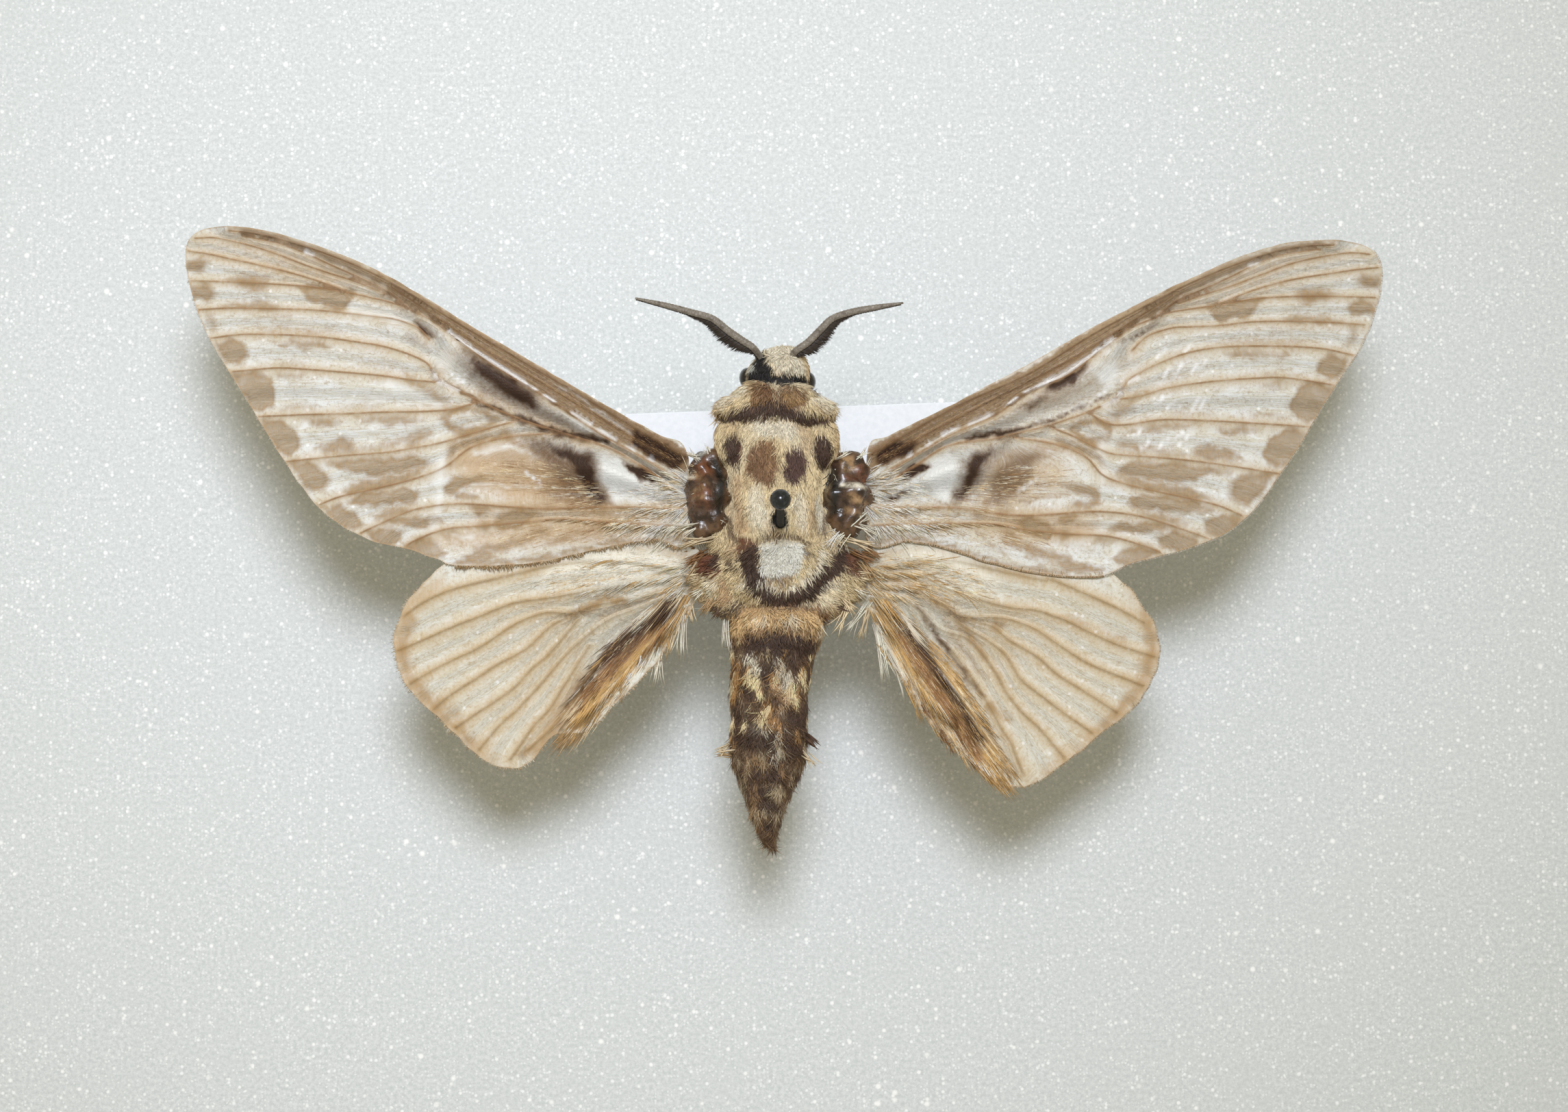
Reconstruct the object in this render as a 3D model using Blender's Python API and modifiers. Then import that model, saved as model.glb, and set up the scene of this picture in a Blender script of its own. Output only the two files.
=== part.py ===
"""A spread moth, Podalia orsilocha, on its pin over a blank card and a foam board. Metres, +Z up,
+Y towards the head, the origin in the middle of the board's underside."""

import math
import random

import bmesh
import bpy
import mathutils
import numpy as np
from mathutils import Vector
from mathutils.geometry import delaunay_2d_cdt

MM = 0.001
GAP = 0.3 * MM  # left between parts that meet

# The plan of the specimen was measured on a grid: columns to the right, rows towards the tail.
# The grid was seen a little from the tail side, so its rows stand for more than its columns.
WINGSPAN = 79.6 * MM
SPAN_COLUMNS = 1758  # from one forewing tip to the other
COLUMN = WINGSPAN / SPAN_COLUMNS
ROW = COLUMN / math.cos(math.radians(8.4))
MID_COLUMN = 1140
MID_ROW = 812

BOARD_X, BOARD_Y, BOARD_Z = 124 * MM, 94 * MM, 10 * MM
CARD_X, CARD_Y, CARD_Z = 23 * MM, 13.5 * MM, 0.5 * MM
CARD_FOOT = 16 * MM
CARD_TURN = math.radians(2.1)
CARD_MIDDLE = (1.2 * MM, 5.0 * MM)

PIN_X, PIN_Y = 0.0, 1.9 * MM
PIN_TIP, PIN_TOP = 1.0 * MM, 39.0 * MM
PIN_R, PIN_HEAD_R = 0.25 * MM, 0.68 * MM

WING_Z = 27.0 * MM
WING_THICK = 0.5 * MM
WING_BOW = 0.7 * MM  # rise of the wing halfway out
WING_DROP = 0.16 * MM  # fall of the wing at 10 mm behind its stem, growing with the square
HIND_DROP = 1.15 * MM  # the hindwing lies this far under the forewing
VEIN_TOP, VEIN_UNDER = 0.24 * MM, 0.10 * MM
VEIN_HALF = 0.36 * MM
VEIN_STEP = 1.8 * MM
MEMBRANE_STEP = 2.8 * MM

BODY_SIDES = 24
TINY_EDGE = 0.05 * MM
TINY_HEIGHT = 0.004 * MM

PARTS = "podalia_orsilocha_pinned_moth"
CUTTERS = "cutters"

for old in list(bpy.data.objects):
    bpy.data.objects.remove(old)
parts = bpy.data.collections.new(PARTS)
cutters = bpy.data.collections.new(CUTTERS)
bpy.context.scene.collection.children.link(parts)
bpy.context.scene.collection.children.link(cutters)


def material(name, colour, rough, metal=0.0):
    """A plain Principled material."""
    made = bpy.data.materials.new(name)
    made.use_nodes = True
    shader = made.node_tree.nodes["Principled BSDF"]
    shader.inputs["Base Color"].default_value = (*colour, 1.0)
    shader.inputs["Roughness"].default_value = rough
    shader.inputs["Metallic"].default_value = metal
    return made


FOAM = material("board_foam", (0.72, 0.74, 0.74), 0.7)
CARD = material("card_paper", (0.86, 0.88, 0.90), 0.6)
STEEL = material("pin_steel", (0.10, 0.10, 0.11), 0.3, 1.0)
PALE_WOOL = material("pale_wool", (0.66, 0.52, 0.36), 0.8)
DARK_WOOL = material("dark_wool", (0.13, 0.08, 0.05), 0.8)
FORE_VANE = material("forewing_vane", (0.52, 0.48, 0.42), 0.5)
HIND_VANE = material("hindwing_vane", (0.66, 0.60, 0.50), 0.5)
SHELL = material("dark_shell", (0.10, 0.04, 0.025), 0.35)
EYE = material("eye_black", (0.015, 0.012, 0.01), 0.15)
FEELER = material("feeler_grey", (0.24, 0.21, 0.18), 0.6)
LIMB = material("limb_brown", (0.16, 0.10, 0.07), 0.6)


def grid_point(column, row):
    """A point of the measured plan, in metres."""
    return ((column - MID_COLUMN) * COLUMN, (MID_ROW - row) * ROW)


def add_part(name, mesh, slot):
    """A named part of the moth or its mount."""
    made = bpy.data.objects.new(name, mesh)
    made.data.name = name
    made.data.materials.clear()
    made.data.materials.append(slot)
    parts.objects.link(made)
    return made


def add_cutter(name, mesh):
    """A shape that only cuts other parts."""
    made = bpy.data.objects.new(name, mesh)
    made.hide_render = True
    made.display_type = "WIRE"
    cutters.objects.link(made)
    return made


def to_mesh(name, shape):
    """A finished bmesh as a mesh, its faces turned outwards."""
    bmesh.ops.recalc_face_normals(shape, faces=shape.faces)
    mesh = bpy.data.meshes.new(name)
    shape.to_mesh(mesh)
    shape.free()
    return mesh


def apply_all(made):
    """The part with its modifiers worked in, so that later cuts see its true shape."""
    bpy.context.view_layer.update()
    held = made.evaluated_get(bpy.context.evaluated_depsgraph_get())
    mesh = bpy.data.meshes.new_from_object(held)
    made.modifiers.clear()
    old = made.data
    made.data = mesh
    bpy.data.meshes.remove(old)


def combine(made, other, how):
    """One Boolean step with another object."""
    step = made.modifiers.new(how.lower(), "BOOLEAN")
    step.operation = how
    step.solver = "MANIFOLD"
    step.object = other
    apply_all(made)


def keep_largest(made):
    """Only the largest closed surface of a part stays."""
    shape = bmesh.new()
    shape.from_mesh(made.data)
    left = set(shape.verts)
    islands = []
    while left:
        island = {left.pop()}
        edge_of = list(island)
        while edge_of:
            point = edge_of.pop()
            for edge in point.link_edges:
                other = edge.other_vert(point)
                if other not in island:
                    island.add(other)
                    edge_of.append(other)
        left -= island
        islands.append(island)
    islands.sort(key=len)
    for island in islands[:-1]:
        bmesh.ops.delete(shape, geom=list(island), context="VERTS")
    shape.to_mesh(made.data)
    shape.free()


def even_out(made):
    """Folds of no thickness go and the tiniest edges and faces close up, with the surface kept whole."""
    shape = bmesh.new()
    shape.from_mesh(made.data)
    bmesh.ops.triangulate(shape, faces=shape.faces)
    alike = {}
    for face in shape.faces:
        alike.setdefault(frozenset(face.verts), []).append(face)
    folds = [face for same in alike.values() if len(same) == 2 for face in same]
    bmesh.ops.delete(shape, geom=folds, context="FACES")
    busy = True
    while busy:
        busy = False
        for edge in sorted(shape.edges, key=lambda e: e.calc_length()):
            if not edge.is_valid or len(edge.link_faces) != 2 or edge.calc_length() > TINY_EDGE:
                continue
            a, b = edge.verts
            shared = {e.other_vert(a) for e in a.link_edges} & {e.other_vert(b) for e in b.link_edges}
            if len(shared) == 2:
                bmesh.ops.pointmerge(shape, verts=[a, b], merge_co=(a.co + b.co) / 2)
                busy = True
    for face in list(shape.faces):
        if not face.is_valid:
            continue
        edge = max(face.edges, key=lambda e: e.calc_length())
        if 2 * face.calc_area() > TINY_HEIGHT * edge.calc_length():
            continue
        c, d = [v for f in edge.link_faces for v in f.verts if v not in edge.verts]
        if d not in {e.other_vert(c) for e in c.link_edges}:
            bmesh.utils.edge_rotate(edge, True)
    shape.to_mesh(made.data)
    shape.free()


def smooth_line(points, step, closed=False):
    """Even points, about a step apart, along a smooth curve through the given ones."""
    given = [np.array(point, float) for point in points]
    count = len(given)
    fine = []
    for i in range(count if closed else count - 1):
        b, c = given[i], given[(i + 1) % count]
        a = given[i - 1] if closed or i else 2 * b - c
        d = given[(i + 2) % count] if closed or i + 2 < count else 2 * c - b
        for k in range(24):
            t = k / 24
            bend = (c - a) * t + (2 * a - 5 * b + 4 * c - d) * t**2 + (3 * b - a - 3 * c + d) * t**3
            fine.append(0.5 * (2 * b + bend))
    fine.append(given[0] if closed else given[-1])
    fine = np.array(fine)
    along = np.concatenate([[0], np.cumsum(np.linalg.norm(np.diff(fine, axis=0), axis=1))])
    pieces = max(2, round(along[-1] / step))
    at = np.linspace(0, along[-1], pieces + 1)
    even = np.stack([np.interp(at, along, fine[:, k]) for k in range(fine.shape[1])], 1)
    return even[:-1] if closed else even


# Board, card and pin.


def rounded_box(name, size, bevel):
    """A box on the floor with its edges eased."""
    shape = bmesh.new()
    bmesh.ops.create_cube(shape, size=1.0)
    bmesh.ops.scale(shape, vec=size, verts=shape.verts)
    bmesh.ops.translate(shape, vec=(0, 0, size[2] / 2), verts=shape.verts)
    bmesh.ops.bevel(shape, geom=shape.edges[:], offset=bevel, segments=2, affect="EDGES")
    return to_mesh(name, shape)


def turned(name, profile, steps, x, y):
    """A solid turned about the upright line through x, y."""
    made = bpy.data.objects.new(name, bpy.data.meshes.new(name))
    bpy.context.scene.collection.objects.link(made)
    made.data.from_pydata([(r, 0, z) for r, z in profile], [(i, i + 1) for i in range(len(profile) - 1)], [])
    turn = made.modifiers.new("turn", "SCREW")
    turn.axis = "Z"
    turn.steps = turn.render_steps = steps
    turn.use_merge_vertices = True
    turn.merge_threshold = 0.000001
    apply_all(made)
    shape = bmesh.new()
    shape.from_mesh(made.data)
    bmesh.ops.remove_doubles(shape, verts=shape.verts, dist=0.000001)
    bmesh.ops.translate(shape, vec=(x, y, 0), verts=shape.verts)
    bpy.data.objects.remove(made)
    return to_mesh(name, shape)


pin_profile = [(0, PIN_TIP), (PIN_R * 0.35, PIN_TIP + 0.6 * MM), (PIN_R, PIN_TIP + 2.4 * MM)]
neck = PIN_TOP - math.sqrt(PIN_HEAD_R**2 - PIN_R**2)
pin_profile.append((PIN_R, neck))
start = math.asin(PIN_R / PIN_HEAD_R)
for k in range(1, 8):
    angle = start + (math.pi - start) * k / 8
    pin_profile.append((PIN_HEAD_R * math.sin(angle), PIN_TOP - PIN_HEAD_R * math.cos(angle)))
pin_profile.append((0, PIN_TOP + PIN_HEAD_R))
pin = add_part("pin", turned("pin", pin_profile, 20, PIN_X, PIN_Y), STEEL)

bore_r = PIN_R + GAP
bore_foot = PIN_TIP - GAP
bore_profile = [(0, bore_foot), (bore_r, bore_foot), (bore_r, PIN_TOP), (0, PIN_TOP)]
bore = add_cutter("pin_bore", turned("pin_bore", bore_profile, 20, PIN_X, PIN_Y))

board = add_part("mount_board", rounded_box("mount_board", (BOARD_X, BOARD_Y, BOARD_Z), 0.5 * MM), FOAM)
combine(board, bore, "DIFFERENCE")

card_mesh = rounded_box("label_card", (CARD_X, CARD_Y, CARD_Z), 0.05 * MM)
card_mesh.transform(mathutils.Matrix.Rotation(CARD_TURN, 4, "Z"))
card_mesh.transform(mathutils.Matrix.Translation((*CARD_MIDDLE, CARD_FOOT)))
card = add_part("label_card", card_mesh, CARD)
combine(card, bore, "DIFFERENCE")

# Body. Each part is a run of cross-sections: row, left and right column, underside and top in mm.


HEAD = [
    (505, 1122, 1166, 24.6, 27.4),
    (510, 1106, 1180, 24.1, 28.0),
    (524, 1092, 1188, 23.7, 28.5),
    (540, 1082, 1192, 23.5, 28.7),
    (556, 1080, 1190, 23.6, 28.5),
    (570, 1090, 1182, 24.2, 28.1),
]
COLLAR = [
    (552, 1084, 1184, 24.0, 27.6),
    (562, 1054, 1206, 23.4, 28.4),
    (578, 1042, 1216, 22.9, 28.9),
    (600, 1041, 1222, 22.7, 29.1),
    (616, 1048, 1212, 22.8, 28.9),
    (626, 1066, 1196, 23.2, 28.3),
]
THORAX = [
    (606, 1074, 1190, 23.4, 28.0),
    (622, 1044, 1216, 22.5, 28.8),
    (650, 1036, 1228, 21.9, 29.3),
    (690, 1044, 1218, 21.7, 29.6),
    (735, 1052, 1210, 21.7, 29.6),
    (775, 1056, 1206, 21.9, 29.3),
    (800, 1066, 1198, 22.4, 28.8),
    (812, 1084, 1184, 23.2, 28.0),
]
METATHORAX = [
    (790, 1086, 1182, 23.4, 28.2),
    (800, 1048, 1222, 22.6, 28.8),
    (826, 1031, 1239, 22.1, 29.0),
    (856, 1030, 1240, 22.2, 28.7),
    (878, 1044, 1226, 22.6, 28.2),
    (892, 1074, 1196, 23.3, 27.6),
]
ABDOMEN = [
    (880, 1086, 1186, 23.4, 27.4),
    (890, 1062, 1208, 22.6, 28.1),
    (912, 1056, 1212, 22.1, 28.5),
    (950, 1060, 1198, 22.0, 28.4),
    (1000, 1060, 1188, 22.1, 28.1),
    (1050, 1060, 1186, 22.3, 27.9),
    (1095, 1060, 1184, 22.5, 27.7),
    (1135, 1072, 1171, 22.8, 27.3),
    (1180, 1088, 1152, 23.3, 26.7),
    (1214, 1102, 1142, 23.9, 26.1),
    (1238, 1128, 1142, 24.6, 25.3),
]


def rings_of(sections, step):
    """The middle, half sizes and place of each ring of a run of cross-sections, in metres."""
    rows = []
    for row, left, right, low, high in sections:
        x0, y = grid_point(left, row)
        x1, _ = grid_point(right, row)
        rows.append((y, (x0 + x1) / 2, (x1 - x0) / 2, (low + high) / 2 * MM, (high - low) / 2 * MM))
    return smooth_line(rows, step)


def around(ring, a, swell=1.0, grow=0.0):
    """The point of a ring at an angle, 0 to the right and a quarter turn on top."""
    y, x, half_x, z, half_z = ring
    c, s = math.cos(a), math.sin(a)
    px = x + (half_x * swell + grow) * math.copysign(abs(c) ** 0.88, c)
    pz = z + (half_z * swell + grow) * math.copysign(abs(s) ** 0.88, s)
    return Vector((px, y, pz))


def body_shape(name, sections, grow=0.0, step=1.05 * MM, wave=None):
    """A rounded solid through cross-sections, or the same grown outwards on every side."""
    rings = rings_of(sections, step)
    shape = bmesh.new()
    loops = []
    last = len(rings) - 1
    for i, ring in enumerate(rings):
        shift = Vector((0, grow if i == 0 else -grow if i == last else 0.0, 0))
        loop = []
        for k in range(BODY_SIDES):
            a = 2 * math.pi * k / BODY_SIDES
            swell = 1.0 + (wave(ring, i, a) if wave else 0.0)
            loop.append(shape.verts.new(around(ring, a, swell, grow) + shift))
        loops.append(loop)
    for one, two in zip(loops, loops[1:]):
        for k in range(BODY_SIDES):
            n = (k + 1) % BODY_SIDES
            shape.faces.new((one[k], one[n], two[n], two[k]))
    for loop in (loops[0], loops[-1]):
        middle = sum((v.co for v in loop), Vector()) / BODY_SIDES
        centre = shape.verts.new(middle)
        for k in range(BODY_SIDES):
            shape.faces.new((loop[k], loop[(k + 1) % BODY_SIDES], centre))
    return to_mesh(name, shape)


def body_part(name, sections, slot, **more):
    """A part of the body and the grown shape that keeps its neighbours off it."""
    made = add_part(name, body_shape(name, sections, **more), slot)
    grown = add_cutter(name + "_keep_off", body_shape(name + "_keep_off", sections, GAP))
    return made, grown


def wool_wave(ring, _, a):
    """Shallow hollows between the clumps of wool."""
    at = around(ring, a) / MM
    return -0.07 * abs(mathutils.noise.noise(at * 0.55)) - 0.03 * abs(mathutils.noise.noise(at * 1.3))


def segment_wave(ring, i, a):
    """The abdomen's rings swell towards the rear edge of each segment."""
    return wool_wave(ring, i, a) + 0.06 * ((i * SEGMENT_RINGS) % 1.0) - 0.03


def lock_form():
    """One tuft of unit size along +Z: full at the root, then narrowing to its tip."""
    shape = bmesh.new()
    bmesh.ops.create_cone(shape, cap_ends=True, segments=5, radius1=0.5, radius2=0.5, depth=1.0)
    sides = [e for e in shape.edges if abs(e.verts[0].co.z - e.verts[1].co.z) > 0.9]
    bmesh.ops.subdivide_edges(shape, edges=sides, cuts=2)
    for point in shape.verts:
        slim = 1.0 - 1.85 * max(0.0, point.co.z + 0.2) ** 2
        point.co.x *= slim
        point.co.y *= slim
    return to_mesh("lock_form", shape)


LOCK_FORM = lock_form()


class Locks:
    """Flat tapering tufts gathered into one mesh, to be fused with what they grow from."""

    def __init__(self):
        self.shape = bmesh.new()

    def add(self, at, along, up, length, width, thick):
        """A tuft that stands length out of the point at, its root sunk as deep again."""
        along = along.normalized()
        side = along.cross(up).normalized()
        up = side.cross(along)
        turn = mathutils.Matrix((side * width, up * thick, along * 2 * length)).transposed().to_4x4()
        turn.translation = at
        tuft = LOCK_FORM.copy()
        tuft.transform(turn)
        self.shape.from_mesh(tuft)
        bpy.data.meshes.remove(tuft)

    def fuse(self, made):
        """Make the tufts part of a solid."""
        other = add_cutter(made.name + "_locks", to_mesh(made.name + "_locks", self.shape))
        combine(made, other, "UNION")
        keep_largest(made)


def ring_locks(locks, sections, share, angles, out, length, width, thick, back=-1.0):
    """Tufts around one cross-section, lying backwards and standing a little out."""
    rings = rings_of(sections, 0.5 * MM)
    ring = rings[round(share * (len(rings) - 1))]
    for degrees in angles:
        a = math.radians(degrees + DRAW.uniform(-6, 6))
        at = around(ring, a, 0.9)
        normal = Vector((math.cos(a), 0, math.sin(a)))
        along = Vector((0, back, 0)) + normal * out * DRAW.uniform(0.8, 1.2)
        grown = length * DRAW.uniform(0.8, 1.15)
        locks.add(at, along, normal, grown, width * DRAW.uniform(0.85, 1.15), thick)


DRAW = random.Random(7)
SEGMENT_RINGS = 0.42

thorax, thorax_off = body_part("thorax", THORAX, PALE_WOOL, wave=wool_wave)
rear, rear_off = body_part("metathorax", METATHORAX, PALE_WOOL, wave=wool_wave)
collar, collar_off = body_part("collar", COLLAR, PALE_WOOL, wave=wool_wave)
head, head_off = body_part("head", HEAD, PALE_WOOL, wave=wool_wave)
abdomen, abdomen_off = body_part("abdomen", ABDOMEN, DARK_WOOL, wave=segment_wave)

crest = Locks()
for degrees, length in ((50, 0.8), (75, 1.0), (105, 1.0), (130, 0.8)):
    ring_locks(crest, HEAD, 0.35, [degrees], 0.3, length * MM, 1.1 * MM, 0.6 * MM, back=1.0)
crest.fuse(head)
mantle = Locks()
ring_locks(mantle, COLLAR, 0.62, (-8, 16, 164, 188), 0.6, 1.0 * MM, 1.5 * MM, 0.6 * MM)
mantle.fuse(collar)

fluff = Locks()
ring_locks(fluff, METATHORAX, 0.72, (-18, 2, 22, 158, 178, 198), 0.5, 1.5 * MM, 1.3 * MM, 0.6 * MM)
fluff.fuse(rear)

rags = Locks()
for n, share in enumerate((0.16, 0.3, 0.44, 0.57, 0.7, 0.82, 0.92)):
    angles = (-18, 20, 70, 118, 164) if n % 2 else (-2, 46, 92, 140, 186)
    size = 1.0 - 0.35 * share
    ring_locks(rags, ABDOMEN, share, angles, 0.26, 1.5 * size * MM, 2.0 * size * MM, 0.75 * MM)
rags.fuse(abdomen)

combine(rear, thorax_off, "DIFFERENCE")
combine(collar, thorax_off, "DIFFERENCE")
combine(head, collar_off, "DIFFERENCE")
combine(abdomen, rear_off, "DIFFERENCE")
for made in (rear, collar, head, abdomen):
    keep_largest(made)
combine(thorax, bore, "DIFFERENCE")

# Eyes, palps and feelers.


def ball(name, at, radii, grow=0.0):
    """An ellipsoid."""
    shape = bmesh.new()
    bmesh.ops.create_uvsphere(shape, u_segments=16, v_segments=10, radius=1.0)
    bmesh.ops.scale(shape, vec=[r + grow for r in radii], verts=shape.verts)
    bmesh.ops.translate(shape, vec=at, verts=shape.verts)
    return to_mesh(name, shape)


EYE_R = 0.85 * MM
EYE_Z = 26.0 * MM
EYES = {"eye_left": (1084, 545), "eye_right": (1188, 552)}
for name, spot in EYES.items():
    at = (*grid_point(*spot), EYE_Z)
    radii = (EYE_R * 0.8, EYE_R, EYE_R * 1.1)
    eye = add_part(name, ball(name, at, radii), EYE)
    socket = add_cutter(name + "_socket", ball(name + "_socket", at, radii, GAP))
    combine(head, socket, "DIFFERENCE")
    combine(eye, collar_off, "DIFFERENCE")
keep_largest(head)


def tube(name, points, radii, sides=8, flat=1.0, step=0.8 * MM):
    """A tapering limb through points, closed at both ends; flat squeezes it from above."""
    data = [(*p, r) for p, r in zip(points, radii)]
    line = smooth_line(data, step)
    shape = bmesh.new()
    loops = []
    for i, (x, y, z, r) in enumerate(line):
        here = Vector((x, y, z))
        ahead = Vector(line[min(i + 1, len(line) - 1)][:3]) - Vector(line[max(i - 1, 0)][:3])
        ahead.normalize()
        side = ahead.cross(Vector((0, 0, 1)))
        if side.length < 0.05:
            side = ahead.cross(Vector((0, 1, 0)))
        side.normalize()
        up = side.cross(ahead)
        loop = []
        for k in range(sides):
            a = 2 * math.pi * k / sides
            loop.append(shape.verts.new(here + side * (r * math.cos(a)) + up * (r * flat * math.sin(a))))
        loops.append(loop)
    for one, two in zip(loops, loops[1:]):
        for k in range(sides):
            n = (k + 1) % sides
            shape.faces.new((one[k], one[n], two[n], two[k]))
    shape.faces.new(loops[0])
    shape.faces.new(loops[-1])
    bmesh.ops.triangulate(shape, faces=shape.faces[:])
    return to_mesh(name, shape)


FEELER_Z = 28.2 * MM
FEELERS = {
    "antenna_left": [(1100, 511, 0.28), (1082, 499, 0.30), (1062, 485, 0.30), (1040, 468, 0.28),
                     (1010, 459, 0.27), (970, 448, 0.22), (927, 438, 0.08)],
    "antenna_right": [(1162, 516, 0.28), (1180, 503, 0.30), (1198, 485, 0.30), (1216, 468, 0.28),
                      (1245, 458, 0.27), (1282, 451, 0.22), (1320, 445, 0.08)],
}
COMB_TEETH = 7
COMB_REACH = 0.62  # the share of the feeler that carries a comb
for name, points in FEELERS.items():
    line = [(*grid_point(c, r), FEELER_Z) for c, r, _ in points]
    antenna = add_part(name, tube(name, line, [w * MM for *_, w in points]), FEELER)
    comb = Locks()
    even = smooth_line(line, 0.3 * MM)
    for k in range(COMB_TEETH):
        share = COMB_REACH * (k + 1.0) / COMB_TEETH
        n = round(share * (len(even) - 1))
        here, ahead = Vector(even[n]), Vector(even[n + 1]) - Vector(even[n])
        rearward = ahead.cross(Vector((0, 0, 1)))
        rearward *= math.copysign(1.0, -rearward.y)
        long = (0.78 - 0.5 * share) * MM
        comb.add(here, rearward.normalized() + ahead.normalized() * 0.5, Vector((0, 0, 1)), long,
                 0.36 * MM, 0.42 * MM)
    comb.fuse(antenna)
    combine(antenna, head_off, "DIFFERENCE")
    keep_largest(antenna)

for name, column in (("palp_left", 1122), ("palp_right", 1158)):
    x, y = grid_point(column, 512)
    line = [(x, y - 0.6 * MM, 24.0 * MM), (x, y, 23.1 * MM), (x, y + 0.1 * MM, 22.0 * MM)]
    palp = add_part(name, tube(name, line, [0.4 * MM, 0.42 * MM, 0.2 * MM], step=0.4 * MM), DARK_WOOL)
    combine(palp, head_off, "DIFFERENCE")
    keep_largest(palp)

# Wing bases.

TEGULAE = {"tegula_left": (1034, 722), "tegula_right": (1238, 722)}
TEGULA_LOBES = [(1.2, 1.5, 1.9, 1.2), (0.0, 1.7, 1.6, 1.75), (-1.5, 1.4, 1.7, 1.3)]  # y, then radii, mm
ROOT_LEFT = grid_point(1003, 0)[0]
ROOT_RIGHT = grid_point(1268, 0)[0]
for name, spot in TEGULAE.items():
    at = (*grid_point(*spot), WING_Z - 0.1 * MM)
    lobes = []
    for y, *radii in TEGULA_LOBES:
        lobes.append(ball(name, (at[0], at[1] + y * MM, at[2]), [r * MM for r in radii]))
    base = add_part(name, lobes[0], SHELL)
    for lobe in lobes[1:]:
        combine(base, add_cutter(name + "_lobe", lobe), "UNION")
    combine(base, thorax_off, "DIFFERENCE")
    combine(base, rear_off, "DIFFERENCE")
    outer = ROOT_LEFT + GAP if spot[0] < MID_COLUMN else ROOT_RIGHT - GAP
    shape = bmesh.new()
    bmesh.ops.create_cube(shape, size=6 * MM)
    away = -3 * MM if spot[0] < MID_COLUMN else 3 * MM
    bmesh.ops.translate(shape, vec=(outer + away, at[1], at[2]), verts=shape.verts)
    cut = add_cutter(name + "_end", to_mesh(name + "_end", shape))
    combine(base, cut, "DIFFERENCE")
    keep_largest(base)

# Legs, folded under the body.

LEGS = {
    "foreleg": [(1.4, 9.4, 23.6, 0.60), (1.9, 10.8, 21.6, 0.78), (2.5, 11.9, 20.2, 0.42),
                (2.6, 10.2, 19.3, 0.62), (2.4, 8.3, 18.8, 0.40), (2.1, 6.6, 18.6, 0.28),
                (1.8, 4.9, 18.6, 0.26)],
    "midleg": [(1.7, 4.6, 22.6, 0.62), (3.0, 5.6, 20.9, 0.80), (4.2, 6.6, 19.7, 0.42),
               (4.4, 4.2, 19.1, 0.66), (4.1, 1.6, 18.7, 0.40), (3.8, -0.6, 18.6, 0.28),
               (3.5, -2.8, 18.6, 0.26)],
    "hindleg": [(1.7, -0.6, 22.8, 0.62), (2.3, -1.8, 21.0, 0.76), (2.5, -3.4, 19.9, 0.42),
                (2.0, -6.0, 19.6, 0.64), (1.6, -8.8, 19.4, 0.40), (1.3, -11.0, 19.5, 0.28),
                (1.1, -13.0, 19.8, 0.26)],
}
for leg, points in LEGS.items():
    for side, sign in (("left", -1), ("right", 1)):
        name = f"{leg}_{side}"
        line = [((sign * x - 0.3) * MM, y * MM, z * MM) for x, y, z, _ in points]
        limb = add_part(name, tube(name, line, [r * MM for *_, r in points]), LIMB)
        claws = Locks()
        end, before = Vector(line[-1]), Vector(line[-2])
        for turn in (-0.6, 0.6):
            out = (end - before).normalized() + Vector((turn, 0, -0.5))
            claws.add(end, out, Vector((0, 0, 1)), 0.5 * MM, 0.26 * MM, 0.28 * MM)
        claws.fuse(limb)
        for keep_off in (thorax_off, rear_off, collar_off):
            combine(limb, keep_off, "DIFFERENCE")
        keep_largest(limb)

# Wings. The left ones carry the named veins; the right ones take them through pairs of like points.

FORE_LEFT = [
    (1003, 661), (960, 634), (880, 590), (780, 532), (680, 473), (600, 424), (540, 391), (480, 365),
    (420, 345), (370, 332), (330, 327), (295, 330), (272, 343), (265, 362), (268, 395), (277, 432),
    (290, 468), (312, 512), (343, 560), (375, 612), (402, 655), (432, 700), (465, 742), (505, 772),
    (548, 792), (595, 803), (640, 818), (660, 826), (720, 827), (790, 822), (850, 808), (905, 795),
    (960, 788), (1003, 790),
]
FORE_RIGHT = [
    (1268, 657), (1300, 636), (1380, 597), (1480, 545), (1560, 500), (1640, 457), (1720, 417),
    (1800, 380), (1840, 365), (1880, 354), (1920, 349), (1965, 348), (1998, 355), (2016, 368),
    (2023, 388), (2023, 412), (2012, 455), (1992, 505), (1960, 553), (1930, 600), (1900, 650),
    (1860, 708), (1832, 745), (1800, 773), (1760, 793), (1700, 812), (1650, 824), (1612, 841),
    (1560, 842), (1500, 835), (1440, 820), (1390, 803), (1330, 790), (1268, 789),
]
HIND_LEFT = [
    (1021, 806), (990, 792), (950, 776), (905, 774), (850, 786), (790, 800), (720, 806), (672, 808), (640, 830),
    (598, 872), (582, 903), (575, 935), (580, 968), (596, 1000), (620, 1027), (655, 1058),
    (690, 1090), (722, 1110), (750, 1118), (780, 1102), (812, 1068), (845, 1066), (872, 1050),
    (900, 1022), (925, 998), (950, 972), (970, 945), (990, 908), (1004, 886), (1021, 866),
]
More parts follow.
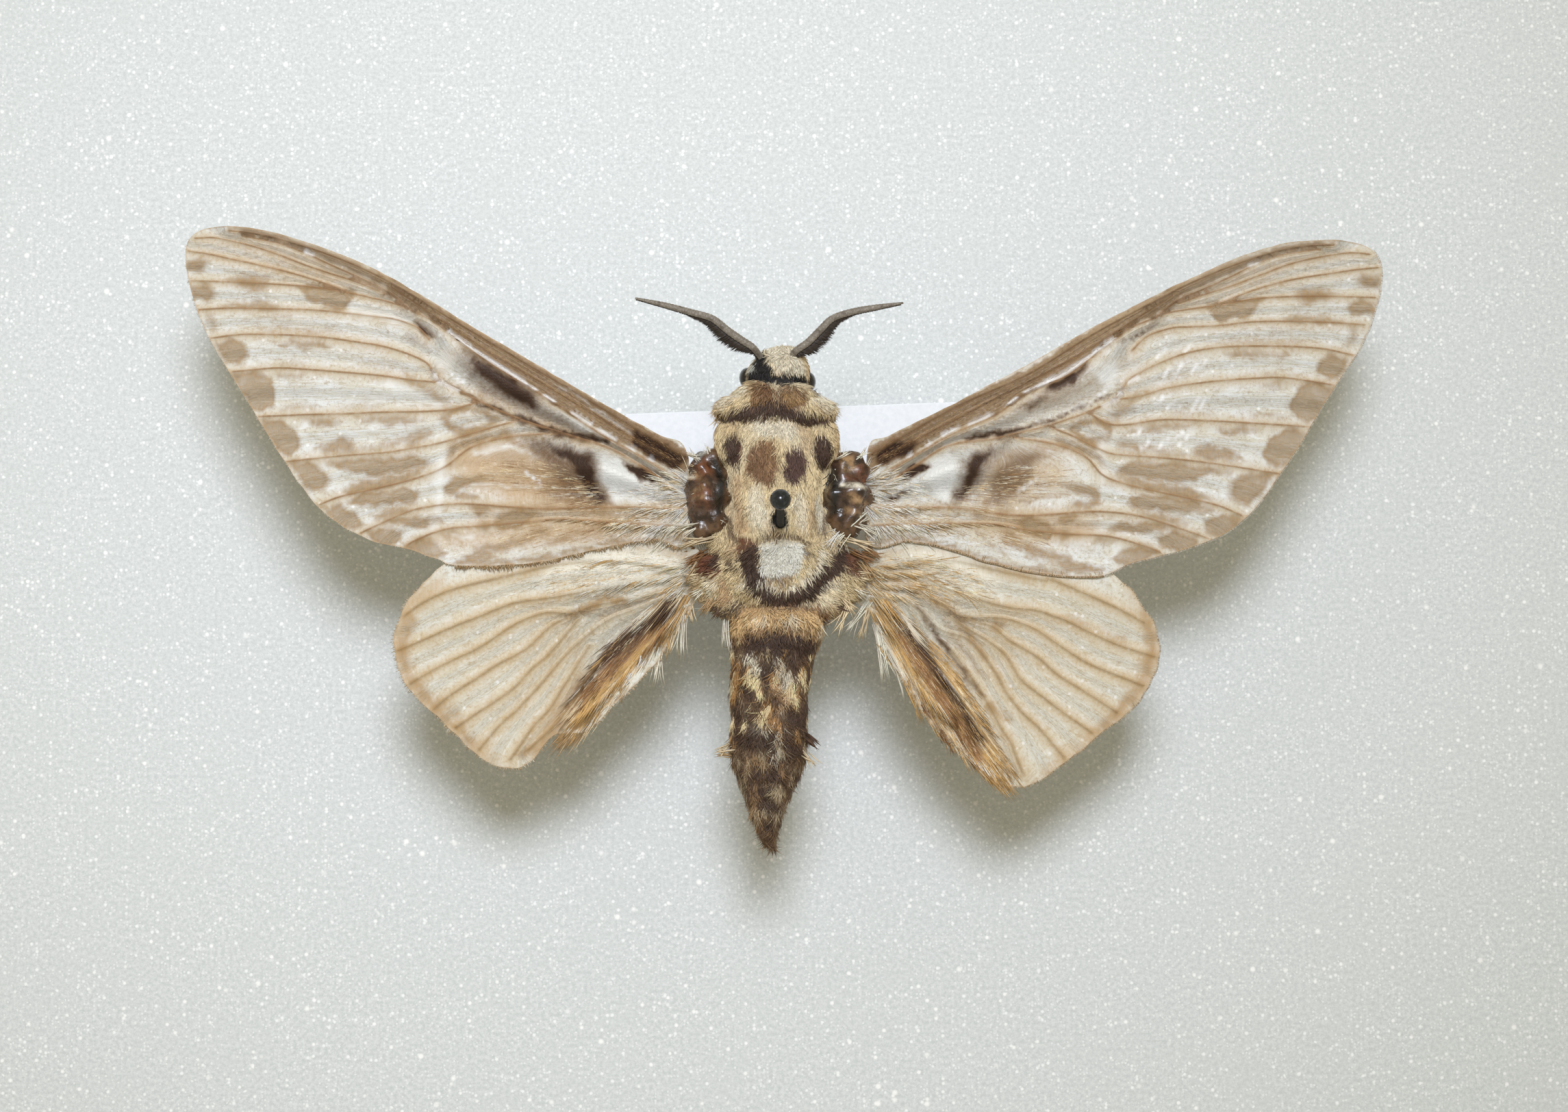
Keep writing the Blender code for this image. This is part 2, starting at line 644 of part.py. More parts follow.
HIND_RIGHT = [
    (1249, 806), (1280, 790), (1330, 776), (1390, 784), (1440, 798), (1500, 814), (1560, 822), (1602, 826),
    (1640, 850), (1665, 880), (1685, 910), (1693, 945), (1686, 980), (1668, 1012), (1640, 1040),
    (1605, 1068), (1565, 1100), (1525, 1128), (1495, 1142), (1468, 1142), (1445, 1128),
    (1415, 1100), (1380, 1070), (1350, 1040), (1327, 1003), (1305, 965), (1285, 925), (1270, 892),
    (1249, 866),
]
FORE_VEINS = {
    "costa": [(1000, 669), (880, 598), (780, 540), (680, 481), (600, 432), (540, 399), (480, 373),
              (420, 353), (370, 340), (330, 335)],
    "subcosta": [(1000, 682), (940, 650), (860, 602), (780, 555), (700, 507), (620, 454), (570, 420)],
    "radius": [(996, 704), (940, 670), (880, 637), (830, 605), (780, 572), (730, 542), (690, 515),
               (660, 492), (630, 470), (600, 455)],
    "radius_2": [(600, 455), (560, 425), (520, 405), (480, 387), (440, 368), (400, 354), (350, 343)],
    "radius_3": [(560, 430), (520, 413), (480, 400), (440, 386), (400, 370), (360, 357), (310, 345),
                 (280, 345)],
    "radius_4": [(500, 425), (450, 407), (410, 395), (370, 385), (330, 376), (300, 369), (270, 364)],
    "radius_5": [(600, 455), (575, 445), (545, 437), (500, 427), (440, 418), (360, 412), (274, 408)],
    "media_1": [(625, 497), (608, 480), (575, 468), (540, 463), (500, 458), (450, 453), (400, 451),
                (340, 449), (286, 451)],
    "media_2": [(630, 545), (623, 533), (600, 521), (560, 508), (520, 501), (480, 495), (440, 491),
                (400, 489), (350, 488), (305, 493)],
    "media_3": [(645, 561), (600, 557), (560, 551), (500, 545), (440, 540), (400, 538), (334, 543)],
    "cubitus": [(996, 722), (940, 684), (890, 656), (840, 640), (800, 628), (760, 615), (720, 598),
                (690, 583), (660, 568), (645, 561), (630, 545)],
    "cubitus_1": [(700, 589), (660, 600), (620, 603), (560, 604), (500, 606), (440, 607), (377, 609)],
    "cubitus_2": [(760, 615), (720, 626), (680, 638), (640, 650), (600, 657), (560, 663), (500, 667),
                  (416, 675)],
    "anal_fold": [(820, 634), (745, 640), (690, 655), (650, 684), (610, 700), (560, 713), (500, 726),
                  (464, 739)],
    "anal_1": [(998, 745), (880, 742), (800, 745), (740, 742), (680, 738), (640, 740), (600, 748),
               (560, 765), (527, 780)],
    "anal_2": [(998, 770), (900, 765), (820, 760), (760, 765), (700, 770), (650, 775), (610, 790),
               (592, 800)],
}
HIND_VEINS = {
    "radius_1": [(1000, 828), (900, 818), (820, 824), (740, 842), (700, 851), (660, 861), (620, 878),
                 (592, 896)],
    "radius_s": [(1000, 838), (920, 850), (860, 862), (800, 873), (760, 878), (730, 887), (700, 899),
                 (660, 914), (620, 931), (580, 947)],
    "media_1": [(1000, 848), (940, 868), (906, 875), (863, 884), (838, 894), (802, 893), (780, 898),
                (750, 911), (700, 943), (660, 961), (620, 982), (600, 994)],
    "media_2": [(845, 892), (813, 907), (797, 918), (772, 942), (750, 955), (722, 970), (700, 985),
                (660, 1010), (634, 1031)],
    "media_3": [(850, 896), (828, 922), (800, 954), (777, 973), (752, 1000), (724, 1020), (699, 1036),
                (666, 1058)],
    "cubitus": [(1000, 856), (930, 886), (890, 902), (855, 927), (823, 957), (795, 990), (775, 1012),
                (754, 1034), (732, 1053), (700, 1090)],
    "cubitus_2": [(860, 940), (840, 972), (815, 1012), (802, 1033), (782, 1053), (768, 1073),
                  (746, 1104)],
    "anal_1": [(1001, 866), (960, 884), (920, 915), (880, 958), (850, 1000), (832, 1030), (805, 1060),
               (772, 1090)],
    "anal_2": [(1000, 884), (975, 905), (940, 945), (905, 985), (870, 1020)],
}
FORE_PAIRS = [
    ((1003, 661), (1268, 657)), ((800, 532), (1479, 545)), ((680, 470), (1596, 479)),
    ((560, 402), (1721, 416)), ((440, 350), (1842, 364)), ((330, 327), (1953, 348)),
    ((265, 360), (2022, 385)), ((272, 408), (2015, 433)), ((284, 451), (1999, 473)),
    ((303, 493), (1982, 518)), ((332, 543), (1958, 563)), ((375, 609), (1919, 624)),
    ((414, 675), (1874, 693)), ((462, 740), (1820, 757)), ((525, 782), (1768, 790)),
    ((640, 818), (1640, 828)), ((500, 458), (1780, 477)), ((500, 501), (1770, 512)),
    ((500, 545), (1780, 558)), ((560, 604), (1700, 615)), ((560, 663), (1690, 670)),
    ((560, 713), (1700, 722)), ((630, 545), (1640, 572)), ((700, 589), (1590, 605)),
    ((760, 615), (1530, 624)), ((840, 642), (1450, 645)), ((940, 670), (1340, 664)),
    ((780, 572), (1500, 575)), ((880, 637), (1395, 633)), ((660, 492), (1620, 503)),
    ((600, 455), (1690, 465)), ((1003, 790), (1268, 789)), ((850, 808), (1420, 815)),
    ((740, 825), (1520, 838)), ((700, 740), (1560, 752)),
]
HIND_PAIRS = [
    ((1006, 800), (1262, 800)), ((905, 795), (1380, 800)), ((790, 822), (1500, 834)),
    ((658, 822), (1612, 840)), ((598, 872), (1668, 885)), ((575, 935), (1692, 945)),
    ((596, 1000), (1675, 1003)), ((655, 1058), (1608, 1066)), ((722, 1110), (1525, 1128)),
    ((750, 1118), (1485, 1143)), ((845, 1066), (1415, 1100)), ((872, 1050), (1370, 1062)),
    ((925, 998), (1327, 1003)), ((970, 945), (1297, 945)), ((1002, 880), (1268, 884)),
    ((700, 851), (1533, 846)), ((620, 878), (1629, 886)), ((730, 887), (1540, 899)),
    ((660, 914), (1600, 925)), ((700, 943), (1545, 938)), ((660, 961), (1590, 966)),
    ((772, 942), (1475, 933)), ((700, 985), (1545, 982)), ((777, 973), (1470, 955)),
    ((724, 1020), (1523, 1014)), ((823, 957), (1417, 932)), ((775, 1012), (1470, 1008)),
    ((838, 894), (1405, 899)), ((906, 875), (1338, 856)), ((802, 1033), (1462, 1058)),
    ((880, 958), (1345, 950)),
]


def like_points(pairs):
    """A smooth bending of the plan that takes each first point of the pairs to its second."""
    a = np.array([one for one, _ in pairs], float) / 500
    b = np.array([two for _, two in pairs], float)
    count = len(pairs)

    def bend(distance):
        return np.where(distance > 0, distance**2 * np.log(np.maximum(distance, 1e-9)), 0.0)

    full = np.zeros((count + 3, count + 3))
    full[:count, :count] = bend(np.linalg.norm(a[:, None] - a[None], axis=2)) + 1e-4 * np.eye(count)
    full[:count, count:] = np.concatenate([np.ones((count, 1)), a], 1)
    full[count:, :count] = full[:count, count:].T
    weights = np.linalg.solve(full, np.concatenate([b, np.zeros((3, 2))]))

    def move(point):
        p = np.array(point, float) / 500
        return tuple(bend(np.linalg.norm(a - p, axis=1)) @ weights[:count] + np.array([1, *p]) @ weights[count:])

    return move


def wing_height(x, y):
    """The height of the forewing's middle surface; the hindwing follows it lower down."""
    out = min(1.0, max(0.0, (abs(x) / MM - 6.0) / 34.0))
    behind = (abs(x) * 0.42 + 4.0 * MM - y) / (10 * MM)
    return WING_Z + WING_BOW * math.sin(math.pi * out) - WING_DROP * behind * abs(behind)


def distance_to(line, points):
    """The distance from each point to a broken line."""
    best = np.full(len(points), 1e9)
    for a, b in zip(line, line[1:]):
        ab = b - a
        t = np.clip(((points - a) @ ab) / (ab @ ab), 0, 1)
        best = np.minimum(best, np.linalg.norm(points - a - t[:, None] * ab, axis=1))
    return best


def inside(points, ring):
    """Which points lie inside a closed ring."""
    x, y = points[:, 0], points[:, 1]
    odd = np.zeros(len(points), bool)
    for (x0, y0), (x1, y1) in zip(ring, np.roll(ring, -1, 0)):
        crosses = (y0 > y) != (y1 > y)
        odd ^= crosses & (x < (x1 - x0) * (y - y0) / np.where(y1 == y0, 1e-12, y1 - y0) + x0)
    return odd


def wing(name, outline, veins, slot, drop=0.0):
    """A thin vane with its veins raised in both faces, each face split into like triangles."""
    ring = smooth_line([grid_point(*p) for p in outline], 1.25 * MM, closed=True)
    rim = np.concatenate([ring, ring[:1]])
    lines = [smooth_line([grid_point(*p) for p in vein], VEIN_STEP) for vein in veins]
    points = [tuple(p) for p in ring]
    edges = []
    for n, line in enumerate(lines):
        run = np.gradient(line, axis=0)
        run /= np.linalg.norm(run, axis=1)[:, None]
        across = np.stack([-run[:, 1], run[:, 0]], 1)
        for offset in (0.0, VEIN_HALF, -VEIN_HALF):
            track = line + across * offset
            good = inside(track, ring) & (distance_to(rim, track) > 0.25 * MM)
            for m, other in enumerate(lines):
                if m != n and (offset or m < n):
                    good &= distance_to(other, track) > 0.3 * MM
            held = None
            for ok, point in zip(good, track):
                if ok:
                    points.append(tuple(point))
                    if held is not None:
                        edges.append((held, len(points) - 1))
                held = len(points) - 1 if ok else None
    near = np.array(points)
    low, high = ring.min(0), ring.max(0)
    rows = int((high[1] - low[1]) / (MEMBRANE_STEP * 0.87))
    fill = []
    for j in range(rows + 1):
        y = low[1] + j * MEMBRANE_STEP * 0.87
        for i in range(int((high[0] - low[0]) / MEMBRANE_STEP) + 2):
            fill.append((low[0] + (i + 0.5 * (j % 2)) * MEMBRANE_STEP, y))
    fill = np.array(fill)
    fill = fill[inside(fill, ring) & (distance_to(rim, fill) > 0.7 * MM)]
    for point in fill:
        if np.linalg.norm(near - point, axis=1).min() > 0.85 * MM:
            points.append(tuple(point))
    count = len(ring)
    flat = [Vector((x / MM, y / MM)) for x, y in points]
    verts, _, faces, *_ = delaunay_2d_cdt(flat, edges, [list(range(count))], 1, 1e-4)
    plan = np.array([(v.x * MM, v.y * MM) for v in verts])
    rise = np.zeros(len(plan))
    for line in lines:
        rise = np.maximum(rise, 1 - distance_to(line, plan) / VEIN_HALF)
    rise[distance_to(rim, plan) < 0.05 * MM] = 0
    shape = bmesh.new()
    top, under = [], []
    for (x, y), up in zip(plan, rise):
        z = wing_height(x, y) - drop
        top.append(shape.verts.new((x, y, z + WING_THICK / 2 + VEIN_TOP * up)))
        under.append(shape.verts.new((x, y, z - WING_THICK / 2 - VEIN_UNDER * up)))
    uses = {}
    for face in faces:
        shape.faces.new([top[k] for k in face])
        shape.faces.new([under[k] for k in reversed(face)])
        for a, b in zip(face, face[1:] + face[:1]):
            uses.setdefault(frozenset((a, b)), []).append((a, b))
    for used in uses.values():
        if len(used) == 1:
            a, b = used[0]
            shape.faces.new((top[b], top[a], under[a], under[b]))
    bmesh.ops.triangulate(shape, faces=[f for f in shape.faces if len(f.verts) > 3])
    loose = [v for v in shape.verts if not v.link_faces]
    bmesh.ops.delete(shape, geom=loose, context="VERTS")
    return add_part(name, to_mesh(name, shape), slot)


fore_move = like_points(FORE_PAIRS)
hind_move = like_points(HIND_PAIRS)
fore_left_veins = list(FORE_VEINS.values())
fore_right_veins = [[fore_move(p) for p in vein] for vein in fore_left_veins]
hind_left_veins = list(HIND_VEINS.values())
hind_right_veins = [[hind_move(p) for p in vein] for vein in hind_left_veins]
HAIR_LEFT = [
    ((984, 893), (992, 958)), ((970, 905), (980, 952)), ((952, 930), (959, 999)),
    ((925, 940), (941, 984)), ((900, 975), (922, 1006)), ((880, 1000), (896, 1042)),
    ((864, 1008), (877, 1066)), ((776, 1080), (790, 1110)),
]
HAIR_RIGHT = [
    ((1286, 876), (1248, 936)), ((1284, 915), (1300, 996)), ((1300, 940), (1322, 992)),
    ((1316, 955), (1338, 1022)), ((1338, 1000), (1352, 1046)), ((1362, 1030), (1378, 1082)),
    ((1394, 1060), (1408, 1104)), ((1430, 1090), (1452, 1138)),
]


def hang_hair(made, tufts, drop):
    """Tufts that lie in the wing and reach past its inner margin."""
    hair = Locks()
    for root, tip in tufts:
        a = Vector((*grid_point(*root), 0))
        b = Vector((*grid_point(*tip), 0))
        middle = (a + b) / 2
        middle.z = wing_height(middle.x, middle.y) - drop
        hair.add(middle, b - a, Vector((0, 0, 1)), (b - a).length / 2, 1.2 * MM, 0.8 * MM)
    hair.fuse(made)


wing("forewing_left", FORE_LEFT, fore_left_veins, FORE_VANE)
wing("forewing_right", FORE_RIGHT, fore_right_veins, FORE_VANE)
hind_left = wing("hindwing_left", HIND_LEFT, hind_left_veins, HIND_VANE, HIND_DROP)
hind_right = wing("hindwing_right", HIND_RIGHT, hind_right_veins, HIND_VANE, HIND_DROP)
hang_hair(hind_left, HAIR_LEFT, HIND_DROP)
hang_hair(hind_right, HAIR_RIGHT, HIND_DROP)

for made in parts.objects:
    if made.data.materials[0] not in (FOAM, CARD, STEEL):
        even_out(made)
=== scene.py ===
# %% [markdown]
# A spread moth, Podalia orsilocha, on a black insect pin over a blank card and a foam board.
# The solids of the model are loaded first as a fixed frame. Everything made below is fitted to
# them, in metres, with +Z up and +Y towards the head, and then takes the place of the solids it
# shows better. A lesson in three parts: skin and vanes, coat and fringes, then light and camera.

# %% Load the frame
import math

import bmesh
import bpy
import mathutils
import numpy as np
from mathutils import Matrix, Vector
from mathutils.geometry import delaunay_2d_cdt


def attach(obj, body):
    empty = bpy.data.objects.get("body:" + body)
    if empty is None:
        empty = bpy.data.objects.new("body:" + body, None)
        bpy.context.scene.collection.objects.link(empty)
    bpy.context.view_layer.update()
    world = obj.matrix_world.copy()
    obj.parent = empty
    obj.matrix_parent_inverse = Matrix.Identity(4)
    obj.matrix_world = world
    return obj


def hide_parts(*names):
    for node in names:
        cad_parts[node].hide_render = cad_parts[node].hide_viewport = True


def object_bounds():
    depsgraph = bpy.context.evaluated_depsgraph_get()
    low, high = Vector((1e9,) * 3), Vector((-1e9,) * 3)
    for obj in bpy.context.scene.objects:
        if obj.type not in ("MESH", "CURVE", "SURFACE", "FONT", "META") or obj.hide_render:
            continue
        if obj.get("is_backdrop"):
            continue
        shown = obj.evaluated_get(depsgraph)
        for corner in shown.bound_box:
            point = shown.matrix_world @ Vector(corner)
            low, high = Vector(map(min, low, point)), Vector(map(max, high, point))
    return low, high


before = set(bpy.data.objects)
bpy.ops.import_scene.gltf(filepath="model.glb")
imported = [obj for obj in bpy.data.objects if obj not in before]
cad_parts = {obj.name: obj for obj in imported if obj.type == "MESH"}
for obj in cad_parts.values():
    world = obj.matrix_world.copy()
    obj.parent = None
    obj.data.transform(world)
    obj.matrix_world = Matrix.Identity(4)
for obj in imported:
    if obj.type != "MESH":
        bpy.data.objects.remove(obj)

cad_low, cad_high = (list(corner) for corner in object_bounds())
print("frame", len(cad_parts), "nodes from", cad_low, "to", cad_high)

# %% [markdown]
# The real sizes. The plan of the moth was measured on a grid whose columns run to the right and
# whose rows run towards the tail, so a place on it is easy to compare with the real specimen.
# Every later size hangs on these few, which is safer than typing metres everywhere.

# %% Sizes of the specimen
MM = 0.001
WINGSPAN = 79.6 * MM
SPAN_COLUMNS = 1758
COLUMN = WINGSPAN / SPAN_COLUMNS
CAMERA_LEAN = math.radians(8.4)
ROW = COLUMN / math.cos(CAMERA_LEAN)
MID_COLUMN, MID_ROW = 1140, 812
PIN_X, PIN_Y = 0.0, 1.9 * MM
PIN_TIP, PIN_TOP = 1.0 * MM, 39.0 * MM
PIN_R, PIN_HEAD_R = 0.25 * MM, 0.68 * MM
WING_Z = 27.0 * MM
WING_BOW = 0.7 * MM
WING_DROP = 0.16 * MM
HIND_DROP = 1.15 * MM
chance = np.random.default_rng(20)


def grid_point(column, row):
    """A point of the measured plan, in metres."""
    return ((column - MID_COLUMN) * COLUMN, (MID_ROW - row) * ROW)


def on_grid(points):
    """Columns and rows of points given in metres."""
    return np.stack([points[:, 0] / COLUMN + MID_COLUMN, MID_ROW - points[:, 1] / ROW], 1)


print("a column is", round(COLUMN * 1e6, 2), "micrometres wide")

# %% [markdown]
# Every finish is a small tree of nodes round one Principled shader. Writing the same ten lines
# for each would hide what differs, so this helper adds nodes with one call each. Patterns read
# the object's own coordinates or values kept on the mesh, so they stay put from every side.

# %% Helper for finishes
class Finish:
    """A Principled material with short calls for the nodes behind it."""

    def __init__(self, name, rough, **plain):
        self.made = bpy.data.materials.new(name)
        self.made.use_nodes = True
        self.tree = self.made.node_tree
        self.shader = self.tree.nodes["Principled BSDF"]
        self.shader.inputs["Roughness"].default_value = rough
        for socket, value in plain.items():
            self.shader.inputs[socket.replace("_", " ")].default_value = value
        self.where = self.node("TexCoord").outputs["Object"]

    def node(self, kind, sockets=None, **settings):
        """A new node; a socket takes a value or the output that feeds it."""
        made = self.tree.nodes.new("ShaderNode" + kind)
        for key, value in settings.items():
            setattr(made, key, value)
        for key, value in (sockets or {}).items():
            if isinstance(value, bpy.types.NodeSocket):
                self.tree.links.new(value, made.inputs[key])
            else:
                made.inputs[key].default_value = value
        return made

    def kept(self, name):
        """A number kept on the mesh."""
        return self.node("Attribute", attribute_name=name).outputs["Fac"]

    def grain(self, scale, detail=3.0, rough=0.55, where=None):
        """Cloudy noise; scale counts its cells in a metre."""
        sockets = {"Vector": where or self.where, "Scale": scale, "Detail": detail, "Roughness": rough}
        return self.node("TexNoise", sockets).outputs["Fac"]

    def stretched(self, u, v):
        """A vane's coordinates, stretched by u along its cells and v across them."""
        place = self.node("UVMap", uv_map="Vane").outputs["UV"]
        return self.node("Mapping", {"Vector": place, "Scale": (u, v, 1.0)}).outputs["Vector"]

    def sum(self, how, a, b):
        """One step of arithmetic."""
        return self.node("Math", {0: a, 1: b}, operation=how).outputs[0]

    def times(self, a, b):
        """The product of two numbers."""
        return self.sum("MULTIPLY", a, b)

    def step(self, value, low, high, to_low=0.0, to_high=1.0):
        """A soft step between two values."""
        sockets = {"Value": value, "From Min": low, "From Max": high, "To Min": to_low, "To Max": to_high}
        return self.node("MapRange", sockets, interpolation_type="SMOOTHSTEP").outputs["Result"]

    def ragged(self, name, noise, low=0.3, high=0.75, much=0.5):
        """A kept number with its edge broken up by noise."""
        shifted = self.sum("MULTIPLY_ADD", noise, much)
        shifted.node.inputs[2].default_value = -0.5 * much
        return self.step(self.sum("ADD", self.kept(name), shifted), low, high)

    def blend(self, share, a, b):
        """Colour a turned into colour b by a share."""
        made = self.node("Mix", data_type="RGBA")
        for socket, value in ((made.inputs[0], share), (made.inputs[6], a), (made.inputs[7], b)):
            if isinstance(value, bpy.types.NodeSocket):
                self.tree.links.new(value, socket)
            else:
                socket.default_value = value if socket.type == "VALUE" else (*value, 1.0)
        return made.outputs[2]

    def painted_sparkle(self, scale, rare, near):
        """Painted sparkle: a few cells of a fine cell pattern, those drawn rarer than that share."""
        cells = self.node("TexVoronoi", {"Vector": self.where, "Scale": scale})
        pick = self.node("SeparateColor", {"Color": cells.outputs["Color"]}).outputs[0]
        core = self.step(cells.outputs["Distance"], near, 0.3 * near)
        return self.times(self.step(pick, rare, rare + 0.06), core)

    def dyed(self, shade):
        """The colour kept on the mesh, darkened by a shade."""
        kept = self.node("Attribute", attribute_name="coat").outputs["Color"]
        sockets = {6: kept, 7: shade, 0: 1.0}
        return self.node("Mix", sockets, data_type="RGBA", blend_type="MULTIPLY").outputs[2]

    def paint(self, colour):
        """The colour of the surface."""
        self.tree.links.new(colour, self.shader.inputs["Base Color"])

    def polish(self, rough):
        """Roughness that varies over the surface."""
        self.tree.links.new(rough, self.shader.inputs["Roughness"])

    def relief(self, height, depth):
        """Fine relief of that depth in metres."""
        bump = self.node("Bump", {"Height": height, "Distance": depth, "Strength": 1.0})
        self.tree.links.new(bump.outputs["Normal"], self.shader.inputs["Normal"])


def added(name, data):
    """A piece put into the scene under a name."""
    piece = bpy.data.objects.new(name, data)
    bpy.context.scene.collection.objects.link(piece)
    return piece


def wear(piece, finish):
    """A piece shows one finish all over."""
    piece.data.materials.clear()
    piece.data.materials.append(finish.made)


def settle(piece, finish, slot, *nodes):
    """A finished piece: its look, what carries it, and the solids that it stands for."""
    wear(piece, finish)
    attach(piece, "root")
    if nodes:
        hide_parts(*nodes)
    print(piece.name, len(piece.data.vertices), "points", len(piece.data.polygons), "faces")


def keep_numbers(mesh, name, values):
    """Numbers kept on the points of a mesh for its finish."""
    mesh.attributes.new(name, "FLOAT", "POINT").data.foreach_set("value", np.asarray(values, np.float32))


def keep_colours(mesh, colours):
    """Colours of skin or hair kept on the points of a mesh for its finish."""
    full = np.concatenate([colours, np.ones((len(colours), 1))], 1).astype(np.float32)
    mesh.attributes.new("coat", "FLOAT_COLOR", "POINT").data.foreach_set("color", full.ravel())

# %% [markdown]
# The board is closed-cell foam whose cut cells glitter like sugar. Its shape in the frame is
# already right, so only its finish is made: a pale ground with soft blotches, painted glints
# where a cell pattern paints a few cells near white as if they caught the lamp, and a shallow
# grain. A picture of foam would do it too, but would repeat and blur close up.

# %% Foam of the board
foam = Finish("foam", 0.62)
fine = foam.grain(3800.0, 4.0, 0.75)
cloud = foam.grain(260.0, 3.0, 0.6)
ground = foam.blend(foam.step(fine, 0.34, 0.68), (0.60, 0.632, 0.630), (0.775, 0.80, 0.80))
ground = foam.blend(foam.step(cloud, 0.35, 0.75, 0.0, 0.35), ground, (0.67, 0.70, 0.69))
# Painted glints: a few cells of four cell patterns are painted near white where cut cells catch the light.
ground = foam.blend(foam.painted_sparkle(4600.0, 0.70, 0.5), ground, (0.86, 0.88, 0.88))
ground = foam.blend(foam.painted_sparkle(2800.0, 0.84, 0.45), ground, (0.95, 0.97, 0.97))
ground = foam.blend(foam.painted_sparkle(1700.0, 0.88, 0.32), ground, (1.0, 1.0, 1.0))
foam.paint(foam.blend(foam.painted_sparkle(900.0, 0.90, 0.24), ground, (1.0, 1.0, 0.99)))
foam.relief(foam.grain(2600.0, 4.0, 0.7), 0.05 * MM)
wear(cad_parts["mount_board"], foam)

# %% [markdown]
# The card is plain smooth paper, left bare. Paper is never one flat white: its fibres make
# faint clouds and a very shallow tooth, both made from noise at the size of real fibres.

# %% Paper of the card
paper = Finish("paper", 0.55)
fibres = paper.grain(2600.0, 5.0, 0.6)
paper.paint(paper.blend(paper.step(fibres, 0.3, 0.7), (0.80, 0.83, 0.86), (0.87, 0.895, 0.92)))
paper.relief(fibres, 0.012 * MM)
wear(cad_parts["label_card"], paper)

# %% [markdown]
# The pin is a black enamelled steel wire with a small ball for a head. Drawn as half a profile
# and spun once round, as on a lathe, it is rounder than the solid in the frame. The profile is
# dissolved of doubles before its normals are turned out, because a spin can leave it inside out.

# %% Pin
profile = [(0, PIN_TIP), (PIN_R * 0.35, PIN_TIP + 0.6 * MM), (PIN_R, PIN_TIP + 2.4 * MM)]
profile.append((PIN_R, PIN_TOP - math.sqrt(PIN_HEAD_R**2 - PIN_R**2)))
NECK = math.asin(PIN_R / PIN_HEAD_R)  # where the ball meets the shaft, as an angle from its foot
for k in range(1, 24):
    angle = NECK + (math.pi - NECK) * k / 24
    profile.append((PIN_HEAD_R * math.sin(angle), PIN_TOP - PIN_HEAD_R * math.cos(angle)))
profile.append((0, PIN_TOP + PIN_HEAD_R))
pin_mesh = bpy.data.meshes.new("pin_shape")
wire = [(i, i + 1) for i in range(len(profile) - 1)]
pin_mesh.from_pydata([(PIN_X + r, PIN_Y, z) for r, z in profile], wire, [])
pin = added("pin_shape", pin_mesh)


def only(piece):
    """Selects one piece and makes it the active one."""
    bpy.ops.object.select_all(action="DESELECT")
    piece.select_set(True)
    bpy.context.view_layer.objects.active = piece


def smooth(piece, angle=60.0):
    """Soft shading with edges kept where the surface turns sharply."""
    only(piece)
    bpy.ops.object.shade_smooth_by_angle(angle=math.radians(angle))


only(pin)
bpy.ops.object.mode_set(mode="EDIT")
bpy.ops.mesh.select_all(action="SELECT")
bpy.ops.mesh.spin(steps=32, angle=2 * math.pi, center=(PIN_X, PIN_Y, 0), axis=(0, 0, 1))
bpy.ops.mesh.select_all(action="SELECT")
bpy.ops.mesh.remove_doubles(threshold=0.000002)
bpy.ops.mesh.normals_make_consistent(inside=False)
bpy.ops.object.mode_set(mode="OBJECT")
smooth(pin)
enamel = Finish("enamel", 0.22, IOR=1.5)
scuffs = enamel.grain(3000.0, 4.0, 0.6)
enamel.paint(enamel.blend(enamel.step(scuffs, 0.45, 0.75), (0.012, 0.014, 0.015), (0.05, 0.055, 0.055)))
height = enamel.node("SeparateXYZ", {"Vector": enamel.where}).outputs["Z"]
shaft = enamel.step(height, PIN_TOP - PIN_HEAD_R, PIN_TOP - 0.9 * PIN_HEAD_R, 0.85, 0.1)
enamel.polish(enamel.sum("ADD", shaft, enamel.step(scuffs, 0.3, 0.8, 0.0, 0.12)))
settle(pin, enamel, "pin_steel", "pin")

# %% [markdown]
# Body, wings and limbs all start from a few measured points with a smooth line through them. One
# function lays even points along such a line, open or closed. It takes any number of values for
# each point, so a radius can ride along with a place, which a curve object would make harder.

# %% Smooth lines
def smooth_line(points, step, closed=False):
    """Even points, about a step apart, along a smooth curve through the given ones."""
    given = [np.array(point, float) for point in points]
    count = len(given)
    fine = []
    for i in range(count if closed else count - 1):
        b, c = given[i], given[(i + 1) % count]
        a = given[i - 1] if closed or i else 2 * b - c
        d = given[(i + 2) % count] if closed or i + 2 < count else 2 * c - b
        for k in range(24):
            t = k / 24
            bend = (c - a) * t + (2 * a - 5 * b + 4 * c - d) * t**2 + (3 * b - a - 3 * c + d) * t**3
            fine.append(0.5 * (2 * b + bend))
    fine.append(given[0] if closed else given[-1])
    fine = np.array(fine)
    along = np.concatenate([[0], np.cumsum(np.linalg.norm(np.diff(fine, axis=0), axis=1))])
    pieces = max(2, round(along[-1] / step))
    at = np.linspace(0, along[-1], pieces + 1)
    even = np.stack([np.interp(at, along, fine[:, k]) for k in range(fine.shape[1])], 1)
    return even[:-1] if closed else even

# %% [markdown]
# The body is five woolly parts: head, collar, thorax, the part behind it and the abdomen. On the
# dry specimen no seam shows between them, so one skin is made of all five. Rings of points are
# laid through measured cross-sections and joined to tubes, which a remesh melts into one closed
# surface. Sculpting would be freer, but would not keep to the sizes.

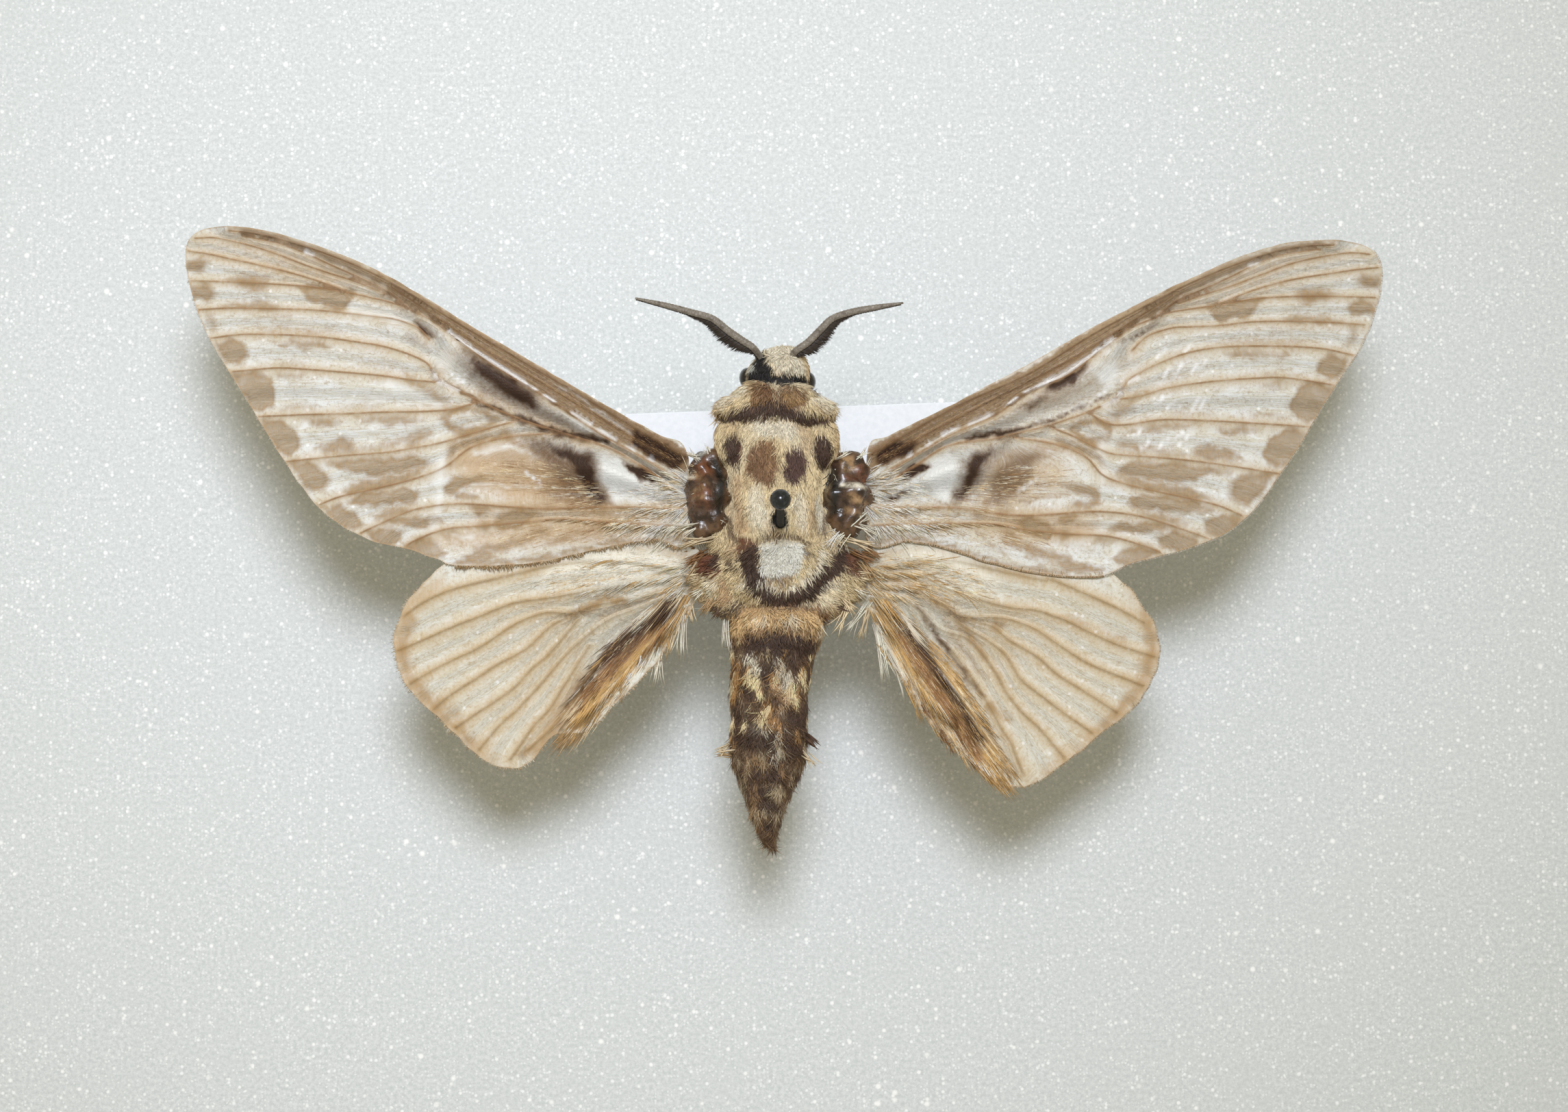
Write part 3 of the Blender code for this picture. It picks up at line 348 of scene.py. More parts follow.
# %% Cross-sections of the body: row, left and right column, underside and top in mm
HEAD = [
    (505, 1122, 1166, 24.6, 27.4), (510, 1106, 1180, 24.1, 28.0), (524, 1092, 1188, 23.7, 28.5),
    (540, 1082, 1192, 23.5, 28.7), (556, 1080, 1190, 23.6, 28.5), (570, 1090, 1182, 24.2, 28.1),
]
COLLAR = [
    (552, 1096, 1174, 24.0, 27.4), (562, 1070, 1188, 23.4, 28.3), (578, 1056, 1202, 22.9, 28.9),
    (600, 1045, 1217, 22.7, 29.1), (616, 1043, 1221, 22.8, 28.9), (626, 1060, 1206, 23.2, 28.3),
]
THORAX = [
    (606, 1074, 1190, 23.4, 28.0), (622, 1044, 1216, 22.5, 28.8), (650, 1036, 1228, 21.9, 29.3),
    (690, 1044, 1218, 21.7, 29.6), (735, 1052, 1210, 21.7, 29.6), (775, 1056, 1206, 21.9, 29.3),
    (800, 1066, 1198, 22.4, 28.8), (812, 1084, 1184, 23.2, 28.0),
]
METATHORAX = [
    (790, 1086, 1182, 23.4, 28.2), (800, 1048, 1222, 22.6, 28.8), (826, 1031, 1239, 22.1, 29.0),
    (856, 1030, 1240, 22.2, 28.7), (878, 1044, 1226, 22.6, 28.2), (892, 1074, 1196, 23.3, 27.6),
]
ABDOMEN = [
    (880, 1086, 1186, 23.4, 27.4), (890, 1062, 1208, 22.6, 28.1), (912, 1056, 1212, 22.1, 28.5),
    (950, 1060, 1198, 22.0, 28.4), (1000, 1060, 1188, 22.1, 28.1), (1050, 1060, 1186, 22.3, 27.9),
    (1095, 1060, 1184, 22.5, 27.7), (1135, 1072, 1171, 22.8, 27.3), (1180, 1088, 1152, 23.3, 26.7),
    (1214, 1102, 1142, 23.9, 26.1), (1238, 1128, 1142, 24.6, 25.3),
]
COAT_DEPTH = 0.42 * MM  # the skin lies this far inside the outline of the coat
SIDES = 40


def rings_of(sections, step):
    """The middle, half sizes and place of each ring of a run of cross-sections, in metres."""
    rows = []
    for row, left, right, low, high in sections:
        x0, y = grid_point(left, row)
        x1, _ = grid_point(right, row)
        rows.append((y, (x0 + x1) / 2, (x1 - x0) / 2, (low + high) / 2 * MM, (high - low) / 2 * MM))
    return smooth_line(rows, step)


def lump(point, size):
    """Cloudy noise from -1 to 1 whose clouds are about size mm across."""
    return mathutils.noise.noise(Vector(point) / (size * MM))


def join_loops(shape, loops):
    """Faces between rings of points, and a face on each end."""
    sides = len(loops[0])
    for one, two in zip(loops, loops[1:]):
        for k in range(sides):
            n = (k + 1) % sides
            shape.faces.new((one[k], one[n], two[n], two[k]))
    shape.faces.new(loops[0])
    shape.faces.new(loops[-1])


def body_tube(sections, step=0.45 * MM):
    """A closed tube through cross-sections, drawn in by the depth of the coat."""
    shape = bmesh.new()
    loops = []
    for y, x, half_x, z, half_z in rings_of(sections, step):
        loop = []
        for k in range(SIDES):
            a = 2 * math.pi * k / SIDES
            c, s = math.cos(a), math.sin(a)
            at = Vector((x + half_x * c, y, z + half_z * s))
            inward = COAT_DEPTH + 0.16 * MM * abs(lump(at, 1.6)) + 0.07 * MM * abs(lump(at, 0.7))
            px = x + (half_x - inward) * math.copysign(abs(c) ** 0.88, c)
            pz = z + (half_z - inward) * math.copysign(abs(s) ** 0.88, s)
            loop.append(shape.verts.new((px, y, pz)))
        loops.append(loop)
    join_loops(shape, loops)
    return shape


def new_piece(name, shape):
    """A piece of the scene from a bmesh, its faces turned outwards."""
    bmesh.ops.recalc_face_normals(shape, faces=shape.faces)
    mesh = bpy.data.meshes.new(name)
    shape.to_mesh(mesh)
    shape.free()
    return added(name, mesh)


def melt(piece, size, rounds):
    """Remeshes a piece with cells of that size and smooths it."""
    only(piece)
    step = piece.modifiers.new("melt", "REMESH")
    step.mode = "VOXEL"
    step.voxel_size = size
    bpy.ops.object.modifier_apply(modifier="melt")
    step = piece.modifiers.new("ease", "SMOOTH")
    step.factor = 0.5
    step.iterations = rounds
    bpy.ops.object.modifier_apply(modifier="ease")
    bpy.ops.object.shade_smooth()


SWELLINGS = [
    ((1142, 824), 28.0, (1.75, 1.55, 0.9)), ((1082, 600), 27.8, (1.7, 0.95, 1.0)),
    ((1182, 603), 27.8, (1.8, 0.95, 1.0)), ((1106, 580), 27.9, (1.3, 0.9, 1.0)),
    ((1160, 583), 27.9, (1.3, 0.9, 1.0)), ((1068, 645), 27.3, (1.05, 1.8, 1.4)),
    ((1202, 645), 27.3, (1.05, 1.8, 1.4)), ((1142, 534), 27.3, (1.4, 1.25, 1.0)),
    ((1058, 712), 25.9, (1.0, 2.6, 1.4)), ((1214, 712), 25.9, (1.0, 2.6, 1.4)),
    ((1058, 786), 26.3, (1.1, 1.7, 1.3)), ((1214, 786), 26.3, (1.1, 1.7, 1.3)),
    ((1046, 842), 26.3, (1.5, 1.8, 1.3)), ((1228, 842), 26.3, (1.5, 1.8, 1.3)),
    ((1068, 872), 26.2, (1.4, 1.2, 1.2)), ((1206, 872), 26.2, (1.4, 1.2, 1.2)),
]


def ball(place, scale, segments, rings, radius=1.0):
    """A ball stretched three ways, with its size applied."""
    bpy.ops.object.select_all(action="DESELECT")
    bpy.ops.mesh.primitive_uv_sphere_add(segments=segments, ring_count=rings, radius=radius, location=place)
    bpy.context.object.scale = scale
    bpy.ops.object.transform_apply(location=True, rotation=True, scale=True)
    return bpy.context.object


def swelling(spot, z, radii):
    """A rounded cushion of wool on the body: a lobe of the collar, or the shield."""
    return ball((*grid_point(*spot), z * MM), [r * MM for r in radii], 32, 20)


BODY = (HEAD, COLLAR, THORAX, METATHORAX, ABDOMEN)
tubes = [new_piece("body_skin", body_tube(sections)) for sections in BODY]
tubes += [swelling(*lobe) for lobe in SWELLINGS]
only(tubes[0])
for part in tubes:
    part.select_set(True)
bpy.ops.object.join()
skin = tubes[0]
melt(skin, 0.2 * MM, 5)
PIN_HOLE = (1139, 764)
HOLE_R, HOLE_DEPTH = 0.62, 0.9 * MM
hole = grid_point(*PIN_HOLE)
for point in skin.data.vertices:
    if point.co.z > 25 * MM:
        near = ((point.co.x - hole[0]) ** 2 + (point.co.y - hole[1]) ** 2) ** 0.5 / MM
        point.co.z -= HOLE_DEPTH * max(0.0, 1 - (near / HOLE_R) ** 2)
print("skin", len(skin.data.vertices), "points")

# %% [markdown]
# The body's colours: cream wool with dark ovals on the thorax, a brown collar, a black band
# behind the head, a grey shield, and an abdomen mottled dark brown, gold and cream. They are
# laid down as soft strokes in the plan, each with a place, a half width and a colour. Skin and
# hair ask the same function, so the markings agree at any depth of the coat.

# %% Colours of the body
WOOL = {
    "cream": (0.86, 0.7, 0.43), "pale": (0.95, 0.87, 0.7), "grey": (0.8, 0.79, 0.69),
    "plate": (1.0, 0.99, 0.89), "brown": (0.27, 0.135, 0.06), "dark": (0.09, 0.048, 0.03),
    "black": (0.016, 0.013, 0.012), "gold": (0.76, 0.5, 0.22), "tan": (0.54, 0.33, 0.16),
    "soot": (0.15, 0.08, 0.038), "fleck": (1.0, 0.82, 0.5), "rust": (0.2, 0.07, 0.03),
    "oval": (0.12, 0.06, 0.045), "amber": (0.62, 0.34, 0.12), "ash": (0.5, 0.41, 0.28),
    "honey": (0.9, 0.63, 0.32),
}
BODY_STROKES = [
    ("dark", 1.0, 8, [(1060, 642), (1074, 636), (1084, 658), (1081, 680), (1070, 686), (1061, 670),
        (1057, 654)]),
    ("rust", 0.8, 6, [(1080, 652, 2), (1082, 672, 2)]),
    ("dark", 1.0, 8, [(1190, 642), (1201, 637), (1212, 648), (1217, 666), (1213, 681), (1201, 688),
        (1191, 679), (1187, 660)]),
    ("brown", 0.95, 11, [(1096, 658), (1110, 648), (1130, 648), (1136, 664), (1134, 690), (1131, 706),
        (1122, 716), (1106, 708), (1092, 692), (1090, 674)]),
    ("tan", 0.6, 8, [(1122, 656, 3), (1126, 674, 4), (1122, 690, 3)]),
    ("oval", 1.0, 10, [(1148, 664), (1160, 655), (1173, 663), (1180, 680), (1175, 699), (1162, 711),
        (1149, 706), (1142, 692), (1144, 676)]),
    # Painted light: the three pale strokes on the thorax are painted highlights, and the tan stroke on its
    # left side with the soot and grey strokes on its right side are painted shade.
    ("pale", 0.9, 12, [(1116, 624, 16), (1150, 632, 14)]),
    ("pale", 0.8, 12, [(1104, 722, 10), (1108, 762, 12)]),
    ("pale", 0.8, 12, [(1166, 726, 8), (1172, 770, 8)]), ("tan", 0.6, 12, [(1076, 700, 6), (1082, 770, 8)]),
    ("soot", 0.5, 8, [(1186, 744, 3), (1192, 776, 5)]), ("grey", 0.6, 8, [(1194, 730, 5), (1200, 770, 5)]),
    ("brown", 0.95, 10, [(1096, 576), (1108, 566), (1124, 564), (1132, 572), (1136, 600), (1124, 610),
        (1100, 606), (1098, 590)]),
    ("brown", 0.9, 10, [(1136, 572), (1152, 566), (1168, 572), (1178, 584), (1174, 598), (1150, 602),
        (1138, 592)]),
    ("gold", 0.55, 9, [(1150, 580, 6), (1164, 586, 6)]), ("tan", 0.6, 9, [(1104, 580, 6), (1116, 588, 4)]),
    ("dark", 1.0, 8, [(1050, 612, 5), (1070, 612, 7), (1092, 606, 9), (1116, 598, 9), (1134, 598, 10),
        (1152, 606, 8), (1178, 614, 9), (1202, 618, 8), (1212, 612, 3)]),
    ("pale", 0.75, 9, [(1056, 590, 8), (1072, 580, 8), (1090, 568, 6)]),
    ("pale", 0.75, 9, [(1186, 584, 6), (1208, 596, 7)]),
    ("black", 1.0, 7, [(1066, 564), (1074, 548), (1084, 534), (1090, 518), (1098, 512), (1110, 514),
        (1120, 524), (1127, 540), (1132, 549), (1152, 548), (1178, 546), (1186, 556), (1192, 572),
        (1184, 574), (1172, 565), (1156, 561), (1146, 567), (1136, 561), (1118, 561), (1098, 558),
        (1080, 560)]),
    ("grey", 0.8, 6, [(1096, 522, 4), (1099, 536, 5)]),
    ("pale", 0.9, 8, [(1114, 512), (1136, 504), (1156, 512), (1172, 530), (1178, 544), (1150, 547),
        (1134, 546), (1126, 530)]),
    ("black", 1.0, 8, [(1050, 674, 5), (1054, 700, 9), (1048, 730, 9), (1046, 750, 7)]),
    ("black", 1.0, 8, [(1218, 686, 5), (1214, 706, 8), (1222, 730, 8), (1220, 746, 4)]),
    ("soot", 0.8, 8, [(1064, 756, 4), (1068, 780, 5), (1082, 792, 6)]),
    ("soot", 0.7, 8, [(1206, 752, 4), (1204, 776, 4)]),
    ("rust", 0.9, 9, [(1078, 784), (1104, 792), (1112, 806), (1096, 816), (1082, 806)]),
    ("dark", 1.0, 8, [(1084, 812), (1096, 798), (1112, 800), (1110, 820), (1104, 840), (1118, 858),
        (1140, 866), (1164, 862), (1184, 848), (1204, 828), (1218, 808), (1226, 790), (1238, 800),
        (1240, 820), (1222, 838), (1202, 852), (1186, 870), (1160, 882), (1138, 886), (1118, 876),
        (1100, 858), (1088, 838)]),
    # Painted shade: this dark line just before the shield stands for the shadow in the crease between thorax
    # and shield.
    ("dark", 0.8, 6, [(1112, 786, 3), (1140, 787, 4), (1164, 788, 4), (1182, 794, 3)]),
    ("dark", 1.0, 9, [(1098, 806, 8), (1103, 838, 9), (1122, 866, 8), (1144, 874, 9), (1170, 866, 8),
        (1196, 840, 8), (1220, 812, 9)]),
    ("plate", 1.0, 4, [(1114, 799), (1142, 795), (1170, 797), (1176, 808), (1170, 828), (1163, 844),
        (1142, 850), (1120, 848), (1112, 838), (1112, 816)]),
    ("pale", 0.9, 5, [(1112, 798, 3), (1140, 794, 3), (1166, 796, 2)]),
    ("dark", 0.7, 6, [(1174, 800, 3), (1176, 812, 3)]),
    ("brown", 0.6, 6, [(1122, 848, 3), (1142, 851, 4), (1156, 846, 3)]),
    ("pale", 0.9, 5, [(1108, 848, 2), (1126, 858, 3), (1150, 860, 3), (1172, 850, 4), (1190, 828, 6),
        (1198, 802, 6)]),
    # Painted shade: the black spot at the pin hole stands for the shadow in the hole beside the pin.
    ("black", 1.0, 4, [(1138, 757, 10), (1139, 766, 12)]),
    ("rust", 1.0, 8, [(1018, 800), (1052, 800), (1056, 836), (1030, 840), (1022, 820)]),
    ("dark", 0.9, 7, [(1046, 804, 5), (1050, 826, 7)]), ("dark", 0.8, 7, [(1068, 818, 5), (1078, 830, 5)]),
    ("rust", 0.9, 8, [(1236, 800), (1256, 802), (1252, 834), (1232, 838)]),
    ("pale", 0.8, 8, [(1040, 846, 5), (1046, 866, 5)]), ("pale", 0.9, 7, [(1084, 854, 4), (1092, 850, 3)]),
    ("tan", 0.7, 9, [(1060, 852, 8), (1064, 872, 7)]), ("pale", 0.7, 8, [(1198, 858, 5), (1220, 852, 7)]),
    ("dark", 0.9, 6, [(1060, 888, 3), (1088, 878, 4)]), ("rust", 0.8, 6, [(1196, 886, 5), (1206, 894, 4)]),
    ("honey", 0.95, 9, [(1064, 892), (1100, 882), (1150, 886), (1196, 890), (1206, 910), (1192, 922),
        (1130, 924), (1080, 926), (1062, 912)]),
    ("brown", 0.75, 9, [(1074, 924, 5), (1110, 918, 6), (1150, 915, 6), (1194, 918, 5)]),
    ("brown", 0.6, 7, [(1076, 890, 3), (1110, 882, 4), (1150, 882, 4), (1194, 888, 3)]),
    ("rust", 0.5, 6, [(1080, 896, 2), (1120, 890, 2), (1176, 892, 2)]),
    ("pale", 0.7, 8, [(1104, 902, 5), (1122, 906, 4)]), ("pale", 0.7, 8, [(1142, 902, 5), (1162, 906, 5)]),
    ("pale", 0.8, 7, [(1062, 908, 3), (1066, 934, 3)]), ("pale", 0.7, 7, [(1192, 902, 3), (1196, 916, 3)]),
    ("dark", 1.0, 8, [(1076, 934), (1100, 924), (1140, 920), (1190, 926), (1200, 942), (1180, 950),
        (1140, 946), (1100, 944)]),
    ("pale", 0.95, 8, [(1086, 958), (1100, 950), (1112, 964), (1114, 984), (1104, 976)]),
    ("pale", 0.95, 7, [(1096, 1050), (1108, 1044), (1120, 1056), (1112, 1066), (1100, 1062)]),
    ("pale", 0.8, 7, [(1134, 960, 4), (1152, 984, 5), (1142, 1010, 4), (1140, 1032, 3)]),
    ("tan", 0.8, 9, [(1124, 1000, 7), (1150, 1010, 6), (1130, 1036, 4)]),
    ("pale", 0.8, 6, [(1138, 1060, 3), (1134, 1104, 3)]),
    ("tan", 0.7, 8, [(1086, 1016, 5), (1098, 1022, 4)]),
    ("tan", 0.6, 8, [(1160, 1058, 4), (1164, 1070, 4)]),
    ("dark", 0.9, 9, [(1088, 996, 8), (1092, 1036, 9), (1112, 1076, 6)]),
    ("dark", 0.9, 9, [(1180, 1030, 5), (1184, 1088, 5)]),
    ("dark", 0.85, 9, [(1126, 1122, 8), (1118, 1160, 7), (1140, 1172, 5)]),
    ("dark", 0.8, 9, [(1160, 1132, 4), (1152, 1150, 4)]),
    ("tan", 0.6, 9, [(1096, 1100, 6), (1110, 1108, 5)]),
    ("tan", 0.5, 9, [(1104, 1140, 5), (1100, 1176, 5)]),
]


def distance_to(line, points):
    """The distance from each point to a broken line."""
    best = np.full(len(points), 1e9)
    for a, b in zip(line, line[1:]):
        ab = b - a
        t = np.clip(((points - a) @ ab) / (ab @ ab), 0, 1)
        best = np.minimum(best, np.linalg.norm(points - a - t[:, None] * ab, axis=1))
    return best


def inside(points, ring):
    """Which points lie inside a closed ring."""
    x, y = points[:, 0], points[:, 1]
    odd = np.zeros(len(points), bool)
    for (x0, y0), (x1, y1) in zip(ring, np.roll(ring, -1, 0)):
        crosses = (y0 > y) != (y1 > y)
        odd ^= crosses & (x < (x1 - x0) * (y - y0) / np.where(y1 == y0, 1e-12, y1 - y0) + x0)
    return odd


def stroke(at, mark, soft):
    """How far each place lies inside a mark.

    A mark is a stroke of (column, row, half width) or a closed ring of (column, row).
    """
    places = np.array(mark if len(mark) > 1 else mark * 2, float)
    if places.shape[1] == 2:
        gap = distance_to(np.concatenate([places, places[:1]]), at)
        return np.clip(np.where(inside(at, places), gap, -gap) / soft + 0.5, 0, 1)
    best = np.full(len(at), -1e9)
    for a, b in zip(places, places[1:]):
        ab = b[:2] - a[:2]
        t = np.clip(((at - a[:2]) @ ab) / max(ab @ ab, 1e-9), 0, 1)
        gap = np.linalg.norm(at - a[:2] - t[:, None] * ab, axis=1)
        best = np.maximum(best, a[2] + t * (b[2] - a[2]) - gap)
    return np.clip(best / soft + 0.5, 0, 1)


def ease(values, low, high):
    """A soft step from 0 at low to 1 at high."""
    t = np.clip((values - low) / (high - low), 0, 1)
    return t * t * (3 - 2 * t)


def lay(colours, share, name):
    """Paints a named colour over others by a share for each."""
    return colours * (1 - share[:, None]) + np.array(WOOL[name]) * share[:, None]


ABDOMEN_STARTS, TAIL_STARTS = (876, 892), (1050, 1100)  # rows between which one colouring fades in


def body_colours(points, normals, stray=0.0):
    """The colour of skin or hair that grows at each point of the body; painted shade darkens its sides and
    underside.
    """
    at = on_grid(points)
    if stray:
        at = at + chance.normal(0, stray, at.shape)
    up = ease(normals[:, 2], -0.05, 0.45)
    row = at[:, 1]
    long_way = points * (1.0, 0.6, 1.0)
    clouds = np.array([(lump(p, 1.15), lump(p + 0.3, 0.7), lump(p, 2.4)) for p in long_way])
    colours = np.tile(WOOL["cream"], (len(points), 1))
    colours = lay(colours, 0.5 * ease(clouds[:, 2], -0.1, 0.5), "pale")
    colours = lay(colours, 0.35 * ease(-clouds[:, 0], 0.0, 0.5), "tan")
    rear = ease(row, *ABDOMEN_STARTS)
    tail = 1 - 0.7 * ease(row, *TAIL_STARTS)
    colours = lay(colours, rear * 0.95, "soot")
    colours = lay(colours, rear * tail * 0.8 * ease(clouds[:, 0], 0.02, 0.2), "amber")
    colours = lay(colours, rear * tail * ease(clouds[:, 1], 0.16, 0.28), "fleck")
    colours = lay(colours, (rear - rear * tail) * 0.7 * ease(clouds[:, 1], 0.1, 0.3), "ash")
    colours = lay(colours, rear * 0.9 * ease(-clouds[:, 1], 0.08, 0.26), "dark")
    front = 1 - rear
    # Painted shade: on the front of the body, wool that faces sideways is darkened towards tan and wool that
    # faces down towards brown.
    colours = lay(colours, front * (1 - up) * 0.75 * ease(-clouds[:, 2], -0.3, 0.3), "tan")
    colours = lay(colours, front * ease(-normals[:, 2], 0.0, 0.6) * 0.6, "brown")
    for name, share, soft, mark in BODY_STROKES:
        colours = lay(colours, share * up * ease(stroke(at, mark, soft), 0.15, 0.85), name)
    return colours


def sides_of(mesh):
    """The points of a mesh and their normals."""
    points = np.empty(len(mesh.vertices) * 3)
    normals = np.empty(len(mesh.vertices) * 3)
    mesh.vertices.foreach_get("co", points)
    mesh.vertex_normals.foreach_get("vector", normals)
    return points.reshape(-1, 3), normals.reshape(-1, 3)


keep_colours(skin.data, body_colours(*sides_of(skin.data)))
hide = Finish("hide", 0.75)
down = hide.grain(5200.0, 4.0, 0.7)
shade = hide.blend(hide.step(down, 0.3, 0.72), (0.42, 0.40, 0.38), (1.0, 1.0, 1.0))
hide.paint(hide.dyed(shade))
hide.relief(down, 0.06 * MM)
settle(skin, hide, "pale_wool", "head", "collar", "thorax", "metathorax", "abdomen")

# %% [markdown]
# A wing is a film a few hundredths of a millimetre thick, stretched on tubular veins. Its outline
# and its main veins were measured on the left side; the right wings take the veins and most
# markings through pairs of like points, by a smooth bending of the plan. Each vane is triangulated
# between outline and veins, finely enough that a number kept on its points can draw a marking.

# %% Outlines, veins and pairs of like points
FORE_LEFT = [
    (1003, 661), (960, 634), (880, 590), (780, 532), (680, 473), (600, 424), (540, 391), (480, 365),
    (420, 345), (370, 332), (330, 327), (295, 330), (272, 343), (265, 362), (268, 395), (277, 432),
    (290, 468), (312, 512), (343, 560), (375, 612), (402, 655), (432, 700), (465, 742), (505, 772),
    (548, 792), (595, 803), (640, 818), (660, 826), (720, 827), (790, 822), (850, 808), (905, 795),
    (960, 788), (1003, 790),
]
FORE_RIGHT = [
    (1268, 657), (1300, 636), (1380, 597), (1480, 545), (1560, 500), (1640, 457), (1720, 417), (1800, 380),
    (1840, 365), (1880, 354), (1920, 349), (1965, 348), (1998, 355), (2016, 368), (2023, 388), (2023, 412),
    (2012, 455), (1992, 505), (1960, 553), (1930, 600), (1900, 650), (1860, 708), (1832, 745), (1800, 773),
    (1760, 793), (1700, 812), (1650, 824), (1612, 841), (1560, 842), (1500, 835), (1440, 820), (1390, 803),
    (1330, 790), (1268, 789),
]
HIND_LEFT = [
    (1021, 806), (990, 792), (950, 776), (905, 774), (850, 786), (790, 800), (720, 806), (672, 808),
    (640, 830), (598, 872), (582, 903), (575, 935), (580, 968), (596, 1000), (620, 1027), (655, 1058),
    (690, 1090), (722, 1110), (750, 1118), (780, 1102), (812, 1068), (845, 1066), (872, 1050), (900, 1022),
    (925, 998), (950, 972), (970, 945), (990, 908), (1004, 886), (1021, 866),
]
HIND_RIGHT = [
    (1249, 806), (1280, 790), (1330, 776), (1390, 784), (1440, 798), (1500, 814), (1560, 822), (1602, 826),
    (1640, 850), (1665, 880), (1685, 910), (1693, 945), (1686, 980), (1668, 1012), (1640, 1040),
    (1605, 1068), (1565, 1100), (1525, 1128), (1495, 1142), (1468, 1142), (1445, 1128), (1415, 1100),
    (1380, 1070), (1350, 1040), (1327, 1003), (1305, 965), (1285, 925), (1270, 892), (1249, 866),
]
FORE_VEINS = {
    "costa": [
        (1000, 669), (880, 598), (780, 540), (680, 481), (600, 432), (540, 399), (480, 373), (420, 353),
        (370, 340), (330, 335),
    ],
    "subcosta": [(1000, 682), (940, 650), (860, 602), (780, 555), (700, 507), (620, 454), (570, 420)],
    "radius": [
        (996, 704), (940, 670), (880, 637), (830, 605), (780, 572), (730, 542), (690, 515), (660, 492),
        (630, 470), (600, 455),
    ],
    "radius_2": [(600, 455), (560, 425), (520, 405), (480, 387), (440, 368), (400, 354), (350, 343)],
    "radius_3": [
        (560, 430), (520, 413), (480, 400), (440, 386), (400, 370), (360, 357), (310, 345), (280, 345),
    ],
    "radius_4": [(500, 425), (450, 407), (410, 395), (370, 385), (330, 376), (300, 369), (270, 364)],
    "radius_5": [(600, 455), (575, 445), (545, 437), (500, 427), (440, 418), (360, 412), (274, 408)],
    "media_1": [
        (625, 497), (608, 480), (575, 468), (540, 463), (500, 458), (450, 453), (400, 451), (340, 449),
        (286, 451),
    ],
    "media_2": [
        (630, 545), (623, 533), (600, 521), (560, 508), (520, 501), (480, 495), (440, 491), (400, 489),
        (350, 488), (305, 493),
    ],
    "media_3": [(645, 561), (600, 557), (560, 551), (500, 545), (440, 540), (400, 538), (334, 543)],
    "cubitus": [
        (996, 722), (940, 684), (890, 656), (840, 640), (800, 628), (760, 615), (720, 598), (690, 583),
        (660, 568), (645, 561), (630, 545),
    ],
    "cubitus_1": [(700, 589), (660, 600), (620, 603), (560, 604), (500, 606), (440, 607), (377, 609)],
    "cubitus_2": [
        (760, 615), (720, 626), (680, 638), (640, 650), (600, 657), (560, 663), (500, 667), (416, 675),
    ],
    "anal_fold": [
        (820, 634), (745, 640), (690, 655), (650, 684), (610, 700), (560, 713), (500, 726), (464, 739),
    ],
    "anal_1": [
        (998, 745), (880, 742), (800, 745), (740, 742), (680, 738), (640, 740), (600, 748), (560, 765),
        (527, 780),
    ],
    "anal_2": [
        (998, 770), (900, 765), (820, 760), (760, 765), (700, 770), (650, 775), (610, 790), (592, 800),
    ],
}
HIND_VEINS = {
    "radius_1": [
        (1000, 828), (900, 818), (820, 824), (740, 842), (700, 851), (660, 861), (620, 878), (592, 896),
    ],
    "radius_s": [
        (1000, 838), (920, 850), (860, 862), (800, 873), (760, 878), (730, 887), (700, 899), (660, 914),
        (620, 931), (580, 947),
    ],
    "media_1": [
        (1000, 848), (940, 868), (906, 875), (863, 884), (838, 894), (802, 893), (780, 898), (750, 911),
        (700, 943), (660, 961), (620, 982), (600, 994),
    ],
    "media_2": [
        (845, 892), (813, 907), (797, 918), (772, 942), (750, 955), (722, 970), (700, 985), (660, 1010),
        (634, 1031),
    ],
    "media_3": [
        (850, 896), (828, 922), (800, 954), (777, 973), (752, 1000), (724, 1020), (699, 1036), (666, 1058),
    ],
    "cubitus": [
        (1000, 856), (930, 886), (890, 902), (855, 927), (823, 957), (795, 990), (775, 1012), (754, 1034),
        (732, 1053), (700, 1090),
    ],
    "cubitus_2": [(860, 940), (840, 972), (815, 1012), (802, 1033), (782, 1053), (768, 1073), (746, 1104)],
    "anal_1": [
        (1001, 866), (960, 884), (920, 915), (880, 958), (850, 1000), (832, 1030), (805, 1060), (772, 1090),
    ],
    "anal_2": [(1000, 884), (975, 905), (940, 945), (905, 985), (870, 1020)],
}
FORE_PAIRS = [
    (1003, 661, 1268, 657), (800, 532, 1479, 545), (680, 470, 1596, 479), (560, 402, 1721, 416),
    (440, 350, 1842, 364), (330, 327, 1953, 348), (265, 360, 2022, 385), (272, 408, 2015, 433),
    (284, 451, 1999, 473), (303, 493, 1982, 518), (332, 543, 1958, 563), (375, 609, 1919, 624),
    (414, 675, 1874, 693), (462, 740, 1820, 757), (525, 782, 1768, 790), (640, 818, 1640, 828),
    (500, 458, 1780, 477), (500, 501, 1770, 512), (500, 545, 1780, 558), (560, 604, 1700, 615),
    (560, 663, 1690, 670), (560, 713, 1700, 722), (630, 545, 1640, 572), (700, 589, 1590, 605),
    (760, 615, 1530, 624), (840, 642, 1450, 645), (940, 670, 1340, 664), (780, 572, 1500, 575),
    (880, 637, 1395, 633), (660, 492, 1620, 503), (600, 455, 1690, 465), (1003, 790, 1268, 789),
    (850, 808, 1420, 815), (740, 825, 1520, 838), (700, 740, 1560, 752),
]
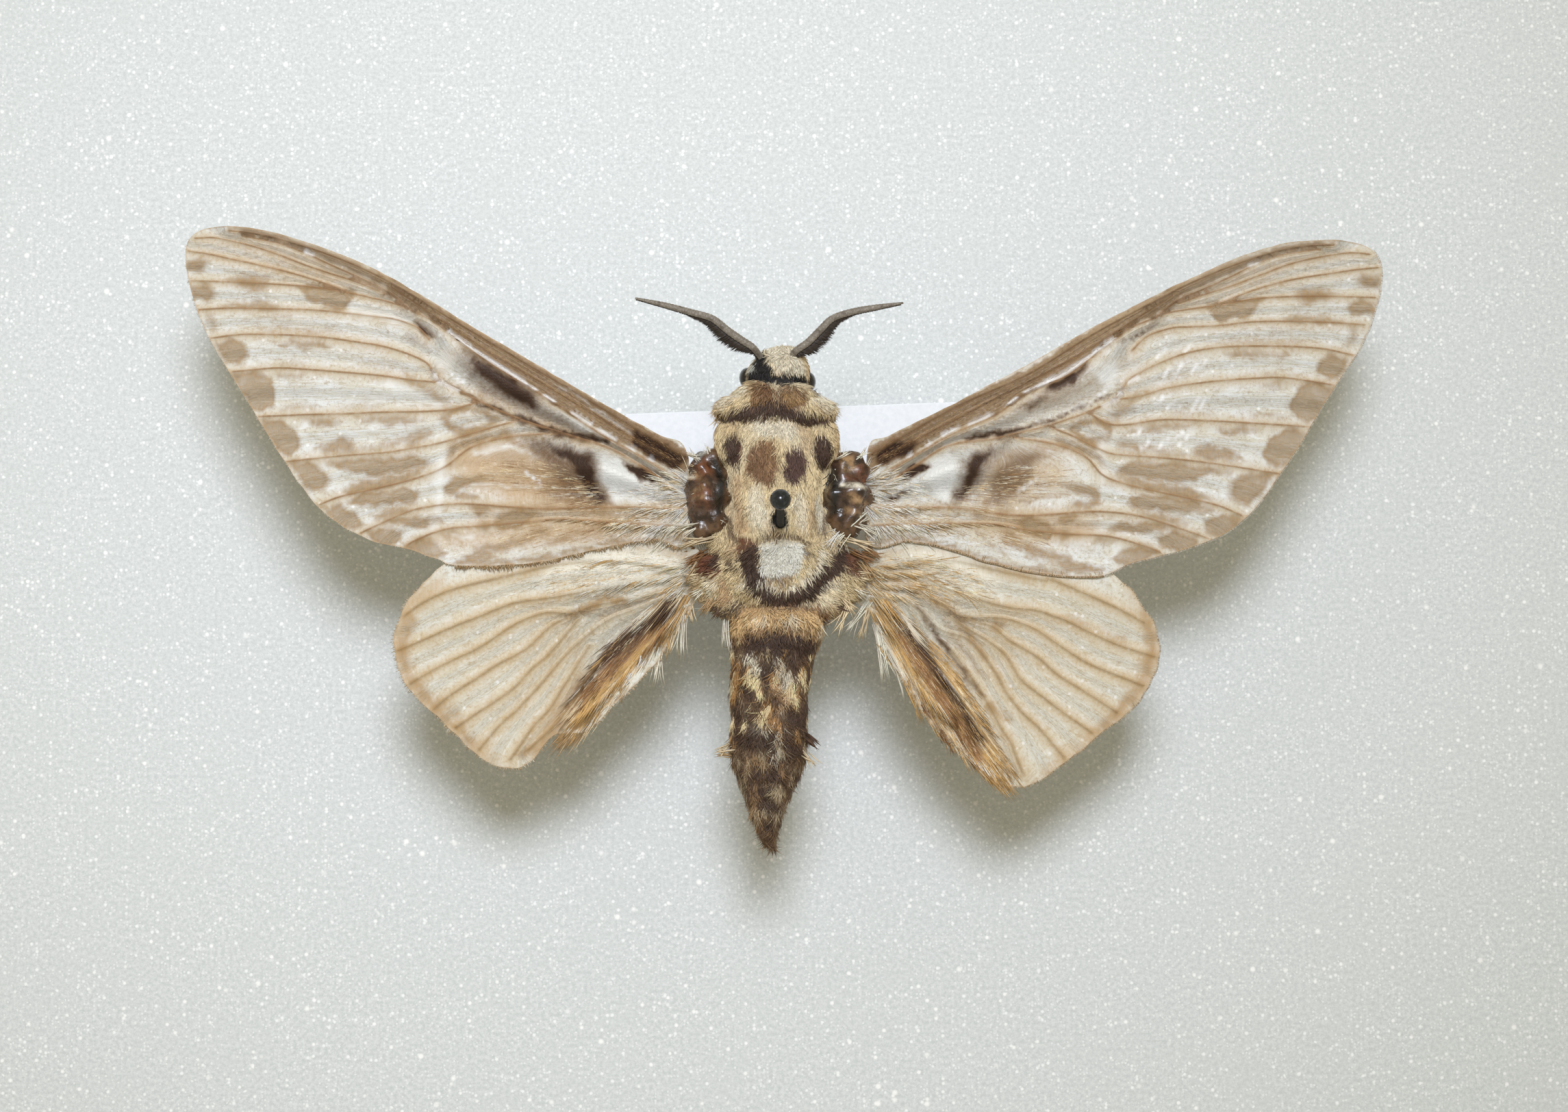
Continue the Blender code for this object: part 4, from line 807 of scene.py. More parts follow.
HIND_PAIRS = [
    (1006, 800, 1262, 800), (905, 795, 1380, 800), (790, 822, 1500, 834), (658, 822, 1612, 840),
    (598, 872, 1668, 885), (575, 935, 1692, 945), (596, 1000, 1675, 1003), (655, 1058, 1608, 1066),
    (722, 1110, 1525, 1128), (750, 1118, 1485, 1143), (845, 1066, 1415, 1100), (872, 1050, 1370, 1062),
    (925, 998, 1327, 1003), (970, 945, 1297, 945), (1002, 880, 1268, 884), (700, 851, 1533, 846),
    (620, 878, 1629, 886), (730, 887, 1540, 899), (660, 914, 1600, 925), (700, 943, 1545, 938),
    (660, 961, 1590, 966), (772, 942, 1475, 933), (700, 985, 1545, 982), (777, 973, 1470, 955),
    (724, 1020, 1523, 1014), (823, 957, 1417, 932), (775, 1012, 1470, 1008), (838, 894, 1405, 899),
    (906, 875, 1338, 856), (802, 1033, 1462, 1058), (880, 958, 1345, 950),
]


STIFFNESS = 1e-4
PLAN_UNIT = 500  # columns; the bending is solved in this unit to keep its numbers small


def like_points(pairs):
    """A smooth bending of the plan that takes each first point of the pairs to its second."""
    a = np.array(pairs, float)[:, :2] / PLAN_UNIT
    b = np.array(pairs, float)[:, 2:]
    count = len(pairs)

    def bend(distance):
        return np.where(distance > 0, distance**2 * np.log(np.maximum(distance, 1e-9)), 0.0)

    full = np.zeros((count + 3, count + 3))
    full[:count, :count] = bend(np.linalg.norm(a[:, None] - a[None], axis=2)) + STIFFNESS * np.eye(count)
    full[:count, count:] = np.concatenate([np.ones((count, 1)), a], 1)
    full[count:, :count] = full[:count, count:].T
    weights = np.linalg.solve(full, np.concatenate([b, np.zeros((3, 2))]))

    def move(point):
        p = np.array(point, float) / PLAN_UNIT
        bent = bend(np.linalg.norm(a - p, axis=1)) @ weights[:count]
        return tuple(bent + np.array([1, *p]) @ weights[count:])

    return move


fore_move = like_points(FORE_PAIRS)
hind_move = like_points(HIND_PAIRS)

# %% [markdown]
# The pattern of the forewing is laid down as strokes with a place and a half width, in the order
# in which the shader lays them over the pale film: half-moon spots on the margin, brown smudges
# along each cell, near-black patches behind the front stem, a golden fan, white hair at the root.

# %% Markings of the wings
FORE_MARKS = {
    "smudge": [
        (0.8, 9, [(264, 376), (290, 374), (300, 384), (286, 396), (266, 394)]),
        (1.0, 9, [(271, 416), (296, 410), (312, 428), (298, 437), (275, 432)]),
        (0.6, 9, [(292, 450), (308, 456), (316, 482), (304, 486)]),
        (1.0, 9, [(312, 500), (334, 494), (352, 502), (360, 520), (346, 532), (328, 530)]),
        (1.1, 9, [(336, 548), (366, 542), (390, 552), (400, 575), (396, 596), (380, 601), (360, 590),
            (348, 572)]),
        (1.1, 9, [(380, 616), (408, 614), (430, 630), (436, 650), (422, 666), (406, 660), (390, 640)]),
        (1.0, 10, [(424, 674), (448, 676), (474, 690), (480, 706), (472, 720), (452, 718), (436, 700)]),
        (1.0, 9, [(468, 740), (498, 741), (522, 752), (530, 768), (514, 777), (490, 768)]),
        (1.0, 8, [(538, 778), (564, 770), (590, 778), (586, 792), (568, 801), (548, 794)]),
        (1.0, 8, [(590, 798), (614, 788), (640, 796), (654, 810), (638, 818), (612, 812)]),
        (0.75, 12, [(324, 404), (350, 398), (386, 404), (390, 420), (372, 427), (342, 418)]),
        (1.1, 10, [(434, 418), (470, 418), (516, 426), (508, 444), (496, 453), (476, 446), (452, 442)]),
        (0.8, 10, [(316, 447), (345, 440), (384, 440), (404, 446), (400, 453), (350, 451)]),
        (0.5, 12, [(350, 457), (420, 461), (424, 467), (370, 465)]),
        (0.6, 12, [(366, 478), (420, 476), (478, 482), (500, 489), (450, 489), (390, 486)]),
        (0.85, 10, [(390, 497), (430, 499), (476, 500), (482, 508), (450, 511), (408, 506)]),
        (0.5, 12, [(370, 530), (410, 524), (444, 527), (442, 535), (400, 535)]),
        (0.45, 14, [(510, 532), (550, 526), (590, 532), (570, 540), (520, 538)]),
        (0.65, 11, [(392, 546), (420, 543), (442, 548), (438, 557), (408, 553)]),
        (0.65, 11, [(404, 595), (428, 588), (456, 592), (452, 600), (414, 600)]),
        (0.5, 13, [(495, 592), (540, 584), (566, 590), (540, 600), (500, 599)]),
        (0.8, 10, [(438, 612), (470, 611), (494, 617), (482, 628), (458, 621)]),
        (0.8, 10, [(516, 612), (560, 609), (606, 612), (622, 618), (590, 622), (540, 620)]),
        (0.9, 10, [(460, 656), (478, 644), (500, 641), (517, 648), (514, 659), (490, 663), (470, 662)]),
        (0.8, 12, [(516, 657), (560, 648), (598, 634), (624, 629), (634, 636), (620, 646), (576, 655),
            (540, 661)]),
        (1.0, 10, [(474, 677), (512, 671), (560, 671), (600, 667), (622, 671), (626, 679), (606, 687),
            (572, 694), (538, 697), (508, 688)]),
        (1.0, 10, [(498, 719), (520, 706), (560, 699), (598, 690), (626, 681), (614, 694), (590, 706),
            (556, 713), (520, 722)]),
        (1.1, 9, [(506, 734), (530, 722), (560, 717), (582, 724), (572, 738), (540, 740)]),
        (1.2, 9, [(566, 721), (590, 714), (608, 721), (610, 733), (594, 740), (576, 733)]),
        (0.85, 10, [(543, 754), (568, 742), (602, 740), (592, 751), (562, 762)]),
        (1.05, 9, [(560, 763), (600, 756), (640, 757), (648, 764), (630, 771), (586, 769)]),
        (0.75, 9, [(638, 781), (664, 775), (674, 782), (652, 787)]),
        (1.15, 8, [(684, 747), (700, 742), (720, 748), (700, 754)]),
        (0.75, 9, [(695, 769), (708, 761), (717, 770), (709, 779)]),
        (1.2, 11, [(720, 765), (740, 752), (762, 747), (786, 752), (772, 763), (752, 773), (730, 775)]),
        (1.0, 11, [(698, 802), (740, 792), (768, 780), (800, 768), (806, 776), (774, 792), (742, 805),
            (704, 810)]),
        (1.1, 9, [(678, 814), (700, 806), (726, 811), (704, 821), (684, 821)]),
        (1.0, 9, [(648, 613, 4), (658, 602, 5), (682, 598, 5), (708, 604, 5), (722, 614, 4), (704, 628, 5),
            (678, 635, 6), (656, 625, 5), (648, 613, 4)]),
        (0.45, 16, [(660, 608), (700, 606), (706, 622), (672, 626)]),
        (0.95, 9, [(656, 668, 4), (663, 655, 5), (700, 645, 5), (742, 634, 4)]),
        (1.05, 9, [(652, 712), (660, 702), (690, 696), (716, 699), (690, 708), (668, 716), (664, 722),
            (690, 722), (700, 728), (690, 734), (668, 732), (654, 724)]),
        (0.75, 16, [(586, 543), (612, 552), (650, 580), (660, 596), (640, 594), (606, 574)]),
        (0.95, 7, [(664, 822, 3), (720, 823, 4), (790, 818, 4), (850, 804, 3), (905, 791, 3), (950, 785, 3),
            (1000, 790, 3)]),
        (0.8, 6, [(800, 800, 2), (830, 780, 2), (860, 765, 2)]),
        (0.8, 6, [(905, 775, 2), (950, 760, 2), (975, 745, 2)]),
        (0.7, 6, [(935, 735, 2), (960, 722, 2), (990, 715, 2)]),
        (0.6, 8, [(770, 815, 3), (820, 790, 3), (850, 785, 2)]), (0.45, 26, [(400, 392, 6), (470, 398, 6)]),
    ],
    "dark": [
        (0.62, 22, [(660, 500), (700, 517), (745, 544), (790, 582), (830, 608), (884, 642), (860, 646),
            (800, 628), (750, 610), (712, 590), (680, 566), (664, 532)]),
        (1.15, 22, [(674, 509), (700, 518), (728, 536), (756, 554), (776, 572), (794, 594), (786, 604),
            (756, 594), (730, 580), (702, 560), (682, 536)]),
        (1.0, 7, [(640, 552, 1), (668, 570, 2), (700, 590, 4), (740, 606, 5), (790, 625, 6), (830, 636, 6),
            (886, 644, 5)]),
        (0.5, 12, [(546, 436, 3), (572, 449, 5), (594, 462, 5), (630, 488, 5)]),
        (1.1, 10, [(604, 472, 3), (618, 482, 6), (630, 492, 4)]),
        (0.55, 12, [(584, 484), (600, 484), (624, 500), (630, 516), (612, 514), (594, 502)]),
        (0.72, 22, [(744, 630), (800, 638), (840, 654), (872, 662), (880, 690), (882, 715), (902, 740),
            (872, 752), (832, 742), (812, 712), (796, 688), (770, 662)]),
        (1.15, 20, [(792, 642), (836, 655), (866, 663), (873, 690), (877, 712), (894, 737), (870, 744),
            (850, 724), (842, 700), (826, 680), (804, 664)]),
        (0.5, 6, [(878, 728, 2), (905, 720, 3), (940, 712, 3), (968, 706, 2)]),
        (0.5, 6, [(940, 726, 2), (988, 742, 3)]), (0.4, 6, [(900, 790, 2), (930, 776, 3), (962, 762, 2)]),
        (0.45, 6, [(830, 742, 2), (880, 752, 4), (930, 742, 2)]),
        (1.3, 8, [(906, 672), (930, 679), (960, 691), (972, 697), (954, 704), (934, 702), (920, 690)]),
        (1.2, 12, [(920, 626), (950, 636), (985, 656), (1004, 670), (996, 686), (964, 678), (938, 664),
            (922, 646)]),
        (0.6, 5, [(380, 337, 1), (480, 366, 2), (540, 391, 2), (600, 426, 4), (640, 450, 5), (680, 476, 3),
            (780, 535, 2), (880, 593, 2), (990, 655, 2)]),
    ],
    "costa": [
        (1.1, 7, [(540, 389), (600, 422), (680, 471), (780, 530), (880, 588), (1006, 659), (1006, 692),
            (950, 672), (890, 638), (830, 604), (760, 560), (700, 520), (660, 492), (620, 462), (590, 446),
            (560, 426)]),
        (0.75, 10, [(300, 326), (370, 330), (420, 344), (480, 364), (560, 400), (580, 430), (540, 414),
            (480, 384), (440, 368), (400, 352), (350, 341)]),
        (0.5, 26, [(640, 462, 14), (540, 414, 14), (470, 388, 13), (400, 365, 11), (320, 352, 8)]),
    ],
    "tan": [
        (0.7, 14, [(690, 562), (720, 572), (780, 604), (860, 634), (850, 638), (780, 618), (720, 594),
            (690, 578)]),
        (0.8, 16, [(640, 545, 9), (655, 520, 10)]),
        (1.1, 34, [(690, 680, 30), (760, 700, 44), (830, 715, 36), (880, 752, 22)]),
        (0.9, 18, [(800, 622, 10), (860, 646, 10)]),
        (0.8, 24, [(700, 760, 14), (780, 766, 18), (860, 770, 20)]),
        (0.9, 26, [(640, 790, 12), (720, 790, 18), (800, 778, 24), (900, 768, 26), (985, 750, 22)]),
        (0.6, 30, [(300, 365, 10), (400, 388, 16), (500, 412, 16)]),
        (0.35, 40, [(420, 470, 30), (560, 520, 30)]),
    ],
    "fan": [
        (0.85, 26, [(790, 690), (830, 690), (850, 712), (870, 735), (880, 745), (840, 748), (790, 742),
            (770, 715)]),
        (0.75, 30, [(700, 665, 14), (760, 680, 24), (800, 690, 24)]),
        (0.9, 12, [(742, 642, 4), (800, 668, 7), (850, 692, 8)]),
        (0.9, 11, [(700, 710, 4), (780, 714, 6), (850, 720, 10)]),
        (0.8, 11, [(655, 680, 3), (720, 676, 4), (800, 688, 6)]),
        (0.8, 13, [(690, 742, 5), (780, 744, 7), (860, 742, 10)]),
        (0.85, 20, [(800, 792, 8), (870, 776, 12), (960, 752, 12)]),
        (0.6, 22, [(640, 792, 6), (740, 780, 8)]),
    ],
    "white": [
        (1.15, 18, [(880, 662), (905, 668), (930, 692), (962, 706), (958, 714), (928, 720), (900, 736),
            (886, 722), (876, 700), (870, 680)]),
        (0.6, 6, [(800, 556, 2), (850, 584, 4), (900, 620, 5), (938, 646, 3)]),
        (0.9, 8, [(808, 600, 2), (826, 610, 5), (848, 622, 6), (878, 638, 3)]),
        (0.7, 18, [(628, 522), (650, 502), (664, 520), (668, 540), (650, 548), (634, 545)]),
        (0.75, 20, [(648, 640, 8), (642, 690, 13), (640, 740, 10), (632, 775, 8)]),
        (0.7, 20, [(930, 728, 14), (1000, 714, 14)]), (0.6, 18, [(940, 764, 10), (1000, 766, 16)]),
        (0.8, 18, [(512, 452, 9), (592, 470, 11)]), (0.8, 18, [(560, 565, 9), (640, 592, 7)]),
        (0.7, 18, [(440, 578, 8), (560, 582, 8)]), (0.7, 16, [(470, 638, 4), (540, 632, 5), (600, 626, 4)]),
        (0.8, 9, [(690, 662, 4), (740, 654, 5), (790, 668, 3)]),
        (0.8, 9, [(690, 708, 3), (740, 710, 4), (790, 712, 2)]), (0.7, 8, [(768, 692, 2), (790, 708, 2)]),
        (0.6, 18, [(366, 505, 6), (408, 560, 8), (420, 605, 8), (450, 650, 8), (488, 700, 8), (504, 735, 7),
            (544, 765, 6), (600, 782, 4)]),
        (0.8, 8, [(362, 528, 4), (372, 536, 3)]), (0.8, 10, [(660, 784, 4), (690, 788, 6)]),
    ],
}
FORE_OWN_RIGHT = {
    "dark": [
        (1.05, 12, [(1523, 577), (1530, 563), (1556, 548), (1588, 530), (1593, 538), (1577, 556),
            (1559, 570), (1541, 576)]),
        (0.5, 24, [(1500, 592), (1530, 566), (1590, 530), (1606, 540), (1570, 580), (1530, 598),
            (1506, 604)]),
        (0.85, 10, [(1494, 598), (1519, 577), (1530, 586), (1505, 604)]),
        (0.9, 7, [(1640, 502, 2), (1665, 489, 4), (1690, 472, 3)]),
        (0.6, 9, [(1600, 514, 2), (1640, 494, 3)]),
        (1.0, 7, [(1411, 640, 5), (1460, 636, 5), (1498, 627, 4), (1570, 602, 3), (1640, 572, 2)]),
        (0.55, 5, [(1294, 740, 2), (1308, 764, 2), (1330, 786, 2), (1360, 800, 3), (1386, 812, 3)]),
        (0.6, 5, [(1284, 800, 4), (1310, 796, 3), (1340, 796, 1)]),
        (0.6, 5, [(1400, 806, 2), (1432, 822, 3)]),
        (0.6, 5, [(1364, 734, 2), (1398, 747, 3), (1442, 758, 2)]),
        (0.5, 5, [(1516, 750, 2), (1590, 752, 3), (1660, 762, 2)]),
        (0.45, 6, [(1476, 756, 2), (1494, 752, 2)]), (0.5, 7, [(1520, 768, 3), (1552, 774, 2)]),
        (0.7, 8, [(1484, 598, 4), (1530, 582, 6)]),
        (0.45, 6, [(1340, 668, 2), (1384, 660, 3), (1440, 648, 3)]),
        (1.2, 12, [(1276, 662), (1300, 645), (1332, 640), (1348, 646), (1326, 666), (1300, 676),
            (1280, 680)]),
        (1.3, 7, [(1310, 694), (1334, 679), (1362, 674), (1349, 690), (1324, 702)]),
        (1.0, 7, [(1293, 728), (1320, 714), (1338, 711), (1324, 720), (1302, 736)]),
        (0.7, 20, [(1380, 742), (1396, 712), (1404, 672), (1425, 656), (1480, 640), (1470, 664),
            (1448, 690), (1436, 722), (1404, 742)]),
        (1.15, 18, [(1389, 734), (1400, 714), (1410, 692), (1407, 674), (1425, 661), (1450, 654),
            (1454, 666), (1436, 684), (1428, 706), (1418, 724), (1402, 738)]),
    ],
    "tan": [
        (0.95, 34, [(1440, 762, 18), (1500, 768, 26), (1580, 772, 20)]),
        (0.8, 34, [(1470, 700, 30), (1540, 696, 26)]),
        (0.8, 26, [(1400, 632, 8), (1460, 612, 12), (1540, 584, 14), (1600, 560, 10)]),
        (0.7, 24, [(1300, 760, 16), (1380, 762, 16)]), (0.6, 26, [(1620, 545, 16), (1660, 520, 10)]),
        (0.5, 30, [(1640, 400, 20), (1760, 376, 20)]),
    ],
    "fan": [
        (0.95, 26, [(1432, 752), (1427, 712), (1447, 677), (1476, 656), (1519, 648), (1534, 661),
            (1519, 697), (1496, 733), (1470, 752)]),
        (0.9, 9, [(1424, 746, 4), (1470, 706, 6), (1520, 672, 6), (1560, 655, 3)]),
        (0.9, 9, [(1424, 752, 4), (1480, 732, 6), (1560, 724, 4)]),
        (0.7, 14, [(1440, 776, 6), (1540, 778, 8), (1600, 770, 5)]),
        (0.7, 10, [(1556, 596, 5), (1606, 574, 4)]), (0.6, 14, [(1460, 800, 5), (1560, 796, 5)]),
    ],
    "white": [
        (1.1, 18, [(1352, 672), (1385, 658), (1402, 668), (1404, 690), (1396, 712), (1384, 732),
            (1362, 724), (1350, 702)]),
        (1.0, 14, [(1600, 545), (1625, 526), (1642, 538), (1630, 560), (1605, 566)]),
        (0.7, 22, [(1616, 640, 10), (1608, 700, 12)]), (0.6, 20, [(1630, 760, 8), (1560, 812, 6)]),
        (0.9, 7, [(1380, 650, 2), (1440, 622, 3), (1490, 600, 2)]),
        (0.6, 18, [(1912, 520, 6), (1870, 575, 8), (1858, 620, 8), (1826, 664, 8), (1790, 712, 8),
            (1740, 756, 7), (1676, 784, 5)]),
    ],
}
HIND_MARKS_LEFT = {
    "smudge": [
        (0.75, 18, [(640, 1020, 7), (668, 1040, 6)]),
        (1.0, 11, [(912, 877, 3), (888, 873, 5), (863, 884, 6), (834, 897, 4)]),
        (0.7, 16, [(600, 905, 7), (586, 945, 7), (602, 992, 7), (640, 1034, 8), (690, 1080, 7)]),
        (0.8, 18, [(850, 1020, 7), (815, 1062, 8), (785, 1096, 6)]),
        (0.8, 12, [(762, 1098, 6), (780, 1088, 5)]),
    ],
    "dark": [
        (1.0, 15, [(985, 872, 6), (955, 898, 12), (925, 925, 15), (895, 955, 15), (868, 985, 12),
            (838, 1016, 6)]),
    ],
    "costa": [],
    "tan": [
        (0.95, 20, [(640, 850, 9), (598, 880, 12), (580, 930, 13), (596, 992, 13), (648, 1047, 12),
            (720, 1106, 9)]),
        (0.9, 18, [(850, 985, 10), (820, 1030, 12), (786, 1088, 12)]),
        (0.9, 10, [(905, 1017, 9), (862, 1018, 10)]),
        (0.8, 20, [(990, 850, 10), (930, 878, 10), (880, 900, 10)]),
        (0.75, 12, [(900, 806, 5), (960, 800, 6), (1010, 815, 10)]),
    ],
    "fan": [
        (1.0, 14, [(975, 895, 6), (940, 940, 9), (905, 985, 10), (870, 1020, 10)]),
        (0.9, 10, [(905, 1014, 7), (862, 1022, 8)]), (0.6, 16, [(850, 990, 8), (800, 1060, 9)]),
    ],
    "white": [
        (0.9, 26, [(800, 836, 12), (850, 824, 20), (905, 822, 24), (985, 826, 16)]),
        (0.45, 24, [(690, 860, 14), (780, 866, 12)]), (0.8, 12, [(934, 972, 6), (912, 1000, 6)]),
    ],
}
HIND_MARKS_RIGHT = {
    "smudge": [
        (0.9, 11, [(1396, 903, 3), (1417, 927, 5), (1438, 954, 3)]),
        (0.9, 11, [(1339, 858, 3), (1366, 874, 4), (1394, 895, 4), (1424, 906, 3)]),
        (0.9, 9, [(1452, 909, 5), (1460, 913, 5)]), (0.8, 10, [(1445, 1028, 5), (1474, 1046, 5)]),
        (0.7, 16, [(1672, 890, 6), (1684, 945, 7), (1664, 1002, 8), (1608, 1060, 7)]),
        (0.6, 18, [(1560, 900, 5), (1640, 935, 6)]),
    ],
    "dark": [
        (1.0, 11, [(1286, 874, 4), (1306, 894, 6), (1325, 918, 7), (1346, 944, 8), (1366, 972, 7),
            (1384, 999, 8), (1404, 1030, 7), (1419, 1055, 6), (1434, 1080, 5)]),
        (0.9, 10, [(1339, 881, 3), (1358, 910, 5), (1388, 955, 6), (1409, 983, 5), (1434, 1009, 4)]),
        (0.85, 9, [(1349, 957, 3), (1362, 992, 4)]), (0.95, 10, [(1371, 1053, 6), (1394, 1088, 6)]),
    ],
    "costa": [],
    "tan": [
        (0.95, 20, [(1650, 860, 8), (1674, 885, 11), (1686, 942, 13), (1668, 1004, 13), (1608, 1062, 11),
            (1530, 1124, 9)]),
        (1.0, 22, [(1285, 890, 12), (1330, 950, 26), (1370, 1010, 30), (1412, 1076, 24)]),
        (0.8, 18, [(1290, 830, 12), (1360, 870, 14), (1404, 896, 10)]),
        (0.6, 18, [(1450, 1090, 12), (1480, 1130, 8)]),
        (0.75, 12, [(1270, 812, 8), (1330, 802, 6), (1400, 812, 5)]),
    ],
    "fan": [
        (1.0, 14, [(1284, 900, 5), (1310, 950, 9), (1345, 1010, 12), (1390, 1075, 11)]),
        (0.9, 13, [(1330, 905, 5), (1372, 960, 9), (1405, 1010, 9), (1440, 1075, 8)]),
        (0.8, 13, [(1380, 900, 6), (1410, 950, 7), (1440, 985, 6)]),
    ],
    "white": [
        (0.8, 26, [(1330, 806, 12), (1400, 822, 18), (1450, 850, 14)]),
        (0.8, 10, [(1290, 925, 4), (1304, 990, 4)]),
    ],
}
# Painted highlights: short white dashes on the right forewing where its film catches the light.
PAINTED_GLINTS_RIGHT = [
    (1692, 523, 1705, 508), (1700, 552, 1712, 538), (1716, 549, 1728, 534), (1732, 515, 1744, 502),
    (1742, 545, 1752, 531), (1752, 541, 1762, 527), (1688, 594, 1700, 582), (1706, 598, 1716, 588),
    (1740, 600, 1752, 584), (1754, 596, 1766, 582), (1692, 655, 1708, 640), (1712, 645, 1728, 633),
    (1722, 652, 1742, 634), (1668, 657, 1680, 645), (1650, 560, 1664, 552), (1656, 640, 1668, 630),
]

# %% [markdown]
# The vane is built flat first: points on its outline, on both flanks of every vein and in an even
# net between, joined by a constrained triangulation so that edges run along the veins. Both
# faces take the same triangles and rise on the veins, and a thin wall closes the rim. Two more
# numbers, the way out from the root and the place between veins, carry streaks along the cells.

# %% Building a vane
SOFTER = {"smudge": 1.7, "fan": 1.6, "tan": 1.7, "dark": 1.35, "white": 1.3}
VANE_STEP = 0.24 * MM
VANE_THICK = 0.10 * MM
WANDER = ((0.2, 0.8), (0.4, 0.8), (0.6, 0.32), (0.8, 0.32))  # layers of noise that bend the markings


ARCH_START, ARCH_LONG = 6.0, 34.0  # the wing's arch, in mm from the middle of the body
RIDGE_SLOPE, RIDGE_Y = 0.42, 4.0 * MM  # the line along the wing behind which it falls away


def wing_height(x, y):
    """The height of the forewing's middle surface; the hindwing follows it lower down."""
    out = min(1.0, max(0.0, (abs(x) / MM - ARCH_START) / ARCH_LONG))
    behind = (abs(x) * RIDGE_SLOPE + RIDGE_Y - y) / (10 * MM)
    return WING_Z + WING_BOW * math.sin(math.pi * out) - WING_DROP * behind * abs(behind)


def spread(given, points, gap):
    """Those of the points that keep a gap to the given ones, found through a coarse net of boxes."""
    boxes = {}
    for p in given:
        boxes.setdefault((int(p[0] // gap), int(p[1] // gap)), []).append(p)
    good = []
    for p in points:
        i, j = int(p[0] // gap), int(p[1] // gap)
        near = [q for a in (i - 1, i, i + 1) for b in (j - 1, j, j + 1) for q in boxes.get((a, b), [])]
        if not near or min((q[0] - p[0]) ** 2 + (q[1] - p[1]) ** 2 for q in near) > gap * gap:
            good.append(p)
    return good


HIND_RISE = 0.85 * MM  # the dried hindwing clings this much closer under the hind edge of the forewing
UNDER_EDGE = [(656, 826), (720, 827), (790, 822), (850, 808), (905, 795), (960, 788), (1021, 790)]
CLING_FULL, CLING_NONE = 10, 150  # columns away from that edge


def hind_drop(points):
    """How far the hindwing hangs under the forewing's surface at places in the plan."""
    at = np.abs(on_grid(points) - (MID_COLUMN, 0)) * (-1, 1) + (MID_COLUMN, 0)
    away = distance_to(np.array(UNDER_EDGE, float), at)
    return HIND_DROP - HIND_RISE * (1 - ease(away, CLING_FULL, CLING_NONE))


def ripple(x, y):
    """Slow waves of the dried film, in metres."""
    return 0.10 * MM * lump((x, y, 0), 4.5) + 0.035 * MM * lump((x * 1.1, y, 0.01), 1.6)


FLANKS = (0.0, 0.11 * MM, -0.11 * MM, 0.24 * MM, -0.24 * MM)  # rows of points beside each vein
RIM_GAP, VEIN_GAP, FLANK_GAP = 0.12 * MM, 0.12 * MM, 0.30 * MM


def plan_of(outline, veins, rag):
    """The triangulated plan of a vane, with its ring and veins in metres."""
    ring = smooth_line([grid_point(*p) for p in outline], VANE_STEP, closed=True)
    run = np.roll(ring, -1, 0) - np.roll(ring, 1, 0)
    out = np.stack([run[:, 1], -run[:, 0]], 1) / np.linalg.norm(run, axis=1)[:, None]
    ring = ring + out * np.array([[rag * lump((x, y, 0.5), 0.9)] for x, y in ring])
    rim = np.concatenate([ring, ring[:1]])
    lines = [smooth_line([grid_point(*p) for p in vein], VANE_STEP) for vein in veins]
    points, edges = [tuple(p) for p in ring], []
    for n, line in enumerate(lines):
        run = np.gradient(line, axis=0)
        run /= np.linalg.norm(run, axis=1)[:, None]
        across = np.stack([-run[:, 1], run[:, 0]], 1)
        for offset in FLANKS:
            track = line + across * offset
            good = inside(track, ring) & (distance_to(rim, track) > RIM_GAP)
            for m, other in enumerate(lines):
                if m != n and (offset or m < n):
                    good &= distance_to(other, track) > (FLANK_GAP if offset else VEIN_GAP)
            held = None
            for ok, point in zip(good, track):
                if ok:
                    points.append(tuple(point))
                    if held is not None:
                        edges.append((held, len(points) - 1))
                held = len(points) - 1 if ok else None
    low, high = ring.min(0), ring.max(0)
    tall = VANE_STEP * 0.87
    net = []
    for j in range(int((high[1] - low[1]) / tall) + 1):
        for i in range(int((high[0] - low[0]) / VANE_STEP) + 2):
            net.append((low[0] + (i + 0.5 * (j % 2)) * VANE_STEP, low[1] + j * tall))
    net = np.array(net)
    net = net[inside(net, ring)]
    net = net[distance_to(rim, net) > 0.6 * VANE_STEP]
    points += spread(points, [tuple(p) for p in net], 0.62 * VANE_STEP)
    flat = [Vector((x / MM, y / MM)) for x, y in points]
    verts, _, faces, *_ = delaunay_2d_cdt(flat, edges, [list(range(len(ring)))], 1, 1e-5)
    return np.array([(v.x * MM, v.y * MM) for v in verts]), faces, ring, lines


VEIN_R, VEIN_R_MORE, VEIN_FADE = 0.15, 0.13, 9 * MM  # veins are thicker by some towards the root
SAG, SAG_FROM, SAG_TO = 0.09 * MM, 0.1 * MM, 0.9 * MM  # the film sinks between its veins
PAINTED_GLINT_R, PAINTED_GLINT_SOFT = 1.6, 3.0


